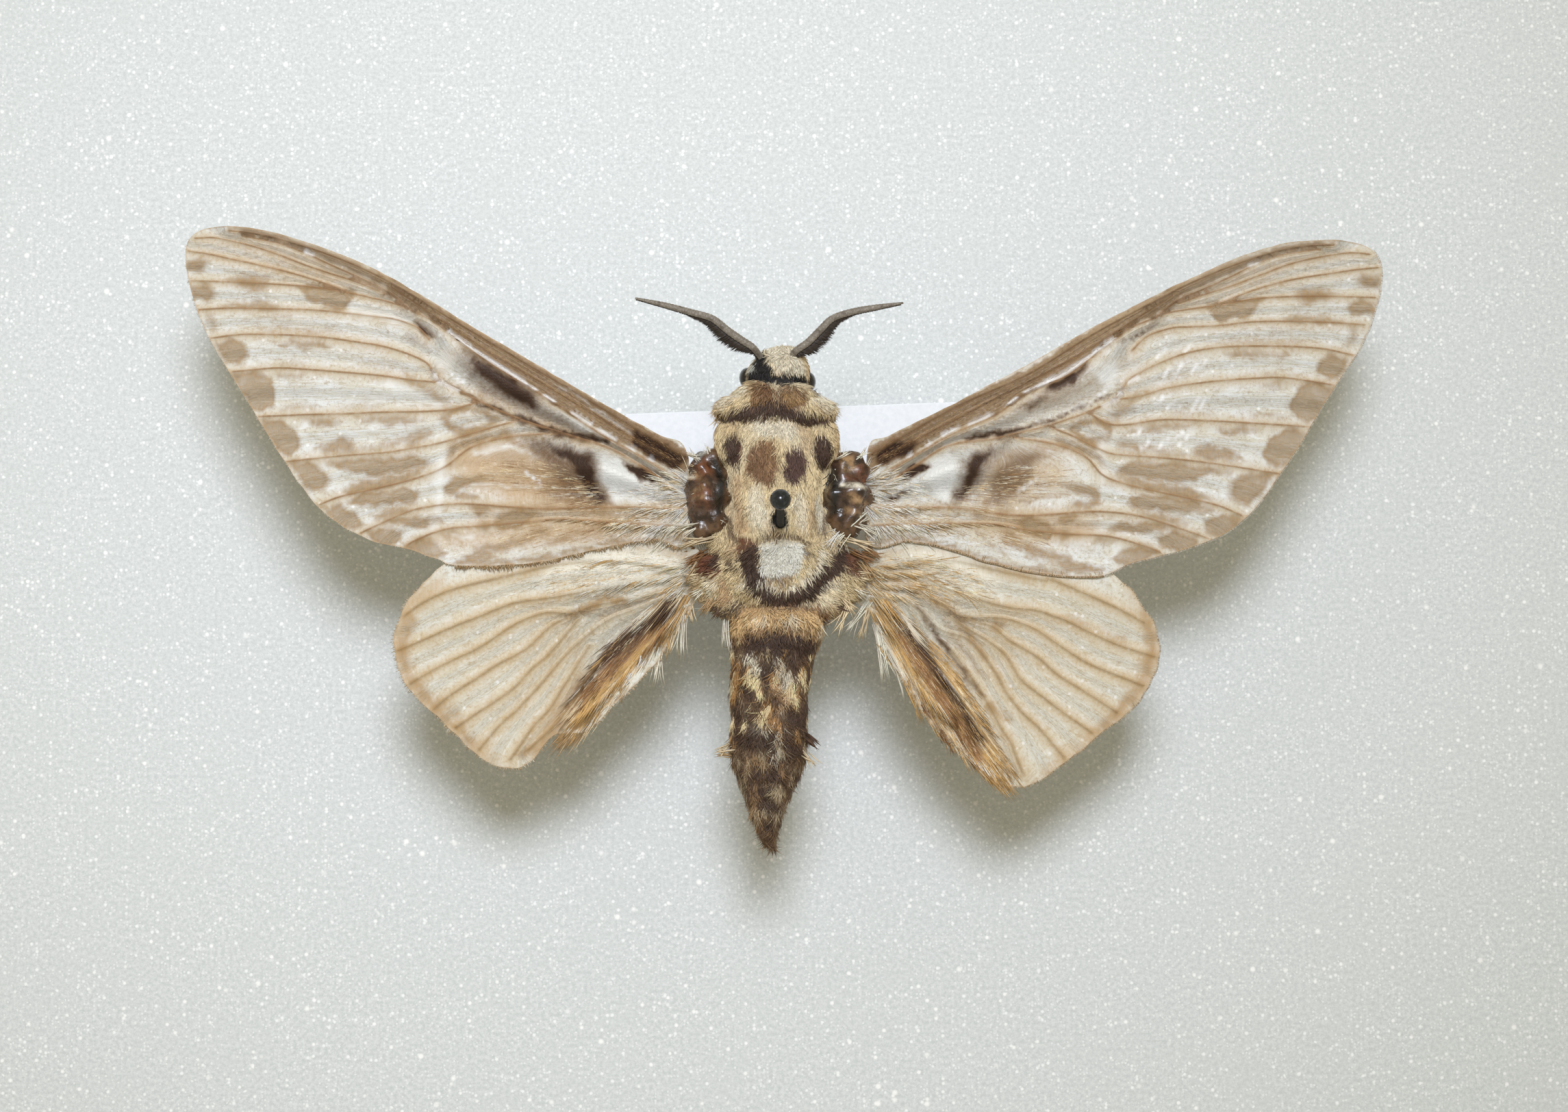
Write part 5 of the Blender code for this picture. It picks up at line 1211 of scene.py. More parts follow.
def vane(name, outline, veins, marks, root, hind=False, rag=0.05 * MM, wide=1.0, painted_glints=()):
    """A wing with raised veins and, kept on its points, the numbers that colour it."""
    plan, faces, ring, lines = plan_of(outline, veins, rag)
    rim = np.concatenate([ring, ring[:1]])
    away = np.array([distance_to(line, plan) for line in lines])
    out = np.linalg.norm(plan - np.array(grid_point(*root)), axis=1)
    thick = (VEIN_R + VEIN_R_MORE * np.exp(-out / VEIN_FADE)) * MM
    ridge = np.clip(1 - away.min(0) / thick, 0, 1)
    vein = np.clip(1 - away.min(0) / (thick * wide), 0, 1)
    weight = 1 / (away + 0.05 * MM) ** 4
    between = (weight * np.arange(len(lines))[:, None]).sum(0) / weight.sum(0)
    edge = distance_to(rim, plan)
    height = np.array([wing_height(x, y) + ripple(x, y) for x, y in plan])
    height -= hind_drop(plan) if hind else 0
    height -= SAG * ease(away.min(0), SAG_FROM, SAG_TO)
    relief = ease(ridge, 0, 1) * np.clip(edge / (0.3 * MM), 0, 1)
    wander = np.array([[lump((x, y, layer), size) for layer, size in WANDER] for x, y in plan])
    at = on_grid(plan) + 6.0 * wander[:, :2] + 3.0 * wander[:, 2:]
    top = np.column_stack([plan, height + VANE_THICK / 2 + (0.10 * MM + 0.5 * thick) * relief])
    under = np.column_stack([plan, height - VANE_THICK / 2 - 0.4 * thick * relief])
    count = len(plan)
    tris = [tuple(face) for face in faces] + [tuple(k + count for k in reversed(face)) for face in faces]
    uses = {}
    for face in faces:
        for a, b in zip(face, list(face[1:]) + [face[0]]):
            uses.setdefault(frozenset((a, b)), []).append((a, b))
    tris += [(b, a, a + count, b + count) for used in uses.values() if len(used) == 1 for a, b in used]
    mesh = bpy.data.meshes.new(name)
    mesh.from_pydata(np.concatenate([top, under]).tolist(), [], tris)
    halo = np.exp(-(away.min(0) / ((0.5 if hind else 0.4) * MM)) ** 2)
    numbers = {"vein": vein, "halo": halo, "edge": np.clip(edge / (1.2 * MM), 0, 1), "out": out / MM}
    for key, strokes in marks.items():
        value = np.zeros(count)
        for strength, soft, mark in strokes:
            value = np.maximum(value, strength * stroke(at, mark, SOFTER.get(key, 1.0) * soft))
        numbers[key] = value
    # Painted highlights: the number below marks the white dashes of light on the film and stem.
    value = np.zeros(count)
    for x0, y0, x1, y1 in painted_glints:
        line = [(x0, y0, PAINTED_GLINT_R), (x1, y1, PAINTED_GLINT_R)]
        value = np.maximum(value, stroke(on_grid(plan), line, PAINTED_GLINT_SOFT))
    numbers["painted_glint"] = value
    for key, value in numbers.items():
        keep_numbers(mesh, key, np.concatenate([value, value]))
    place = np.concatenate([np.stack([out / MM, between], 1)] * 2)
    corner = np.empty(len(mesh.loops), np.int32)
    mesh.loops.foreach_get("vertex_index", corner)
    mesh.uv_layers.new(name="Vane").data.foreach_set("uv", place[corner].astype(np.float32).ravel())
    piece = added(name, mesh)
    only(piece)
    bpy.ops.object.shade_smooth_by_angle(angle=math.radians(50))
    return piece, ring


def moved(marks, move):
    """Markings carried over to the other side of the moth."""
    return {key: [(s, soft, [(*move(p[:2]), *p[2:]) for p in mark]) for s, soft, mark in strokes]
            for key, strokes in marks.items()}


# Painted highlights: white dashes along the front stem of each forewing where it catches the light.
STEM = smooth_line([(657, 489), (700, 518), (760, 557), (830, 601), (890, 638), (950, 672)], 8.0)
painted_stem_glints = []
for n, (x, y) in enumerate(STEM):
    if n < 16 or chance.random() < 0.4:
        painted_stem_glints.append((x - 4, y - 2.5, x + 4, y + 2.5))
painted_stem_glints += [
    (655, 488, 706, 521), (706, 521, 766, 560), (632, 546, 638, 556), (662, 551, 676, 559),
    (640, 560, 668, 573), (440, 368, 452, 372), (768, 692, 792, 709),
]
painted_stem_glints_right = [(*fore_move(g[:2]), *fore_move(g[2:])) for g in painted_stem_glints]
fore_veins = list(FORE_VEINS.values())
hind_veins = list(HIND_VEINS.values())
fore_left, ring_fl = vane("vane_fore_left", FORE_LEFT, fore_veins, FORE_MARKS, (1010, 700),
                          painted_glints=painted_stem_glints)
fore_right, ring_fr = vane("vane_fore_right", FORE_RIGHT, [[fore_move(p) for p in v] for v in fore_veins],
                           {**moved(FORE_MARKS, fore_move), **FORE_OWN_RIGHT}, (1262, 700),
                           painted_glints=PAINTED_GLINTS_RIGHT + painted_stem_glints_right)
hind_left, ring_hl = vane("vane_hind_left", HIND_LEFT, hind_veins, HIND_MARKS_LEFT, (1030, 850),
                          True, 0.14 * MM, 1.5)
hind_right, ring_hr = vane("vane_hind_right", HIND_RIGHT, [[hind_move(p) for p in v] for v in hind_veins],
                           HIND_MARKS_RIGHT, (1240, 850), True, 0.14 * MM, 1.5)

# %% [markdown]
# The film is pale and silky, dusted with scales that lie along the cells. Each kept number is
# broken up by streaky noise before it mixes in its colour, so that the patches get the soft,
# mottled edge of real scales. Fore and hind wings share the recipe and differ in a few colours.

# %% Finish of the wings
def vane_finish(name, silver, cream, dust, brown, vein, pale, line_share, halo_share, bare):
    """A silky film with veins and markings; its veins fade within that many mm of the root."""
    made = Finish(name, 0.42, Specular_IOR_Level=0.28)
    streak = made.grain(1.0, 4.0, 0.6, made.stretched(0.5, 6.0))
    thread = made.grain(1.0, 3.0, 0.65, made.stretched(0.7, 20.0))
    band = made.grain(1.0, 2.0, 0.5, made.stretched(0.07, 4.6))
    speck = made.grain(4200.0, 4.0, 0.8)
    cloud = made.grain(520.0, 4.0, 0.65)
    mixed = made.sum("ADD", made.times(streak, 0.55), made.times(speck, 0.45))
    colour = made.blend(made.step(streak, 0.36, 0.62), cream, silver)
    colour = made.blend(made.step(cloud, 0.42, 0.72, 0.0, 0.5), colour, cream)
    colour = made.blend(made.step(speck, 0.47, 0.72, 0.0, 0.75), colour, dust)
    sheer = made.grain(1.0, 3.0, 0.7, made.stretched(0.9, 11.0))
    colour = made.blend(made.step(sheer, 0.53, 0.66, 0.0, 0.7), colour, tuple(c**0.6 for c in silver))
    colour = made.blend(made.step(sheer, 0.45, 0.34, 0.0, 0.5), colour, dust)
    # Painted sparkle: a few cells of the film are painted near white where single scales catch the light.
    painted_film_sparkle = made.times(made.painted_sparkle(2300.0, 0.84, 0.36), 0.8)
    colour = made.blend(painted_film_sparkle, colour, (0.99, 0.99, 0.98))
    away = made.step(made.kept("out"), bare * 0.6, bare * 1.1, 0.12, 1.0)
    halo = made.times(made.kept("halo"), made.step(mixed, 0.32, 0.6, 0.25, halo_share))
    colour = made.blend(made.times(halo, away), colour, (0.585, 0.42, 0.225))
    warm = made.times(made.ragged("tan", mixed, 0.1, 1.1, 0.6), 0.85)
    colour = made.blend(warm, colour, (0.55, 0.375, 0.20))
    rays = made.ragged("fan", thread, 0.2, 1.0, 1.0)
    deep = made.blend(made.step(made.kept("fan"), 0.5, 1.1), (0.40, 0.265, 0.145), (0.17, 0.095, 0.045))
    colour = made.blend(made.times(rays, 0.92), colour, deep)
    spots = made.ragged("smudge", mixed, 0.08, 0.8, 0.6)
    spots = made.times(spots, made.step(sheer, 0.36, 0.66, 1.0, 0.84))
    deep = made.blend(made.step(speck, 0.38, 0.7), brown, tuple(c * 1.5 for c in brown))
    deep = made.blend(made.step(made.kept("smudge"), 0.7, 1.0, 0.0, 0.45), deep, dust)
    colour = made.blend(made.times(spots, 0.93), colour, deep)
    stripes = made.blend(made.step(band, 0.36, 0.66), (0.29, 0.195, 0.11), (0.43, 0.31, 0.18))
    stripes = made.blend(made.step(thread, 0.45, 0.7, 0.0, 0.3), stripes, (0.17, 0.10, 0.06))
    stripes = made.blend(made.step(speck, 0.5, 0.7, 0.0, 0.6), stripes, (0.52, 0.40, 0.35))
    stripes = made.blend(made.step(speck, 0.46, 0.3, 0.0, 0.6), stripes, (0.19, 0.115, 0.07))
    strip = made.ragged("costa", mixed, 0.15, 0.9, 0.4)
    colour = made.blend(strip, colour, stripes)
    colour = made.blend(made.ragged("white", mixed, 0.25, 1.05, 0.8), colour, pale)
    shade = made.ragged("dark", mixed, 0.12, 1.0, 0.6)
    pitch = made.blend(made.step(made.kept("dark"), 0.35, 1.1), (0.21, 0.115, 0.055), (0.045, 0.022, 0.013))
    pitch = made.blend(made.step(thread, 0.5, 0.72, 0.0, 0.35), pitch, (0.22, 0.125, 0.06))
    colour = made.blend(shade, colour, pitch)
    line = made.times(made.step(made.kept("vein"), 0.3, 0.9), made.step(speck, 0.2, 0.6, 0.65, 1.0))
    line = made.times(line, made.times(away, line_share))
    line = made.times(line, made.step(cloud, 0.36, 0.58, 0.5, 1.0))
    tinge = made.blend(made.step(cloud, 0.35, 0.62), vein, tuple(c * 0.72 for c in vein))
    tinge = made.blend(strip, tinge, (0.19, 0.11, 0.055))
    colour = made.blend(line, colour, tinge)
    rim = made.times(made.step(made.kept("edge"), 0.13, 0.02), made.step(mixed, 0.4, 0.6, 0.2, 0.75))
    colour = made.blend(rim, colour, (0.50, 0.34, 0.19))
    # Painted highlights: the white dashes are painted into the colour.
    colour = made.blend(made.times(made.kept("painted_glint"), 0.95), colour, (1.0, 1.0, 1.0))
    made.paint(colour)
    made.polish(made.step(mixed, 0.3, 0.7, 0.3, 0.6))
    wrinkle = made.grain(1.0, 4.0, 0.7, made.stretched(3.2, 2.4))
    base = made.step(made.kept("out"), 6.0, 15.0, 2.2, 0.5)
    made.relief(made.sum("ADD", made.times(wrinkle, base), made.times(thread, 0.6)), 0.09 * MM)
    return made


fore_film = vane_finish("fore_film", (0.735, 0.75, 0.74), (0.67, 0.635, 0.53), (0.41, 0.325, 0.22),
                        (0.285, 0.185, 0.09), (0.50, 0.29, 0.15), (0.88, 0.88, 0.845), 0.85, 0.68, 2.0)
hind_film = vane_finish("hind_film", (0.73, 0.73, 0.665), (0.69, 0.63, 0.49), (0.47, 0.365, 0.225),
                        (0.33, 0.205, 0.09), (0.42, 0.26, 0.115), (0.96, 0.91, 0.78), 0.42, 0.85, 10.0)
settle(fore_left, fore_film, "forewing_vane", "forewing_left")
settle(fore_right, fore_film, "forewing_vane", "forewing_right")
settle(hind_left, hind_film, "hindwing_vane", "hindwing_left")
settle(hind_right, hind_film, "hindwing_vane", "hindwing_right")

# %% [markdown]
# Feelers, palps and legs are tapering limbs. Each is a tube swept along a smooth line through a
# few measured joints, with a radius at each. A curve with a round bevel gives the same form, but
# its section can't be flattened as a feeler's is, so the rings are laid in code.

# %% Limbs
def limb(name, points, radii, sides=14, flat=1.0, step=0.16 * MM, knots=0.0):
    """A tapering tube through points, closed at both ends."""
    line = smooth_line([(*p, r) for p, r in zip(points, radii)], step)
    shape = bmesh.new()
    loops = []
    for i, (x, y, z, r) in enumerate(line):
        here = Vector((x, y, z))
        ahead = Vector(line[min(i + 1, len(line) - 1)][:3]) - Vector(line[max(i - 1, 0)][:3])
        ahead.normalize()
        side = ahead.cross(Vector((0, 0, 1)))
        side = side.normalized() if side.length > 0.05 else ahead.cross(Vector((0, 1, 0))).normalized()
        up = side.cross(ahead)
        r *= 1 - knots * (i % 2)
        loop = []
        for k in range(sides):
            a = 2 * math.pi * k / sides
            loop.append(shape.verts.new(here + side * (r * math.cos(a)) + up * (r * flat * math.sin(a))))
        loops.append(loop)
    join_loops(shape, loops)
    piece = new_piece(name, shape)
    smooth(piece, 50)
    return piece, line


FEELER_Z = 28.2 * MM
FEELERS = {
    "antenna_left": [
        (1100, 511, 0.28), (1082, 499, 0.3), (1062, 485, 0.3), (1040, 468, 0.28), (1010, 459, 0.27),
        (970, 448, 0.22), (927, 438, 0.08),
    ],
    "antenna_right": [
        (1162, 516, 0.28), (1180, 503, 0.3), (1198, 485, 0.3), (1216, 468, 0.28), (1245, 458, 0.27),
        (1282, 451, 0.22), (1320, 445, 0.08),
    ],
}
LEGS = {
    "foreleg": [
        (1.4, 9.4, 23.6, 0.6), (1.9, 10.8, 21.6, 0.78), (2.5, 11.9, 20.2, 0.42), (2.6, 10.2, 19.3, 0.62),
        (2.4, 8.3, 18.8, 0.4), (2.1, 6.6, 18.6, 0.28), (1.8, 4.9, 18.6, 0.26),
    ],
    "midleg": [
        (1.7, 4.6, 22.6, 0.62), (3.0, 5.6, 20.9, 0.8), (4.2, 6.6, 19.7, 0.42), (4.4, 4.2, 19.1, 0.66),
        (4.1, 1.6, 18.7, 0.4), (3.8, -0.6, 18.6, 0.28), (3.5, -2.8, 18.6, 0.26),
    ],
    "hindleg": [
        (1.7, -0.6, 22.8, 0.62), (2.3, -1.8, 21.0, 0.76), (2.5, -3.4, 19.9, 0.42), (2.0, -6.0, 19.6, 0.64),
        (1.6, -8.8, 19.4, 0.4), (1.3, -11.0, 19.5, 0.28), (1.1, -13.0, 19.8, 0.26),
    ],
}

# %% [markdown]
# A feeler is a grey scaled shaft of many short joints with two combs of fine teeth, the rear one
# dark brown and showing. Shaft and skin of the legs share a recipe of bands, scales and dust with
# different colours. The joints are real rings in the mesh, the scales are relief.

# %% Feelers and legs
def horn_finish(name, low, mid, high, rough=0.5):
    """Scaled horn in three colours, low in the hollows."""
    made = Finish(name, rough, Specular_IOR_Level=0.4, Sheen_Weight=0.2)
    patch = made.grain(2400.0, 4.0, 0.6)
    scale = made.node("TexVoronoi", {"Vector": made.where, "Scale": 9000.0}).outputs["Distance"]
    colour = made.blend(made.step(patch, 0.32, 0.5), low, mid)
    colour = made.blend(made.step(patch, 0.52, 0.72), colour, high)
    made.paint(made.blend(made.step(scale, 0.2, 0.6, 0.0, 0.5), colour, low))
    made.polish(made.step(patch, 0.3, 0.7, rough - 0.1, rough + 0.1))
    made.relief(scale, 0.03 * MM)
    return made


feeler_scales = horn_finish("feeler_scales", (0.12, 0.095, 0.07), (0.27, 0.235, 0.19), (0.42, 0.38, 0.31))
leg_skin = horn_finish("leg_skin", (0.045, 0.026, 0.016), (0.12, 0.075, 0.045), (0.24, 0.16, 0.10))
feelers = {}
for name, points in FEELERS.items():
    line = [(*grid_point(c, r), FEELER_Z) for c, r, _ in points]
    side = -1 if "left" in name else 1
    line = [(line[0][0] - side * 0.6 * MM, line[0][1] - 0.6 * MM, FEELER_Z - 1.0 * MM)] + line
    radii = [w * MM * 0.86 for w in [0.24] + [w for *_, w in points]]
    shaft, feelers[name] = limb("shaft_" + name, line, radii, 12, 0.8, 0.12 * MM, 0.1)
    settle(shaft, feeler_scales, "feeler_grey", name)
legs = {}
for leg, points in LEGS.items():
    for side, sign in (("left", -1), ("right", 1)):
        line = [((sign * x - 0.3) * MM, y * MM, z * MM) for x, y, z, _ in points]
        piece, legs[f"{leg}_{side}"] = limb(f"limb_{leg}_{side}", line, [r * MM * 0.88 for *_, r in points])
        settle(piece, leg_skin, "limb_brown", f"{leg}_{side}")
palps = {}
for name, spot in (("palp_left", (1122, 512)), ("palp_right", (1158, 512))):
    x, y = grid_point(*spot)
    line = [(x, y - 0.9 * MM, 24.6 * MM), (x, y, 23.1 * MM), (x, y + 0.1 * MM, 22.0 * MM)]
    piece, palps[name] = limb("limb_" + name, line, [0.34 * MM, 0.36 * MM, 0.14 * MM])
    settle(piece, leg_skin, "dark_wool", name)

# %% [markdown]
# The eyes are compound: a dark dome of thousands of facets, dull black with a hard gleam. A
# sphere is shaped with a scale and given a relief of small cells; real facets in the mesh would
# cost far more and never be seen at this size.

# %% Eyes
EYE_R, EYE_Z = 0.68 * MM, 25.5 * MM
EYE_SCALE = (0.8, 1.0, 1.1)
EYES = {"eye_left": (1091, 545), "eye_right": (1180, 551)}
facets = Finish("facets", 0.16, Coat_Weight=0.5, Coat_Roughness=0.08)
cell = facets.node("TexVoronoi", {"Vector": facets.where, "Scale": 16000.0}).outputs["Distance"]
facets.paint(facets.blend(facets.step(cell, 0.1, 0.6), (0.028, 0.018, 0.012), (0.006, 0.004, 0.003)))
facets.relief(facets.sum("SUBTRACT", 1.0, cell), 0.012 * MM)
for name, spot in EYES.items():
    eye = ball((*grid_point(*spot), EYE_Z), EYE_SCALE, 40, 24, EYE_R)
    eye.name = "dome_" + name
    bpy.ops.object.shade_smooth()
    settle(eye, facets, "eye_black", name)

# %% [markdown]
# Where the wings meet the thorax lie small horny plates, red-brown and shiny, half buried in
# wool. Each group is four swollen balls melted into one lump by a remesh and then dented by
# noise, which reads as several plates pressed together.

# %% Wing bases
TEGULAE = {"tegula_left": (1034, 722), "tegula_right": (1238, 722)}
TEGULA_LOBES = [
    (1.2, 1.4, 1.8, 1.1), (0.0, 1.6, 1.5, 1.65), (-1.5, 1.3, 1.6, 1.2), (2.2, 0.9, 0.8, 0.9),
]
PLATE_MARKS = [
    ("dark", 1.0, 10, [(1010, 665), (1044, 668), (1056, 700), (1060, 757), (1030, 770), (1008, 760),
        (1004, 700)]),
    ("rust", 1.0, 10, [(1012, 674), (1034, 672), (1042, 690), (1030, 706), (1012, 700)]),
    ("rust", 0.9, 8, [(1022, 712, 4), (1034, 720, 5), (1036, 744, 4)]),
    ("tan", 0.9, 6, [(1006, 700, 3), (1014, 694, 3), (1026, 704, 2)]),
    ("pale", 1.0, 5, [(1001, 696, 3), (1013, 698, 2)]),
    ("rust", 0.8, 8, [(1008, 726), (1024, 718), (1038, 722), (1036, 738), (1018, 744), (1006, 738)]),
    ("tan", 0.6, 6, [(1010, 722, 2), (1026, 717, 3)]), ("tan", 0.6, 6, [(1014, 732, 3), (1028, 730, 3)]),
    ("black", 1.0, 6, [(1044, 676, 4), (1054, 704, 6), (1050, 750, 5)]),
    ("grey", 0.7, 5, [(1012, 664, 3), (1030, 661, 4)]), ("soot", 0.9, 6, [(1018, 708, 2), (1040, 712, 2)]),
    ("dark", 1.0, 10, [(1214, 672), (1256, 665), (1272, 700), (1272, 752), (1230, 768), (1214, 750)]),
    ("black", 1.0, 8, [(1216, 686, 4), (1220, 716, 8), (1218, 748, 5)]),
    ("rust", 1.0, 8, [(1256, 688, 7), (1270, 708, 8)]),
    ("tan", 0.8, 6, [(1226, 668), (1246, 668), (1250, 688), (1232, 692)]),
    ("black", 0.9, 4, [(1234, 680, 3), (1240, 686, 2)]), ("pale", 1.0, 5, [(1230, 712, 3), (1262, 715, 4)]),
    ("tan", 0.8, 8, [(1244, 730, 6), (1262, 740, 6)]), ("rust", 0.8, 6, [(1236, 700, 4), (1250, 702, 3)]),
    ("tan", 0.6, 7, [(1236, 748, 4), (1262, 756, 4)]),
]
shell = Finish("shell", 0.3, Coat_Weight=0.45, Coat_Roughness=0.15)
plates = shell.grain(1900.0, 3.0, 0.55)
shade = shell.blend(shell.step(plates, 0.36, 0.6), (0.30, 0.28, 0.27), (0.85, 0.85, 0.85))
shell.paint(shell.dyed(shade))
shell.polish(shell.step(plates, 0.3, 0.7, 0.18, 0.42))
shell.relief(shell.grain(3000.0, 4.0, 0.6), 0.06 * MM)
bases = {}
for name, spot in TEGULAE.items():
    x0, y0 = grid_point(*spot)
    lobes = []
    for y, *radii in TEGULA_LOBES:
        lobes.append(ball((x0, y0 + y * MM, WING_Z - 0.1 * MM), [r * MM for r in radii], 24, 16))
    only(lobes[0])
    for lobe in lobes:
        lobe.select_set(True)
    bpy.ops.object.join()
    base = lobes[0]
    base.name = "plates_" + name
    melt(base, 0.14 * MM, 3)
    for point, normal in zip(base.data.vertices, [v.normal.copy() for v in base.data.vertices]):
        point.co += normal * (0.42 * MM * lump(point.co, 0.9) + 0.05 * MM * lump(point.co, 0.4))
    bases[name] = base
    points, out = sides_of(base.data)
    colours = np.tile(WOOL["soot"], (len(points), 1))
    for tone, share, soft, mark in PLATE_MARKS:
        colours = lay(colours, share * (out[:, 2] > -0.2) * stroke(on_grid(points), mark, soft), tone)
    keep_colours(base.data, colours)
    settle(base, shell, "dark_shell", name)

# %% [markdown]
# Hair and long scales are real shapes here: each tuft is a tapering blade of seven or ten points
# on a bent line, like a few dozen hairs stuck together on a dry specimen. Thousands of them are
# written into one mesh at once with arrays, which takes a second where single objects would take
# hours. Each keeps its colour on its points and has its own small patch on an unwrap of the skin.

# %% Tufts
PATCH = 0.003
MARGIN = 0.01
CORNER = np.array([(math.cos(a), math.sin(a)) for a in (math.pi / 2, math.pi * 7 / 6, math.pi * 11 / 6)])


def unit(vectors):
    """Vectors of length one."""
    return vectors / np.maximum(np.linalg.norm(vectors, axis=1), 1e-12)[:, None]


def upward(count):
    """As many directions that point straight up."""
    return np.tile((0.0, 0.0, 1.0), (count, 1))


def plan_places(roots):
    """A place on the unwrap for each root, by its place in the plan of the whole model."""
    across = [(roots[:, k] - cad_low[k]) / (cad_high[k] - cad_low[k]) for k in (0, 1)]
    return MARGIN + (1 - 2 * MARGIN) * np.stack(across, 1)


def turned(normals, ways, lift):
    """Directions laid on the surface and then lifted off it."""
    flat = unit(ways - normals * (ways * normals).sum(1)[:, None])
    return unit(flat + normals * np.reshape(lift, (-1, 1)))


def tufts(name, finish, slot, roots, normals, ways, longs, wides, colours, places,
          rings=3, droop=0.25, sway=0.25):
    """A joined mesh of tapering tufts, with a colour on each point and a patch for each root."""
    count = len(roots)
    side = unit(np.cross(ways, normals))
    up = np.cross(side, ways)
    swing = chance.normal(0, sway, (count, 1))
    levels = [0.0, 0.36, 0.7][:rings] if rings > 2 else [0.0, 0.5]
    points = np.empty((count, 3 * rings + 1, 3))
    shades = np.empty((count, 3 * rings + 1, 3))
    spots = np.empty((count, 3 * rings + 1, 2))
    for k, t in enumerate(levels + [1.0]):
        middle = roots + longs[:, None] * (ways * t + side * (swing * t * t) - up * (droop * t * t))
        # Painted shade: each tuft is darker at its root, where the coat shades it, and lighter at its tip.
        shade = colours * (0.86 + 0.2 * t)
        if t == 1.0:
            points[:, -1], shades[:, -1], spots[:, -1] = middle, shade, places + (0, 0.5 * PATCH)
            break
        half = wides[:, None] * (0.5 if k else 0.36) * (1 - t**2.2)
        for n, (c, s) in enumerate(CORNER):
            points[:, 3 * k + n] = middle + side * (half * c) + up * (half * 0.55 * s)
            shades[:, 3 * k + n] = shade
            lie = np.array((c * (1 - 0.5 * t), s * (1 - 0.5 * t) + t * 0.5))
            spots[:, 3 * k + n] = places + 0.5 * PATCH * lie
    faces = [(0, 2, 1)]
    for k in range(rings - 1):
        for n in range(3):
            a, b = 3 * k + n, 3 * k + (n + 1) % 3
            faces += [(a, b, b + 3), (a, b + 3, a + 3)]
    last = 3 * rings
    faces += [(last - 3 + n, last - 3 + (n + 1) % 3, last) for n in range(3)]
    corners = (np.array(faces)[None] + np.arange(count)[:, None, None] * (3 * rings + 1)).reshape(-1)
    mesh = bpy.data.meshes.new(name)
    mesh.vertices.add(count * (3 * rings + 1))
    mesh.vertices.foreach_set("co", points.astype(np.float32).ravel())
    mesh.loops.add(len(corners))
    mesh.loops.foreach_set("vertex_index", corners.astype(np.int32))
    mesh.polygons.add(len(corners) // 3)
    mesh.polygons.foreach_set("loop_start", np.arange(0, len(corners), 3, dtype=np.int32))
    mesh.polygons.foreach_set("use_smooth", np.ones(len(corners) // 3, bool))
    mesh.update(calc_edges=True)
    keep_colours(mesh, np.clip(shades.reshape(-1, 3), 0, 1))
    unwrap = mesh.uv_layers.new(name="OFBake")
    unwrap.data.foreach_set("uv", spots.reshape(-1, 2)[corners].astype(np.float32).ravel())
    piece = added(name, mesh)
    settle(piece, finish, slot)
    return piece


def sprinkle(piece, count, wish):
    """Seeded places on a piece and their normals, by area and by a wish for each of its points."""
    points, normals = sides_of(piece.data)
    piece.data.calc_loop_triangles()
    tris = np.empty(len(piece.data.loop_triangles) * 3, np.int32)
    piece.data.loop_triangles.foreach_get("vertices", tris)
    tris = tris.reshape(-1, 3)
    a, b, c = (points[tris[:, k]] for k in range(3))
    odds = np.linalg.norm(np.cross(b - a, c - a), axis=1) * wish[tris].mean(1)
    pick = tris[chance.choice(len(tris), count, p=odds / odds.sum())]
    share = chance.dirichlet((1.0, 1.0, 1.0), count)[..., None]
    return (points[pick] * share).sum(1), unit((normals[pick] * share).sum(1))


wool_finish = Finish("wool", 0.55, Sheen_Weight=0.06, Sheen_Roughness=0.4)
strand = wool_finish.grain(9000.0, 2.0, 0.5)
tone = wool_finish.blend(wool_finish.step(strand, 0.3, 0.7), (0.86, 0.85, 0.84), (1.0, 1.0, 1.0))
wool_finish.paint(wool_finish.dyed(tone))
wool_finish.polish(wool_finish.step(strand, 0.3, 0.7, 0.45, 0.7))

# %% [markdown]
# The coat of the body lies towards the tail and parts along the back. It is short on head and
# shield, longer behind the wings, and ragged on the abdomen, where the hairs stick together in
# locks. Slow noise turns neighbours the same way, so locks form by themselves.

# %% Coat of the body
PARTING_ROWS = [500, 545, 556, 600, 625, 650, 790, 806, 880, 900, 1000, 1240]
PARTING = [0.3, 0.3, 1.2, 1.0, 0.4, 0.15, 0.25, 1.0, 1.1, 0.4, 0.2, 0.1]
SHIELD = [(1112, 797), (1176, 797), (1172, 832), (1164, 848), (1120, 850), (1110, 836)]
BARE_AT_PIN, BARE_AT_HOLE, SHORT_AT_HOLE = 0.42 * MM, 0.48 * MM, 0.55
BODY_AXIS_Z, BODY_LONG = 25.6 * MM, 745


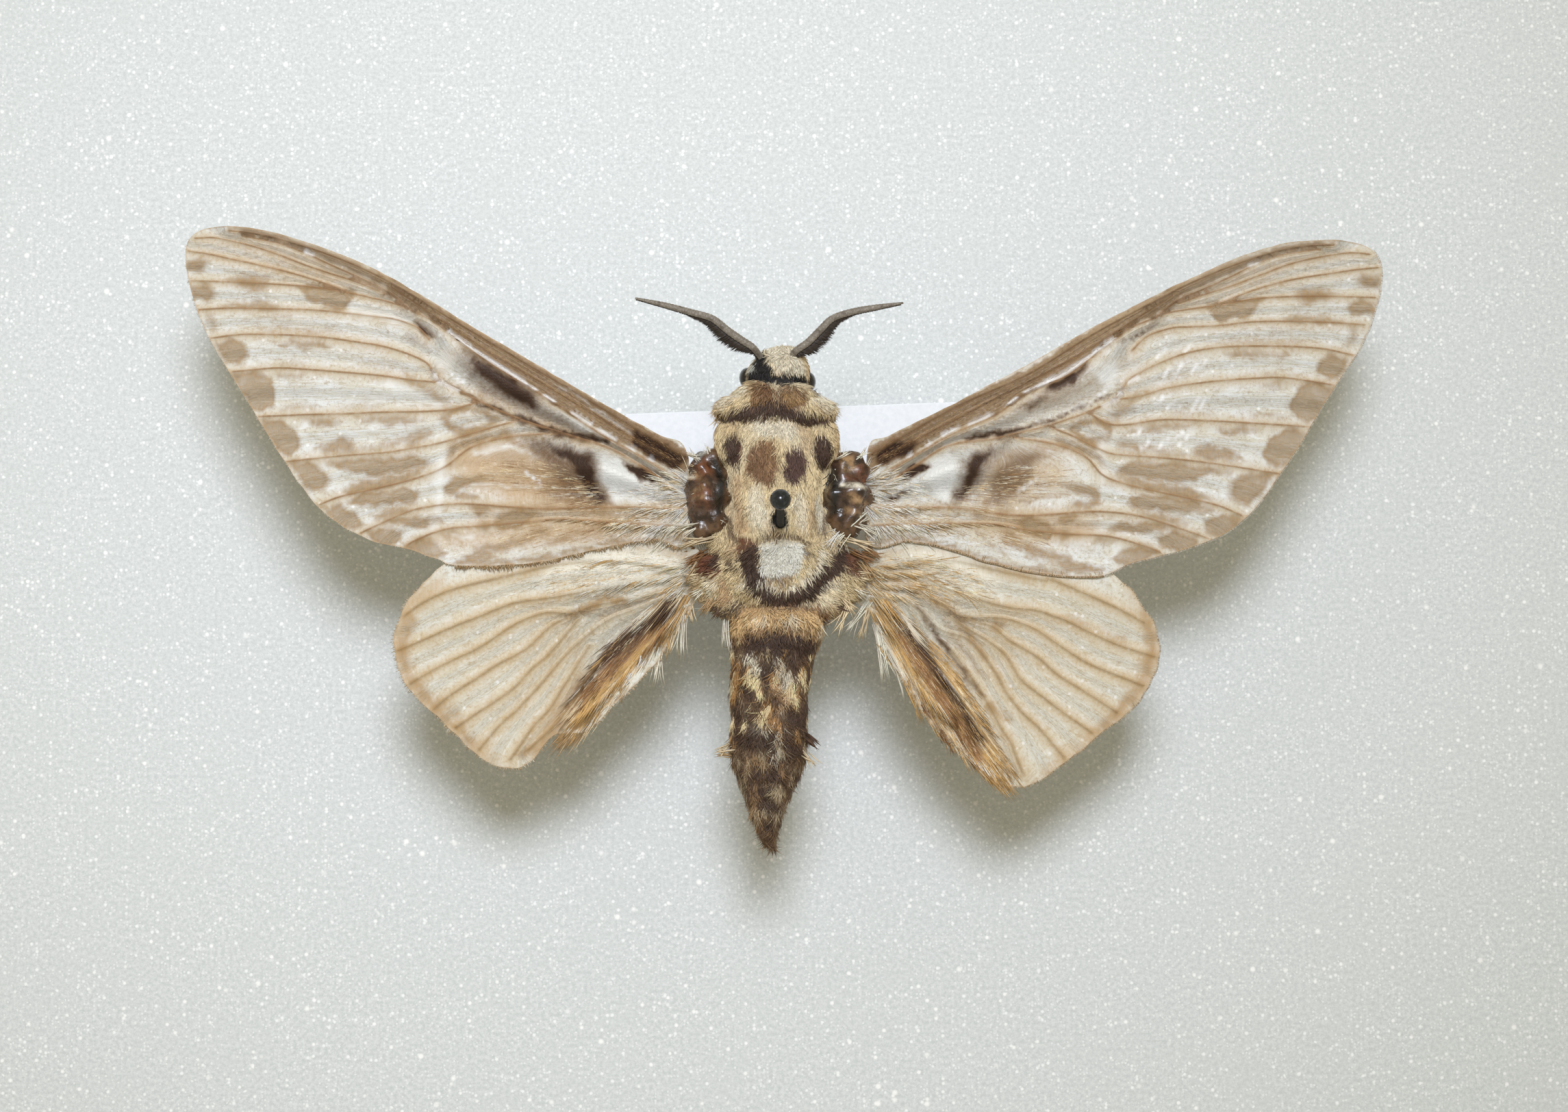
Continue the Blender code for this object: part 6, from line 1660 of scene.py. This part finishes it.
def body_coat(name, slot, rows, count, long, wide, lift, belly=0.5, sway=0.25, stray=2.0):
    """The tufts that grow between two rows of the body."""
    points, normals = sides_of(skin.data)
    at = on_grid(points)
    wish = ((at[:, 1] > rows[0]) & (at[:, 1] < rows[1])).astype(float)
    wish *= np.where(normals[:, 2] < -0.2, belly, 1.0)
    for spot in EYES.values():
        eye = np.array([*grid_point(*spot), EYE_Z])
        wish *= np.linalg.norm((points - eye) / EYE_SCALE, axis=1) > EYE_R * 0.9
    wish *= np.linalg.norm(points[:, :2] - (PIN_X, PIN_Y), axis=1) > BARE_AT_PIN
    wish *= np.linalg.norm(points[:, :2] - hole, axis=1) > BARE_AT_HOLE
    roots, out = sprinkle(skin, count, wish)
    row = on_grid(roots)[:, 1]
    middle = (1137 + 6 * np.sin((row - 500) / 120) - MID_COLUMN) * COLUMN
    sideways = (roots[:, 0] - middle) / (3.6 * MM)
    spread_out = np.interp(row, PARTING_ROWS, PARTING)
    ahead = np.interp(row, [500, 516, 530], [0.9, 0.5, -1.0])
    locks = np.array([(lump(p, 0.9), lump(p + 0.01, 0.9), lump(p, 0.5)) for p in roots])
    ways = np.stack([sideways * spread_out + 0.9 * locks[:, 0], ahead + 0.3 * locks[:, 1],
                     -0.25 + 0 * row], 1) + chance.normal(0, 0.16, (count, 3))
    ways = turned(out, ways, lift * (0.6 + 0.8 * chance.random(count)) * (1 + 0.9 * locks[:, 2]))
    longs = long * MM * (0.65 + 0.7 * chance.random(count)) * (1 + 0.4 * locks[:, 1])
    wides = wide * MM * (0.7 + 0.6 * chance.random(count))
    colours = body_colours(roots, out, stray) * chance.normal(1.0, 0.13, (count, 1)).clip(0.6, 1.4)
    ends = roots[:, :2] + ways[:, :2] * longs[:, None]
    near = np.minimum(np.linalg.norm(ends - hole, axis=1), np.linalg.norm(roots[:, :2] - hole, axis=1)) / MM
    longs = np.where((near < SHORT_AT_HOLE) & (out[:, 2] > 0), longs * 0.12, longs)
    plate = stroke(on_grid(roots), SHIELD, 6.0)
    longs *= 1 - 0.62 * plate * (out[:, 2] > 0)
    angle = np.arctan2(roots[:, 0] - middle, roots[:, 2] - BODY_AXIS_Z)
    down = (row - PARTING_ROWS[0]) / BODY_LONG
    places = np.stack([0.5 + (0.5 - MARGIN) * angle / math.pi, MARGIN + (1 - 2 * MARGIN) * down], 1)
    return tufts(name, wool_finish, slot, roots, out, ways, longs, wides, colours, places, sway=sway)


body_coat("coat_head", "pale_wool", (500, 560), 3600, 0.42, 0.085, 0.35, 0.6)
body_coat("coat_collar", "pale_wool", (556, 622), 6500, 0.62, 0.085, 0.28)
body_coat("coat_thorax", "pale_wool", (616, 812), 12000, 0.62, 0.09, 0.2)
body_coat("coat_shield", "pale_wool", (795, 884), 9000, 0.72, 0.095, 0.34)
body_coat("coat_abdomen_front", "dark_wool", (878, 1060), 11500, 0.8, 0.10, 0.32, 0.6, sway=0.4, stray=3.0)
body_coat("coat_abdomen_rear", "dark_wool", (1050, 1242), 7500, 0.8, 0.10, 0.36, 0.7, sway=0.45, stray=3.0)

# %% [markdown]
# Longer silky hair covers the roots of the wings, above and below, and the part of the hindwing
# next to the abdomen. Its roots lie on the vanes, it runs outwards and back from the root of the
# wing, and it takes the colours that the vane has there, cream over brown.

# %% Hair on the wings
HAIR = {"silk": (0.96, 0.90, 0.76), "cream": (0.92, 0.75, 0.50), "gold": (0.74, 0.47, 0.18),
        "brown": (0.13, 0.065, 0.033), "white": (1.0, 0.98, 0.94), "rust": (0.38, 0.19, 0.07),
        "tan": (0.56, 0.37, 0.18), "pale": (0.96, 0.91, 0.80)}


def wing_hair(name, piece, slot, root, area, count, long, wide, lift, shades, chaos=0.35, rings=3, marks=()):
    """Tufts on a vane inside soft strokes, running away from the wing's root."""
    points, normals = sides_of(piece.data)
    wish = np.zeros(len(points))
    at = on_grid(points)
    for mark in area:
        wish = np.maximum(wish, stroke(at, mark, 14.0))
    wish *= np.where(normals[:, 2] > 0.3, 1.0, 0.35)
    roots, out = sprinkle(piece, count, wish)
    here = on_grid(roots)
    away = here - np.array(root, float)
    away /= np.maximum(np.linalg.norm(away, axis=1), 1e-9)[:, None]
    locks = np.array([(lump(p, 1.3), lump(p + 0.02, 0.8)) for p in roots])
    ways = np.stack([away[:, 0], -away[:, 1], 0 * locks[:, 0]], 1)
    ways = ways + np.stack([-ways[:, 1], ways[:, 0], 0 * ways[:, 0]], 1) * (chaos * locks[:, :1])
    ways = ways + chance.normal(0, 0.25 * chaos, (count, 3))
    ways = turned(out, ways, lift * (0.4 + 1.2 * chance.random(count)))
    side = away[:, 0] * here[:, 1] - away[:, 1] * here[:, 0]
    bands = np.array([mathutils.noise.noise(Vector((s / 9.0, d / 160.0, 0.3))) for s, d in
                      zip(side, np.linalg.norm(here, axis=1))])
    rank = np.clip(0.5 + 0.9 * bands + chance.normal(0, 0.09, count), 0, 0.999)
    ends = np.cumsum([s for _, s in shades]) / sum(s for _, s in shades)
    pick = np.searchsorted(ends, rank, side="right").clip(0, len(shades) - 1)
    colours = np.array([HAIR[n] for n, _ in shades])[pick]
    for tint, mark in marks:
        share = stroke(here, mark, 8.0) * (chance.random(count) < 0.82)
        colours = colours * (1 - share[:, None]) + np.array(HAIR[tint]) * share[:, None]
    colours = colours * (1 + 0.25 * locks[:, 1:]) * chance.normal(1, 0.07, (count, 1)).clip(0.6, 1.4)
    longs = long * MM * (0.5 + chance.random(count))
    wides = wide * MM * (0.7 + 0.6 * chance.random(count))
    places = plan_places(roots)
    places[:, 1] = places[:, 1] * 0.5 + np.where(out[:, 2] < 0, 0.5, 0.0)
    return tufts(name, wool_finish, slot, roots, out, ways, longs, wides, colours.clip(0, 1), places,
                 rings, 0.1, 0.35 * chaos)


FORE_ROOT = (1040, 715)
SILK_AREA = [
    [(1004, 704, 12), (960, 716, 12), (930, 726, 6)],
    [(1004, 750, 24), (960, 760, 22), (915, 766, 12)],
]
STEM_AREA = [
    [(1000, 678, 6), (940, 648, 8), (880, 615, 9), (820, 580, 10), (760, 545, 10), (700, 506, 9),
        (640, 467, 6)],
]
FAN_AREA = [
    [(720, 690, 14), (800, 700, 22), (860, 730, 22)],
    [(740, 784, 10), (860, 772, 16), (970, 752, 14)],
]
for side, mirror, piece in (("left", lambda p: p, fore_left), ("right", fore_move, fore_right)):
    root = mirror(FORE_ROOT)
    silk, stem, golden = [[[(*mirror(p[:2]), p[2]) for p in mark] for mark in area]
                          for area in (SILK_AREA, STEM_AREA, FAN_AREA)]
    wing_hair(f"silk_fore_{side}", piece, "forewing_vane", root, silk, 1300, 1.1, 0.085, 0.0,
              [("tan", 1), ("cream", 3), ("silk", 4), ("white", 5)], 0.4)
    wing_hair(f"scales_costa_{side}", piece, "forewing_vane", root, stem, 1500, 0.34, 0.04, 0.02,
              [("brown", 3), ("rust", 3), ("tan", 4)], 0.05, rings=2)
    wing_hair(f"scales_fan_{side}", piece, "forewing_vane", root, golden, 2200, 0.8, 0.045, 0.03,
              [("rust", 2), ("tan", 3), ("cream", 4), ("silk", 2)], 0.12, rings=2)

ANAL_LEFT = [[(1000, 872, 10), (955, 905, 18), (915, 955, 22), (880, 1000, 18), (850, 1040, 10)]]
ANAL_RIGHT = [[(1284, 880, 12), (1320, 930, 24), (1360, 985, 28), (1400, 1045, 24), (1440, 1100, 14)]]
BASE_LEFT = [[(1026, 834, 20), (990, 838, 26), (930, 836, 26), (860, 840, 18), (800, 848, 8)]]
BASE_RIGHT = [[(1250, 834, 20), (1290, 840, 26), (1350, 842, 26), (1410, 852, 16)]]
ANAL_TONES_LEFT = [
    ("gold", [(985, 900, 14), (945, 935, 16), (905, 975, 16), (870, 1020, 14)]),
    ("rust", [(985, 888, 7), (950, 916, 9), (915, 948, 10), (880, 985, 9), (850, 1012, 8)]),
    ("brown", [(994, 866, 5), (958, 892, 10), (922, 920, 14), (890, 948, 14), (864, 970, 10),
        (838, 1006, 5)]),
    ("brown", [(940, 925, 2), (900, 968, 3)]),
    ("silk", [(965, 885, 3), (930, 895, 4)]),
    ("silk", [(1000, 900, 4), (968, 940, 5), (935, 972, 6), (900, 996, 5)]),
]
ANAL_TONES_RIGHT = [
    ("rust", [(1300, 905, 4), (1345, 965, 9), (1385, 1030, 11), (1420, 1090, 10)]),
    ("gold", [(1340, 900, 7), (1380, 950, 10), (1420, 1010, 10), (1450, 1070, 8)]),
    ("brown", [(1290, 880, 3), (1325, 920, 6), (1366, 974, 6), (1400, 1024, 6), (1430, 1078, 5)]),
    ("brown", [(1340, 882, 2), (1388, 950, 4), (1410, 984, 3)]),
    ("silk", [(1272, 900, 4), (1300, 950, 4), (1332, 1000, 4)]),
    ("silk", [(1300, 880, 4), (1330, 912, 4)]),
]
wing_hair("hair_hind_left", hind_left, "hindwing_vane", (1040, 800), ANAL_LEFT, 5200, 2.1, 0.085, 0.02,
          [("gold", 5), ("tan", 3), ("cream", 3), ("silk", 2)], 0.12, marks=ANAL_TONES_LEFT)
wing_hair("hair_hind_right", hind_right, "hindwing_vane", (1225, 790), ANAL_RIGHT, 6200, 2.1, 0.085, 0.02,
          [("tan", 3), ("gold", 6), ("cream", 3), ("silk", 1)], 0.12, marks=ANAL_TONES_RIGHT)
wing_hair("silk_hind_left", hind_left, "hindwing_vane", (1060, 800), BASE_LEFT, 2600, 1.3, 0.065, 0.0,
          [("gold", 2), ("cream", 4), ("silk", 6), ("white", 2)], 0.3)
wing_hair("silk_hind_right", hind_right, "hindwing_vane", (1210, 800), BASE_RIGHT, 2600, 1.3, 0.065, 0.0,
          [("tan", 2), ("gold", 3), ("cream", 5), ("silk", 3)], 0.3)

# %% [markdown]
# Locks of long hair hang free from the hindwings beside the abdomen, and wool sprouts round the
# horny plates and where wing meets body. Each lock is a handful of tufts that leave one place
# and end at another, spread a little at the root and gathered at the tip.

# %% Free locks
LOCKS = [
    ((1000, 888), (990, 962), 9, "silk"), ((992, 900), (976, 958), 7, "cream"),
    ((968, 930), (957, 1002), 9, "silk"), ((960, 940), (953, 976), 6, "silk"),
    ((940, 958), (922, 984), 8, "white"), ((918, 980), (900, 1006), 8, "white"),
    ((1006, 880), (1012, 908), 7, "cream"), ((975, 915), (968, 962), 6, "gold"),
    ((930, 968), (905, 1000), 8, "cream"), ((870, 1010), (846, 1062), 8, "rust"),
    ((880, 1004), (872, 1052), 8, "gold"), ((895, 1002), (886, 1036), 8, "rust"),
    ((905, 998), (906, 1024), 6, "gold"), ((860, 1030), (850, 1066), 6, "cream"),
    ((1278, 905), (1300, 1000), 10, "silk"), ((1290, 935), (1308, 976), 8, "silk"),
    ((1300, 950), (1336, 1020), 10, "silk"), ((1272, 880), (1252, 936), 8, "cream"),
    ((1268, 872), (1232, 930), 8, "silk"), ((1240, 884), (1220, 930), 7, "cream"),
    ((1290, 930), (1317, 985), 8, "gold"), ((1326, 990), (1352, 1052), 8, "gold"),
    ((1350, 1030), (1382, 1082), 8, "rust"), ((1376, 1056), (1396, 1098), 8, "rust"),
    ((1404, 1080), (1430, 1120), 6, "cream"), ((1030, 762), (984, 782), 9, "silk"),
    ((1040, 786), (990, 800), 9, "cream"), ((1002, 742), (1056, 786), 18, "white"),
    ((1010, 752), (1044, 792), 14, "white"), ((1016, 740), (1060, 772), 12, "silk"),
    ((1000, 762), (1034, 800), 12, "silk"), ((1020, 672), (1004, 662), 10, "silk"),
    ((1040, 668), (1030, 656), 10, "pale"), ((1050, 664), (1038, 676), 9, "silk"),
    ((1040, 692), (1006, 684), 8, "cream"), ((1244, 764), (1290, 784), 9, "silk"),
    ((1236, 788), (1284, 802), 9, "cream"), ((1270, 742), (1216, 782), 18, "white"),
    ((1262, 752), (1208, 800), 14, "silk"), ((1228, 774), (1206, 806), 10, "white"),
    ((1226, 676), (1240, 660), 10, "silk"), ((1252, 672), (1266, 660), 10, "silk"),
    ((1222, 690), (1238, 696), 8, "white"), ((1226, 716), (1256, 722), 8, "silk"),
    ((1040, 838), (1000, 846), 14, "cream"), ((1036, 852), (1008, 876), 14, "silk"),
    ((1050, 866), (1022, 898), 12, "tan"), ((1058, 846), (1070, 880), 12, "cream"),
    ((1084, 850), (1096, 872), 8, "white"), ((1088, 862), (1108, 884), 8, "silk"),
    ((1060, 872), (1040, 904), 10, "brown"), ((1090, 876), (1060, 886), 8, "brown"),
    ((1234, 838), (1272, 846), 14, "cream"), ((1238, 852), (1266, 876), 14, "silk"),
    ((1224, 866), (1250, 900), 12, "cream"), ((1216, 846), (1204, 880), 12, "cream"),
    ((1190, 862), (1186, 884), 8, "silk"), ((1208, 880), (1240, 892), 8, "brown"),
    ((1030, 806), (998, 824), 12, "rust"), ((1010, 800), (985, 812), 10, "rust"),
    ((1246, 806), (1276, 824), 12, "rust"), ((1262, 800), (1288, 812), 10, "rust"),
    ((1020, 822), (1000, 852), 12, "tan"), ((1254, 822), (1280, 850), 12, "tan"),
    ((1196, 590), (1228, 610), 12, "cream"), ((1192, 580), (1222, 596), 10, "silk"),
    ((1056, 600), (1044, 626), 8, "cream"), ((1070, 1088), (1047, 1096), 9, "cream"),
    ((1070, 1100), (1048, 1098), 7, "tan"), ((1176, 1072), (1193, 1088), 9, "brown"),
    ((1174, 1098), (1192, 1114), 7, "cream"), ((1060, 900), (1058, 950), 8, "silk"),
    ((1192, 896), (1198, 930), 8, "silk"),
]
SHIELD_ROW, ABDOMEN_ROW = 800, 890
MATTED_ROWS = (660, 880)
BODY_HALF, ABDOMEN_HALF = 125, 90  # columns; a lock that starts nearer the middle grows on the body
THORAX_Z, SHIELD_Z, ABDOMEN_Z = 27.5 * MM, 27.0 * MM, 26.2 * MM
LOCK_WIDE = (0.10, 0.18)
roots, tips, tones, sizes = [], [], [], []
for start, end, count, tone_name in LOCKS:
    inner = abs(start[0] - MID_COLUMN) < (BODY_HALF if start[1] < ABDOMEN_ROW else ABDOMEN_HALF)
    x0, y0 = grid_point(*start)
    x1, y1 = grid_point(*end)
    z0 = THORAX_Z if start[1] < SHIELD_ROW else SHIELD_Z
    if start[1] > ABDOMEN_ROW:
        z0 = ABDOMEN_Z
    if not inner:
        z0 = wing_height(x0, y0) - float(hind_drop(np.array([(x0, y0)]))[0]) - 0.05 * MM
    z1 = z0 + (0.25 if inner else -0.3) * MM
    matted = MATTED_ROWS[0] < start[1] < MATTED_ROWS[1]
    for _ in range(count):
        roots.append(np.array([x0, y0, z0]) + chance.normal(0, 0.17, 3) * MM * (1, 1, 0.6))
        tips.append(np.array([x1, y1, z1]) + chance.normal(0, 0.17 if inner or matted else 0.06, 3) * MM)
        tones.append(np.array(HAIR[tone_name]) * chance.uniform(0.78, 1.15))
        sizes.append(chance.uniform(*LOCK_WIDE) * MM)
roots, tips = np.array(roots), np.array(tips)
longs = np.linalg.norm(tips - roots, axis=1)
ways = unit(tips - roots)
ups = unit(np.cross(np.cross(ways, upward(len(ways))), ways))
places = plan_places(roots)
tufts("locks_free", wool_finish, "pale_wool", roots, ups, ways, longs, np.array(sizes),
      np.array(tones).clip(0, 1), places, droop=0.1, sway=0.12)

# %% [markdown]
# Along the outer and hind edges each wing carries a fringe of scales, short and even on the
# forewing, longer and ragged on the hindwing. They stand on the rim of the vane and point out
# from it, so the fringe is grown straight from the ring of points that the vane was cut from.

# %% Fringes
def fringe(name, slot, ring, keep, every, long, wide, shades, hind=False):
    """Tufts that point outwards from part of a vane's ring."""
    count = int(np.linalg.norm(np.diff(ring, axis=0), axis=1).sum() / every)
    at = np.linspace(0, len(ring) - 1.001, count)
    n = at.astype(int)
    t = (at - n)[:, None]
    here = ring[n] * (1 - t) + ring[n + 1] * t
    run = unit(np.roll(ring, -2, 0) - np.roll(ring, 2, 0))[n]
    out = np.stack([run[:, 1], -run[:, 0]], 1)
    good = np.array([keep(*p) for p in on_grid(here)])
    here, out = here[good], out[good]
    count = len(here)
    heights = np.array([wing_height(x, y) + ripple(x, y) for x, y in here]) - 0.07 * MM
    heights -= hind_drop(here) if hind else 0
    roots = np.column_stack([here - out * 0.1 * MM, heights])
    bend = np.array([lump(p, 0.6) for p in roots])[:, None]
    ways = np.column_stack([out + run[good] * (0.45 * bend), chance.normal(0, 0.12, count)])
    ways = unit(ways + chance.normal(0, 0.10, (count, 3)))
    odds = np.array([share for _, share in shades])
    pick = chance.choice(len(shades), count, p=odds / odds.sum())
    colours = np.array([colour for colour, _ in shades])[pick]
    colours = colours * chance.normal(1, 0.12, (count, 1)).clip(0.6, 1.4)
    longs = long * MM * (0.55 + 0.9 * chance.random(count)) * (1 + 0.6 * bend[:, 0])
    places = plan_places(roots)
    return tufts(name, wool_finish, slot, roots, upward(count), ways, longs, np.full(count, wide * MM),
                 colours.clip(0, 1), places, 2, 0.1, 0.15)


SEAM = [((0.42, 0.26, 0.11), 4), ((0.60, 0.40, 0.20), 3), ((0.74, 0.60, 0.40), 2)]
fringe("seam_left", "forewing_vane", ring_fl, lambda c, r: r > 770 and 664 < c < 1015, 0.03 * MM,
       0.36, 0.07, SEAM)
fringe("seam_right", "forewing_vane", ring_fr, lambda c, r: r > 770 and 1265 < c < 1612, 0.03 * MM,
       0.36, 0.07, SEAM)
FORE_FRINGE = [((0.84, 0.78, 0.68), 5), ((0.62, 0.47, 0.32), 2)]
HIND_FRINGE = [((0.74, 0.60, 0.40), 4), ((0.54, 0.38, 0.21), 2), ((0.86, 0.80, 0.66), 2)]
fringe("fringe_fore_left", "forewing_vane", ring_fl,
       lambda c, r: r - 360 > 0.5 * (c - 300) and c < 1000, 0.06 * MM, 0.17, 0.06, FORE_FRINGE)
fringe("fringe_fore_right", "forewing_vane", ring_fr,
       lambda c, r: r - 380 > 0.5 * (1978 - c) and c > 1278, 0.06 * MM, 0.17, 0.06, FORE_FRINGE)
fringe("fringe_hind_left", "hindwing_vane", ring_hl, lambda c, r: r > 850 and c < 1000, 0.055 * MM,
       0.26, 0.07, HIND_FRINGE, True)
fringe("fringe_hind_right", "hindwing_vane", ring_hr, lambda c, r: r > 850 and c > 1275, 0.055 * MM,
       0.26, 0.07, HIND_FRINGE, True)

# %% [markdown]
# The small parts get their own growth: two combs of teeth on each feeler, short bristles and two
# claws on each leg, cream hair on the palps and round the horny plates. All use the same tuft,
# only its size, lie and colour change.

# %% Combs, claws and bristles
def along(line, count, radius):
    """Places spread over a limb, with the way it runs there and the way out of it."""
    pick = chance.random(count) * (len(line) - 2)
    n = pick.astype(int)
    t = (pick - n)[:, None]
    middle = line[n, :3] * (1 - t) + line[n + 1, :3] * t
    ahead = unit(line[n + 1, :3] - line[n, :3])
    angle = chance.random((count, 1)) * 2 * math.pi
    side = unit(np.cross(ahead, upward(count)))
    out = side * np.cos(angle) + np.cross(side, ahead) * np.sin(angle)
    return middle + out * (line[n, 3:4] * radius), ahead, out, n / len(line)


COMB_AT = [0.06, 0.2, 0.34, 0.5, 0.62, 1.0]
COMB_LONG = [0.25, 0.95, 0.9, 0.45, 0.18, 0.08]
REAR_TEETH, FRONT_TEETH = 9, 2
roots, ways, normals, longs, tones = [], [], [], [], []
for line in feelers.values():
    total = len(line)
    for k, (x, y, z, r) in enumerate(line[1:-2]):
        share = k / total
        ahead = unit(line[k + 2:k + 3, :3] - line[k + 1:k + 2, :3])[0]
        rear = np.cross(ahead, (0, 0, 1))
        rear *= -math.copysign(1.0, rear[1])
        full = np.interp(share, COMB_AT, COMB_LONG)
        for way, reach, low in ((rear, full, 1), (-rear, 0.14 * (1 - share), 0)):
            for _ in range(REAR_TEETH if low else FRONT_TEETH):
                roots.append(np.array([x, y, z]) + way * r * 0.5 + ahead * chance.normal(0, 0.05) * MM
                             - np.array([0, 0, 0.12 * MM * low]))
                ways.append(way + ahead * 0.5 - np.array([0, 0, 0.35 * low]) + chance.normal(0, 0.07, 3))
                normals.append((0.0, 0.0, 1.0))
                longs.append(reach * MM * chance.uniform(0.85, 1.1))
                tones.append((0.045, 0.03, 0.02) if low else (0.34, 0.29, 0.22))
roots, normals, longs = np.array(roots), np.array(normals), np.array(longs)
places = plan_places(roots)
tufts("combs", wool_finish, "feeler_grey", roots, normals, unit(np.array(ways)), longs,
      np.full(len(roots), 0.10 * MM), np.array(tones), places, droop=0.1, sway=0.05)

roots, ways, normals, longs, wides, tones = [], [], [], [], [], []
for line in legs.values():
    at, ahead, out, share = along(np.array(line), 420, 0.8)
    roots.append(at)
    ways.append(unit(ahead + out * 0.45 + chance.normal(0, 0.15, at.shape)))
    normals.append(out)
    longs.append(chance.uniform(0.25, 0.6, len(at)) * MM * (1.2 - 0.8 * share))
    wides.append(np.full(len(at), 0.075 * MM))
    tones.append(np.where(chance.random((len(at), 1)) < 0.35, (0.40, 0.29, 0.18), (0.10, 0.06, 0.036)))
for line in palps.values():
    at, ahead, out, _ = along(np.array(line), 160, 0.8)
    roots.append(at)
    ways.append(unit(ahead + out * 0.4 + chance.normal(0, 0.15, at.shape)))
    normals.append(out)
    longs.append(chance.uniform(0.25, 0.45, len(at)) * MM)
    wides.append(np.full(len(at), 0.075 * MM))
    tones.append(np.where(chance.random((len(at), 1)) < 0.4, (0.50, 0.38, 0.24), (0.14, 0.08, 0.045)))
for name, base in bases.items():
    _, out = sides_of(base.data)
    at, out = sprinkle(base, 60, np.where(np.abs(out[:, 2]) < 0.6, 1.0, 0.1))
    sideways = -1.0 if "left" in name else 1.0
    back = np.tile((sideways * 0.8, -0.6, 0.0), (len(at), 1)) + chance.normal(0, 0.2, at.shape)
    ways.append(turned(out, back, 0.12))
    roots.append(at)
    normals.append(out)
    longs.append(chance.uniform(0.25, 0.55, len(at)) * MM)
    wides.append(np.full(len(at), 0.06 * MM))
    tones.append(np.where(chance.random((len(at), 1)) < 0.45, (0.86, 0.80, 0.68), (0.12, 0.06, 0.035)))
grown = (roots, ways, normals, longs, wides, tones)
roots, ways, normals, longs, wides, tones = (np.concatenate(part) for part in grown)
places = plan_places(roots)
tufts("bristles", wool_finish, "limb_brown", roots, normals, ways, longs, wides,
      tones * chance.normal(1, 0.12, (len(roots), 1)).clip(0.6, 1.4), places, droop=0.15, sway=0.15)

roots, ways = [], []
for line in legs.values():
    end, before = np.array(line[-1][:3]), np.array(line[-4][:3])
    run = (end - before) / np.linalg.norm(end - before)
    for turn in (-0.6, 0.6):
        roots.append(end - run * 0.05 * MM)
        ways.append(run + (turn, 0, -0.5))
roots, ways = np.array(roots), unit(np.array(ways))
places = plan_places(roots)
count = len(roots)
tufts("claws", leg_skin, "limb_brown", roots, upward(count), ways, np.full(count, 0.55 * MM),
      np.full(count, 0.17 * MM), np.full((count, 3), 0.05), places, droop=0.35, sway=0.0)

# %% [markdown]
# The specimen was photographed from almost straight above, with one lamp high up and a little
# towards the head. The lamp's soft-edged shadow falls on the board behind the wings. A disk of
# light gives that edge, and a pale grey world fills the shadows as a white room would.

# %% Floor, light and camera
bpy.ops.object.select_all(action="DESELECT")
bpy.ops.mesh.primitive_plane_add(size=6.0, location=(0, 0, 0))
floor = bpy.context.object
floor.name = "floor"
floor_paint = Finish("floor_paint", 0.8)
clouds = floor_paint.step(floor_paint.grain(40.0, 3.0), 0.3, 0.7)
floor_paint.paint(floor_paint.blend(clouds, (0.80, 0.81, 0.81), (0.84, 0.85, 0.85)))
wear(floor, floor_paint)
floor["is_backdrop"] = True

AIM = Vector((0.23 * MM, 0, WING_Z))
LIGHT_AWAY, LIGHT_LEAN = 540 * MM, math.radians(12.5)
LIGHT_SIZE, LIGHT_SPREAD, LIGHT_WATTS = 190 * MM, math.radians(28), 0.096
ROOM_COLOUR, ROOM_STRENGTH = (1.0, 0.91, 0.68, 1), 0.45
lamp = added("key_light", bpy.data.lights.new("key_light", "AREA"))
lamp.data.shape = "DISK"
lamp.data.size = LIGHT_SIZE
lamp.data.spread = LIGHT_SPREAD
lamp.data.energy = LIGHT_WATTS
lamp.data.color = (0.84, 0.89, 1.0)
lamp.location = AIM + Vector((0, math.sin(LIGHT_LEAN), math.cos(LIGHT_LEAN))) * LIGHT_AWAY
aside = (Vector((-16, 22, 0)) * MM - lamp.location).normalized()
lamp.rotation_euler = aside.to_track_quat("-Z", "Y").to_euler()
lamp.visible_camera = False
sky = bpy.data.worlds.new("room")
sky.use_nodes = True
sky.node_tree.nodes["Background"].inputs["Color"].default_value = ROOM_COLOUR
sky.node_tree.nodes["Background"].inputs["Strength"].default_value = ROOM_STRENGTH
bpy.context.scene.world = sky

CAMERA_AWAY, CAMERA_LENS = 420 * MM, 145.8
camera = added("camera", bpy.data.cameras.new("camera"))
camera.data.lens = CAMERA_LENS
camera.data.clip_start = 0.01
camera.data.clip_end = 20.0
camera.location = AIM + Vector((0, -math.sin(CAMERA_LEAN), math.cos(CAMERA_LEAN))) * CAMERA_AWAY
camera.rotation_euler = (CAMERA_LEAN, 0, 0)
bpy.context.scene.camera = camera
bpy.context.scene.view_settings.view_transform = "Standard"

# %% [markdown]
# Last the sizes of the frame's solids are printed once more.

# %% Sizes and finish
print("cad", cad_low, cad_high)
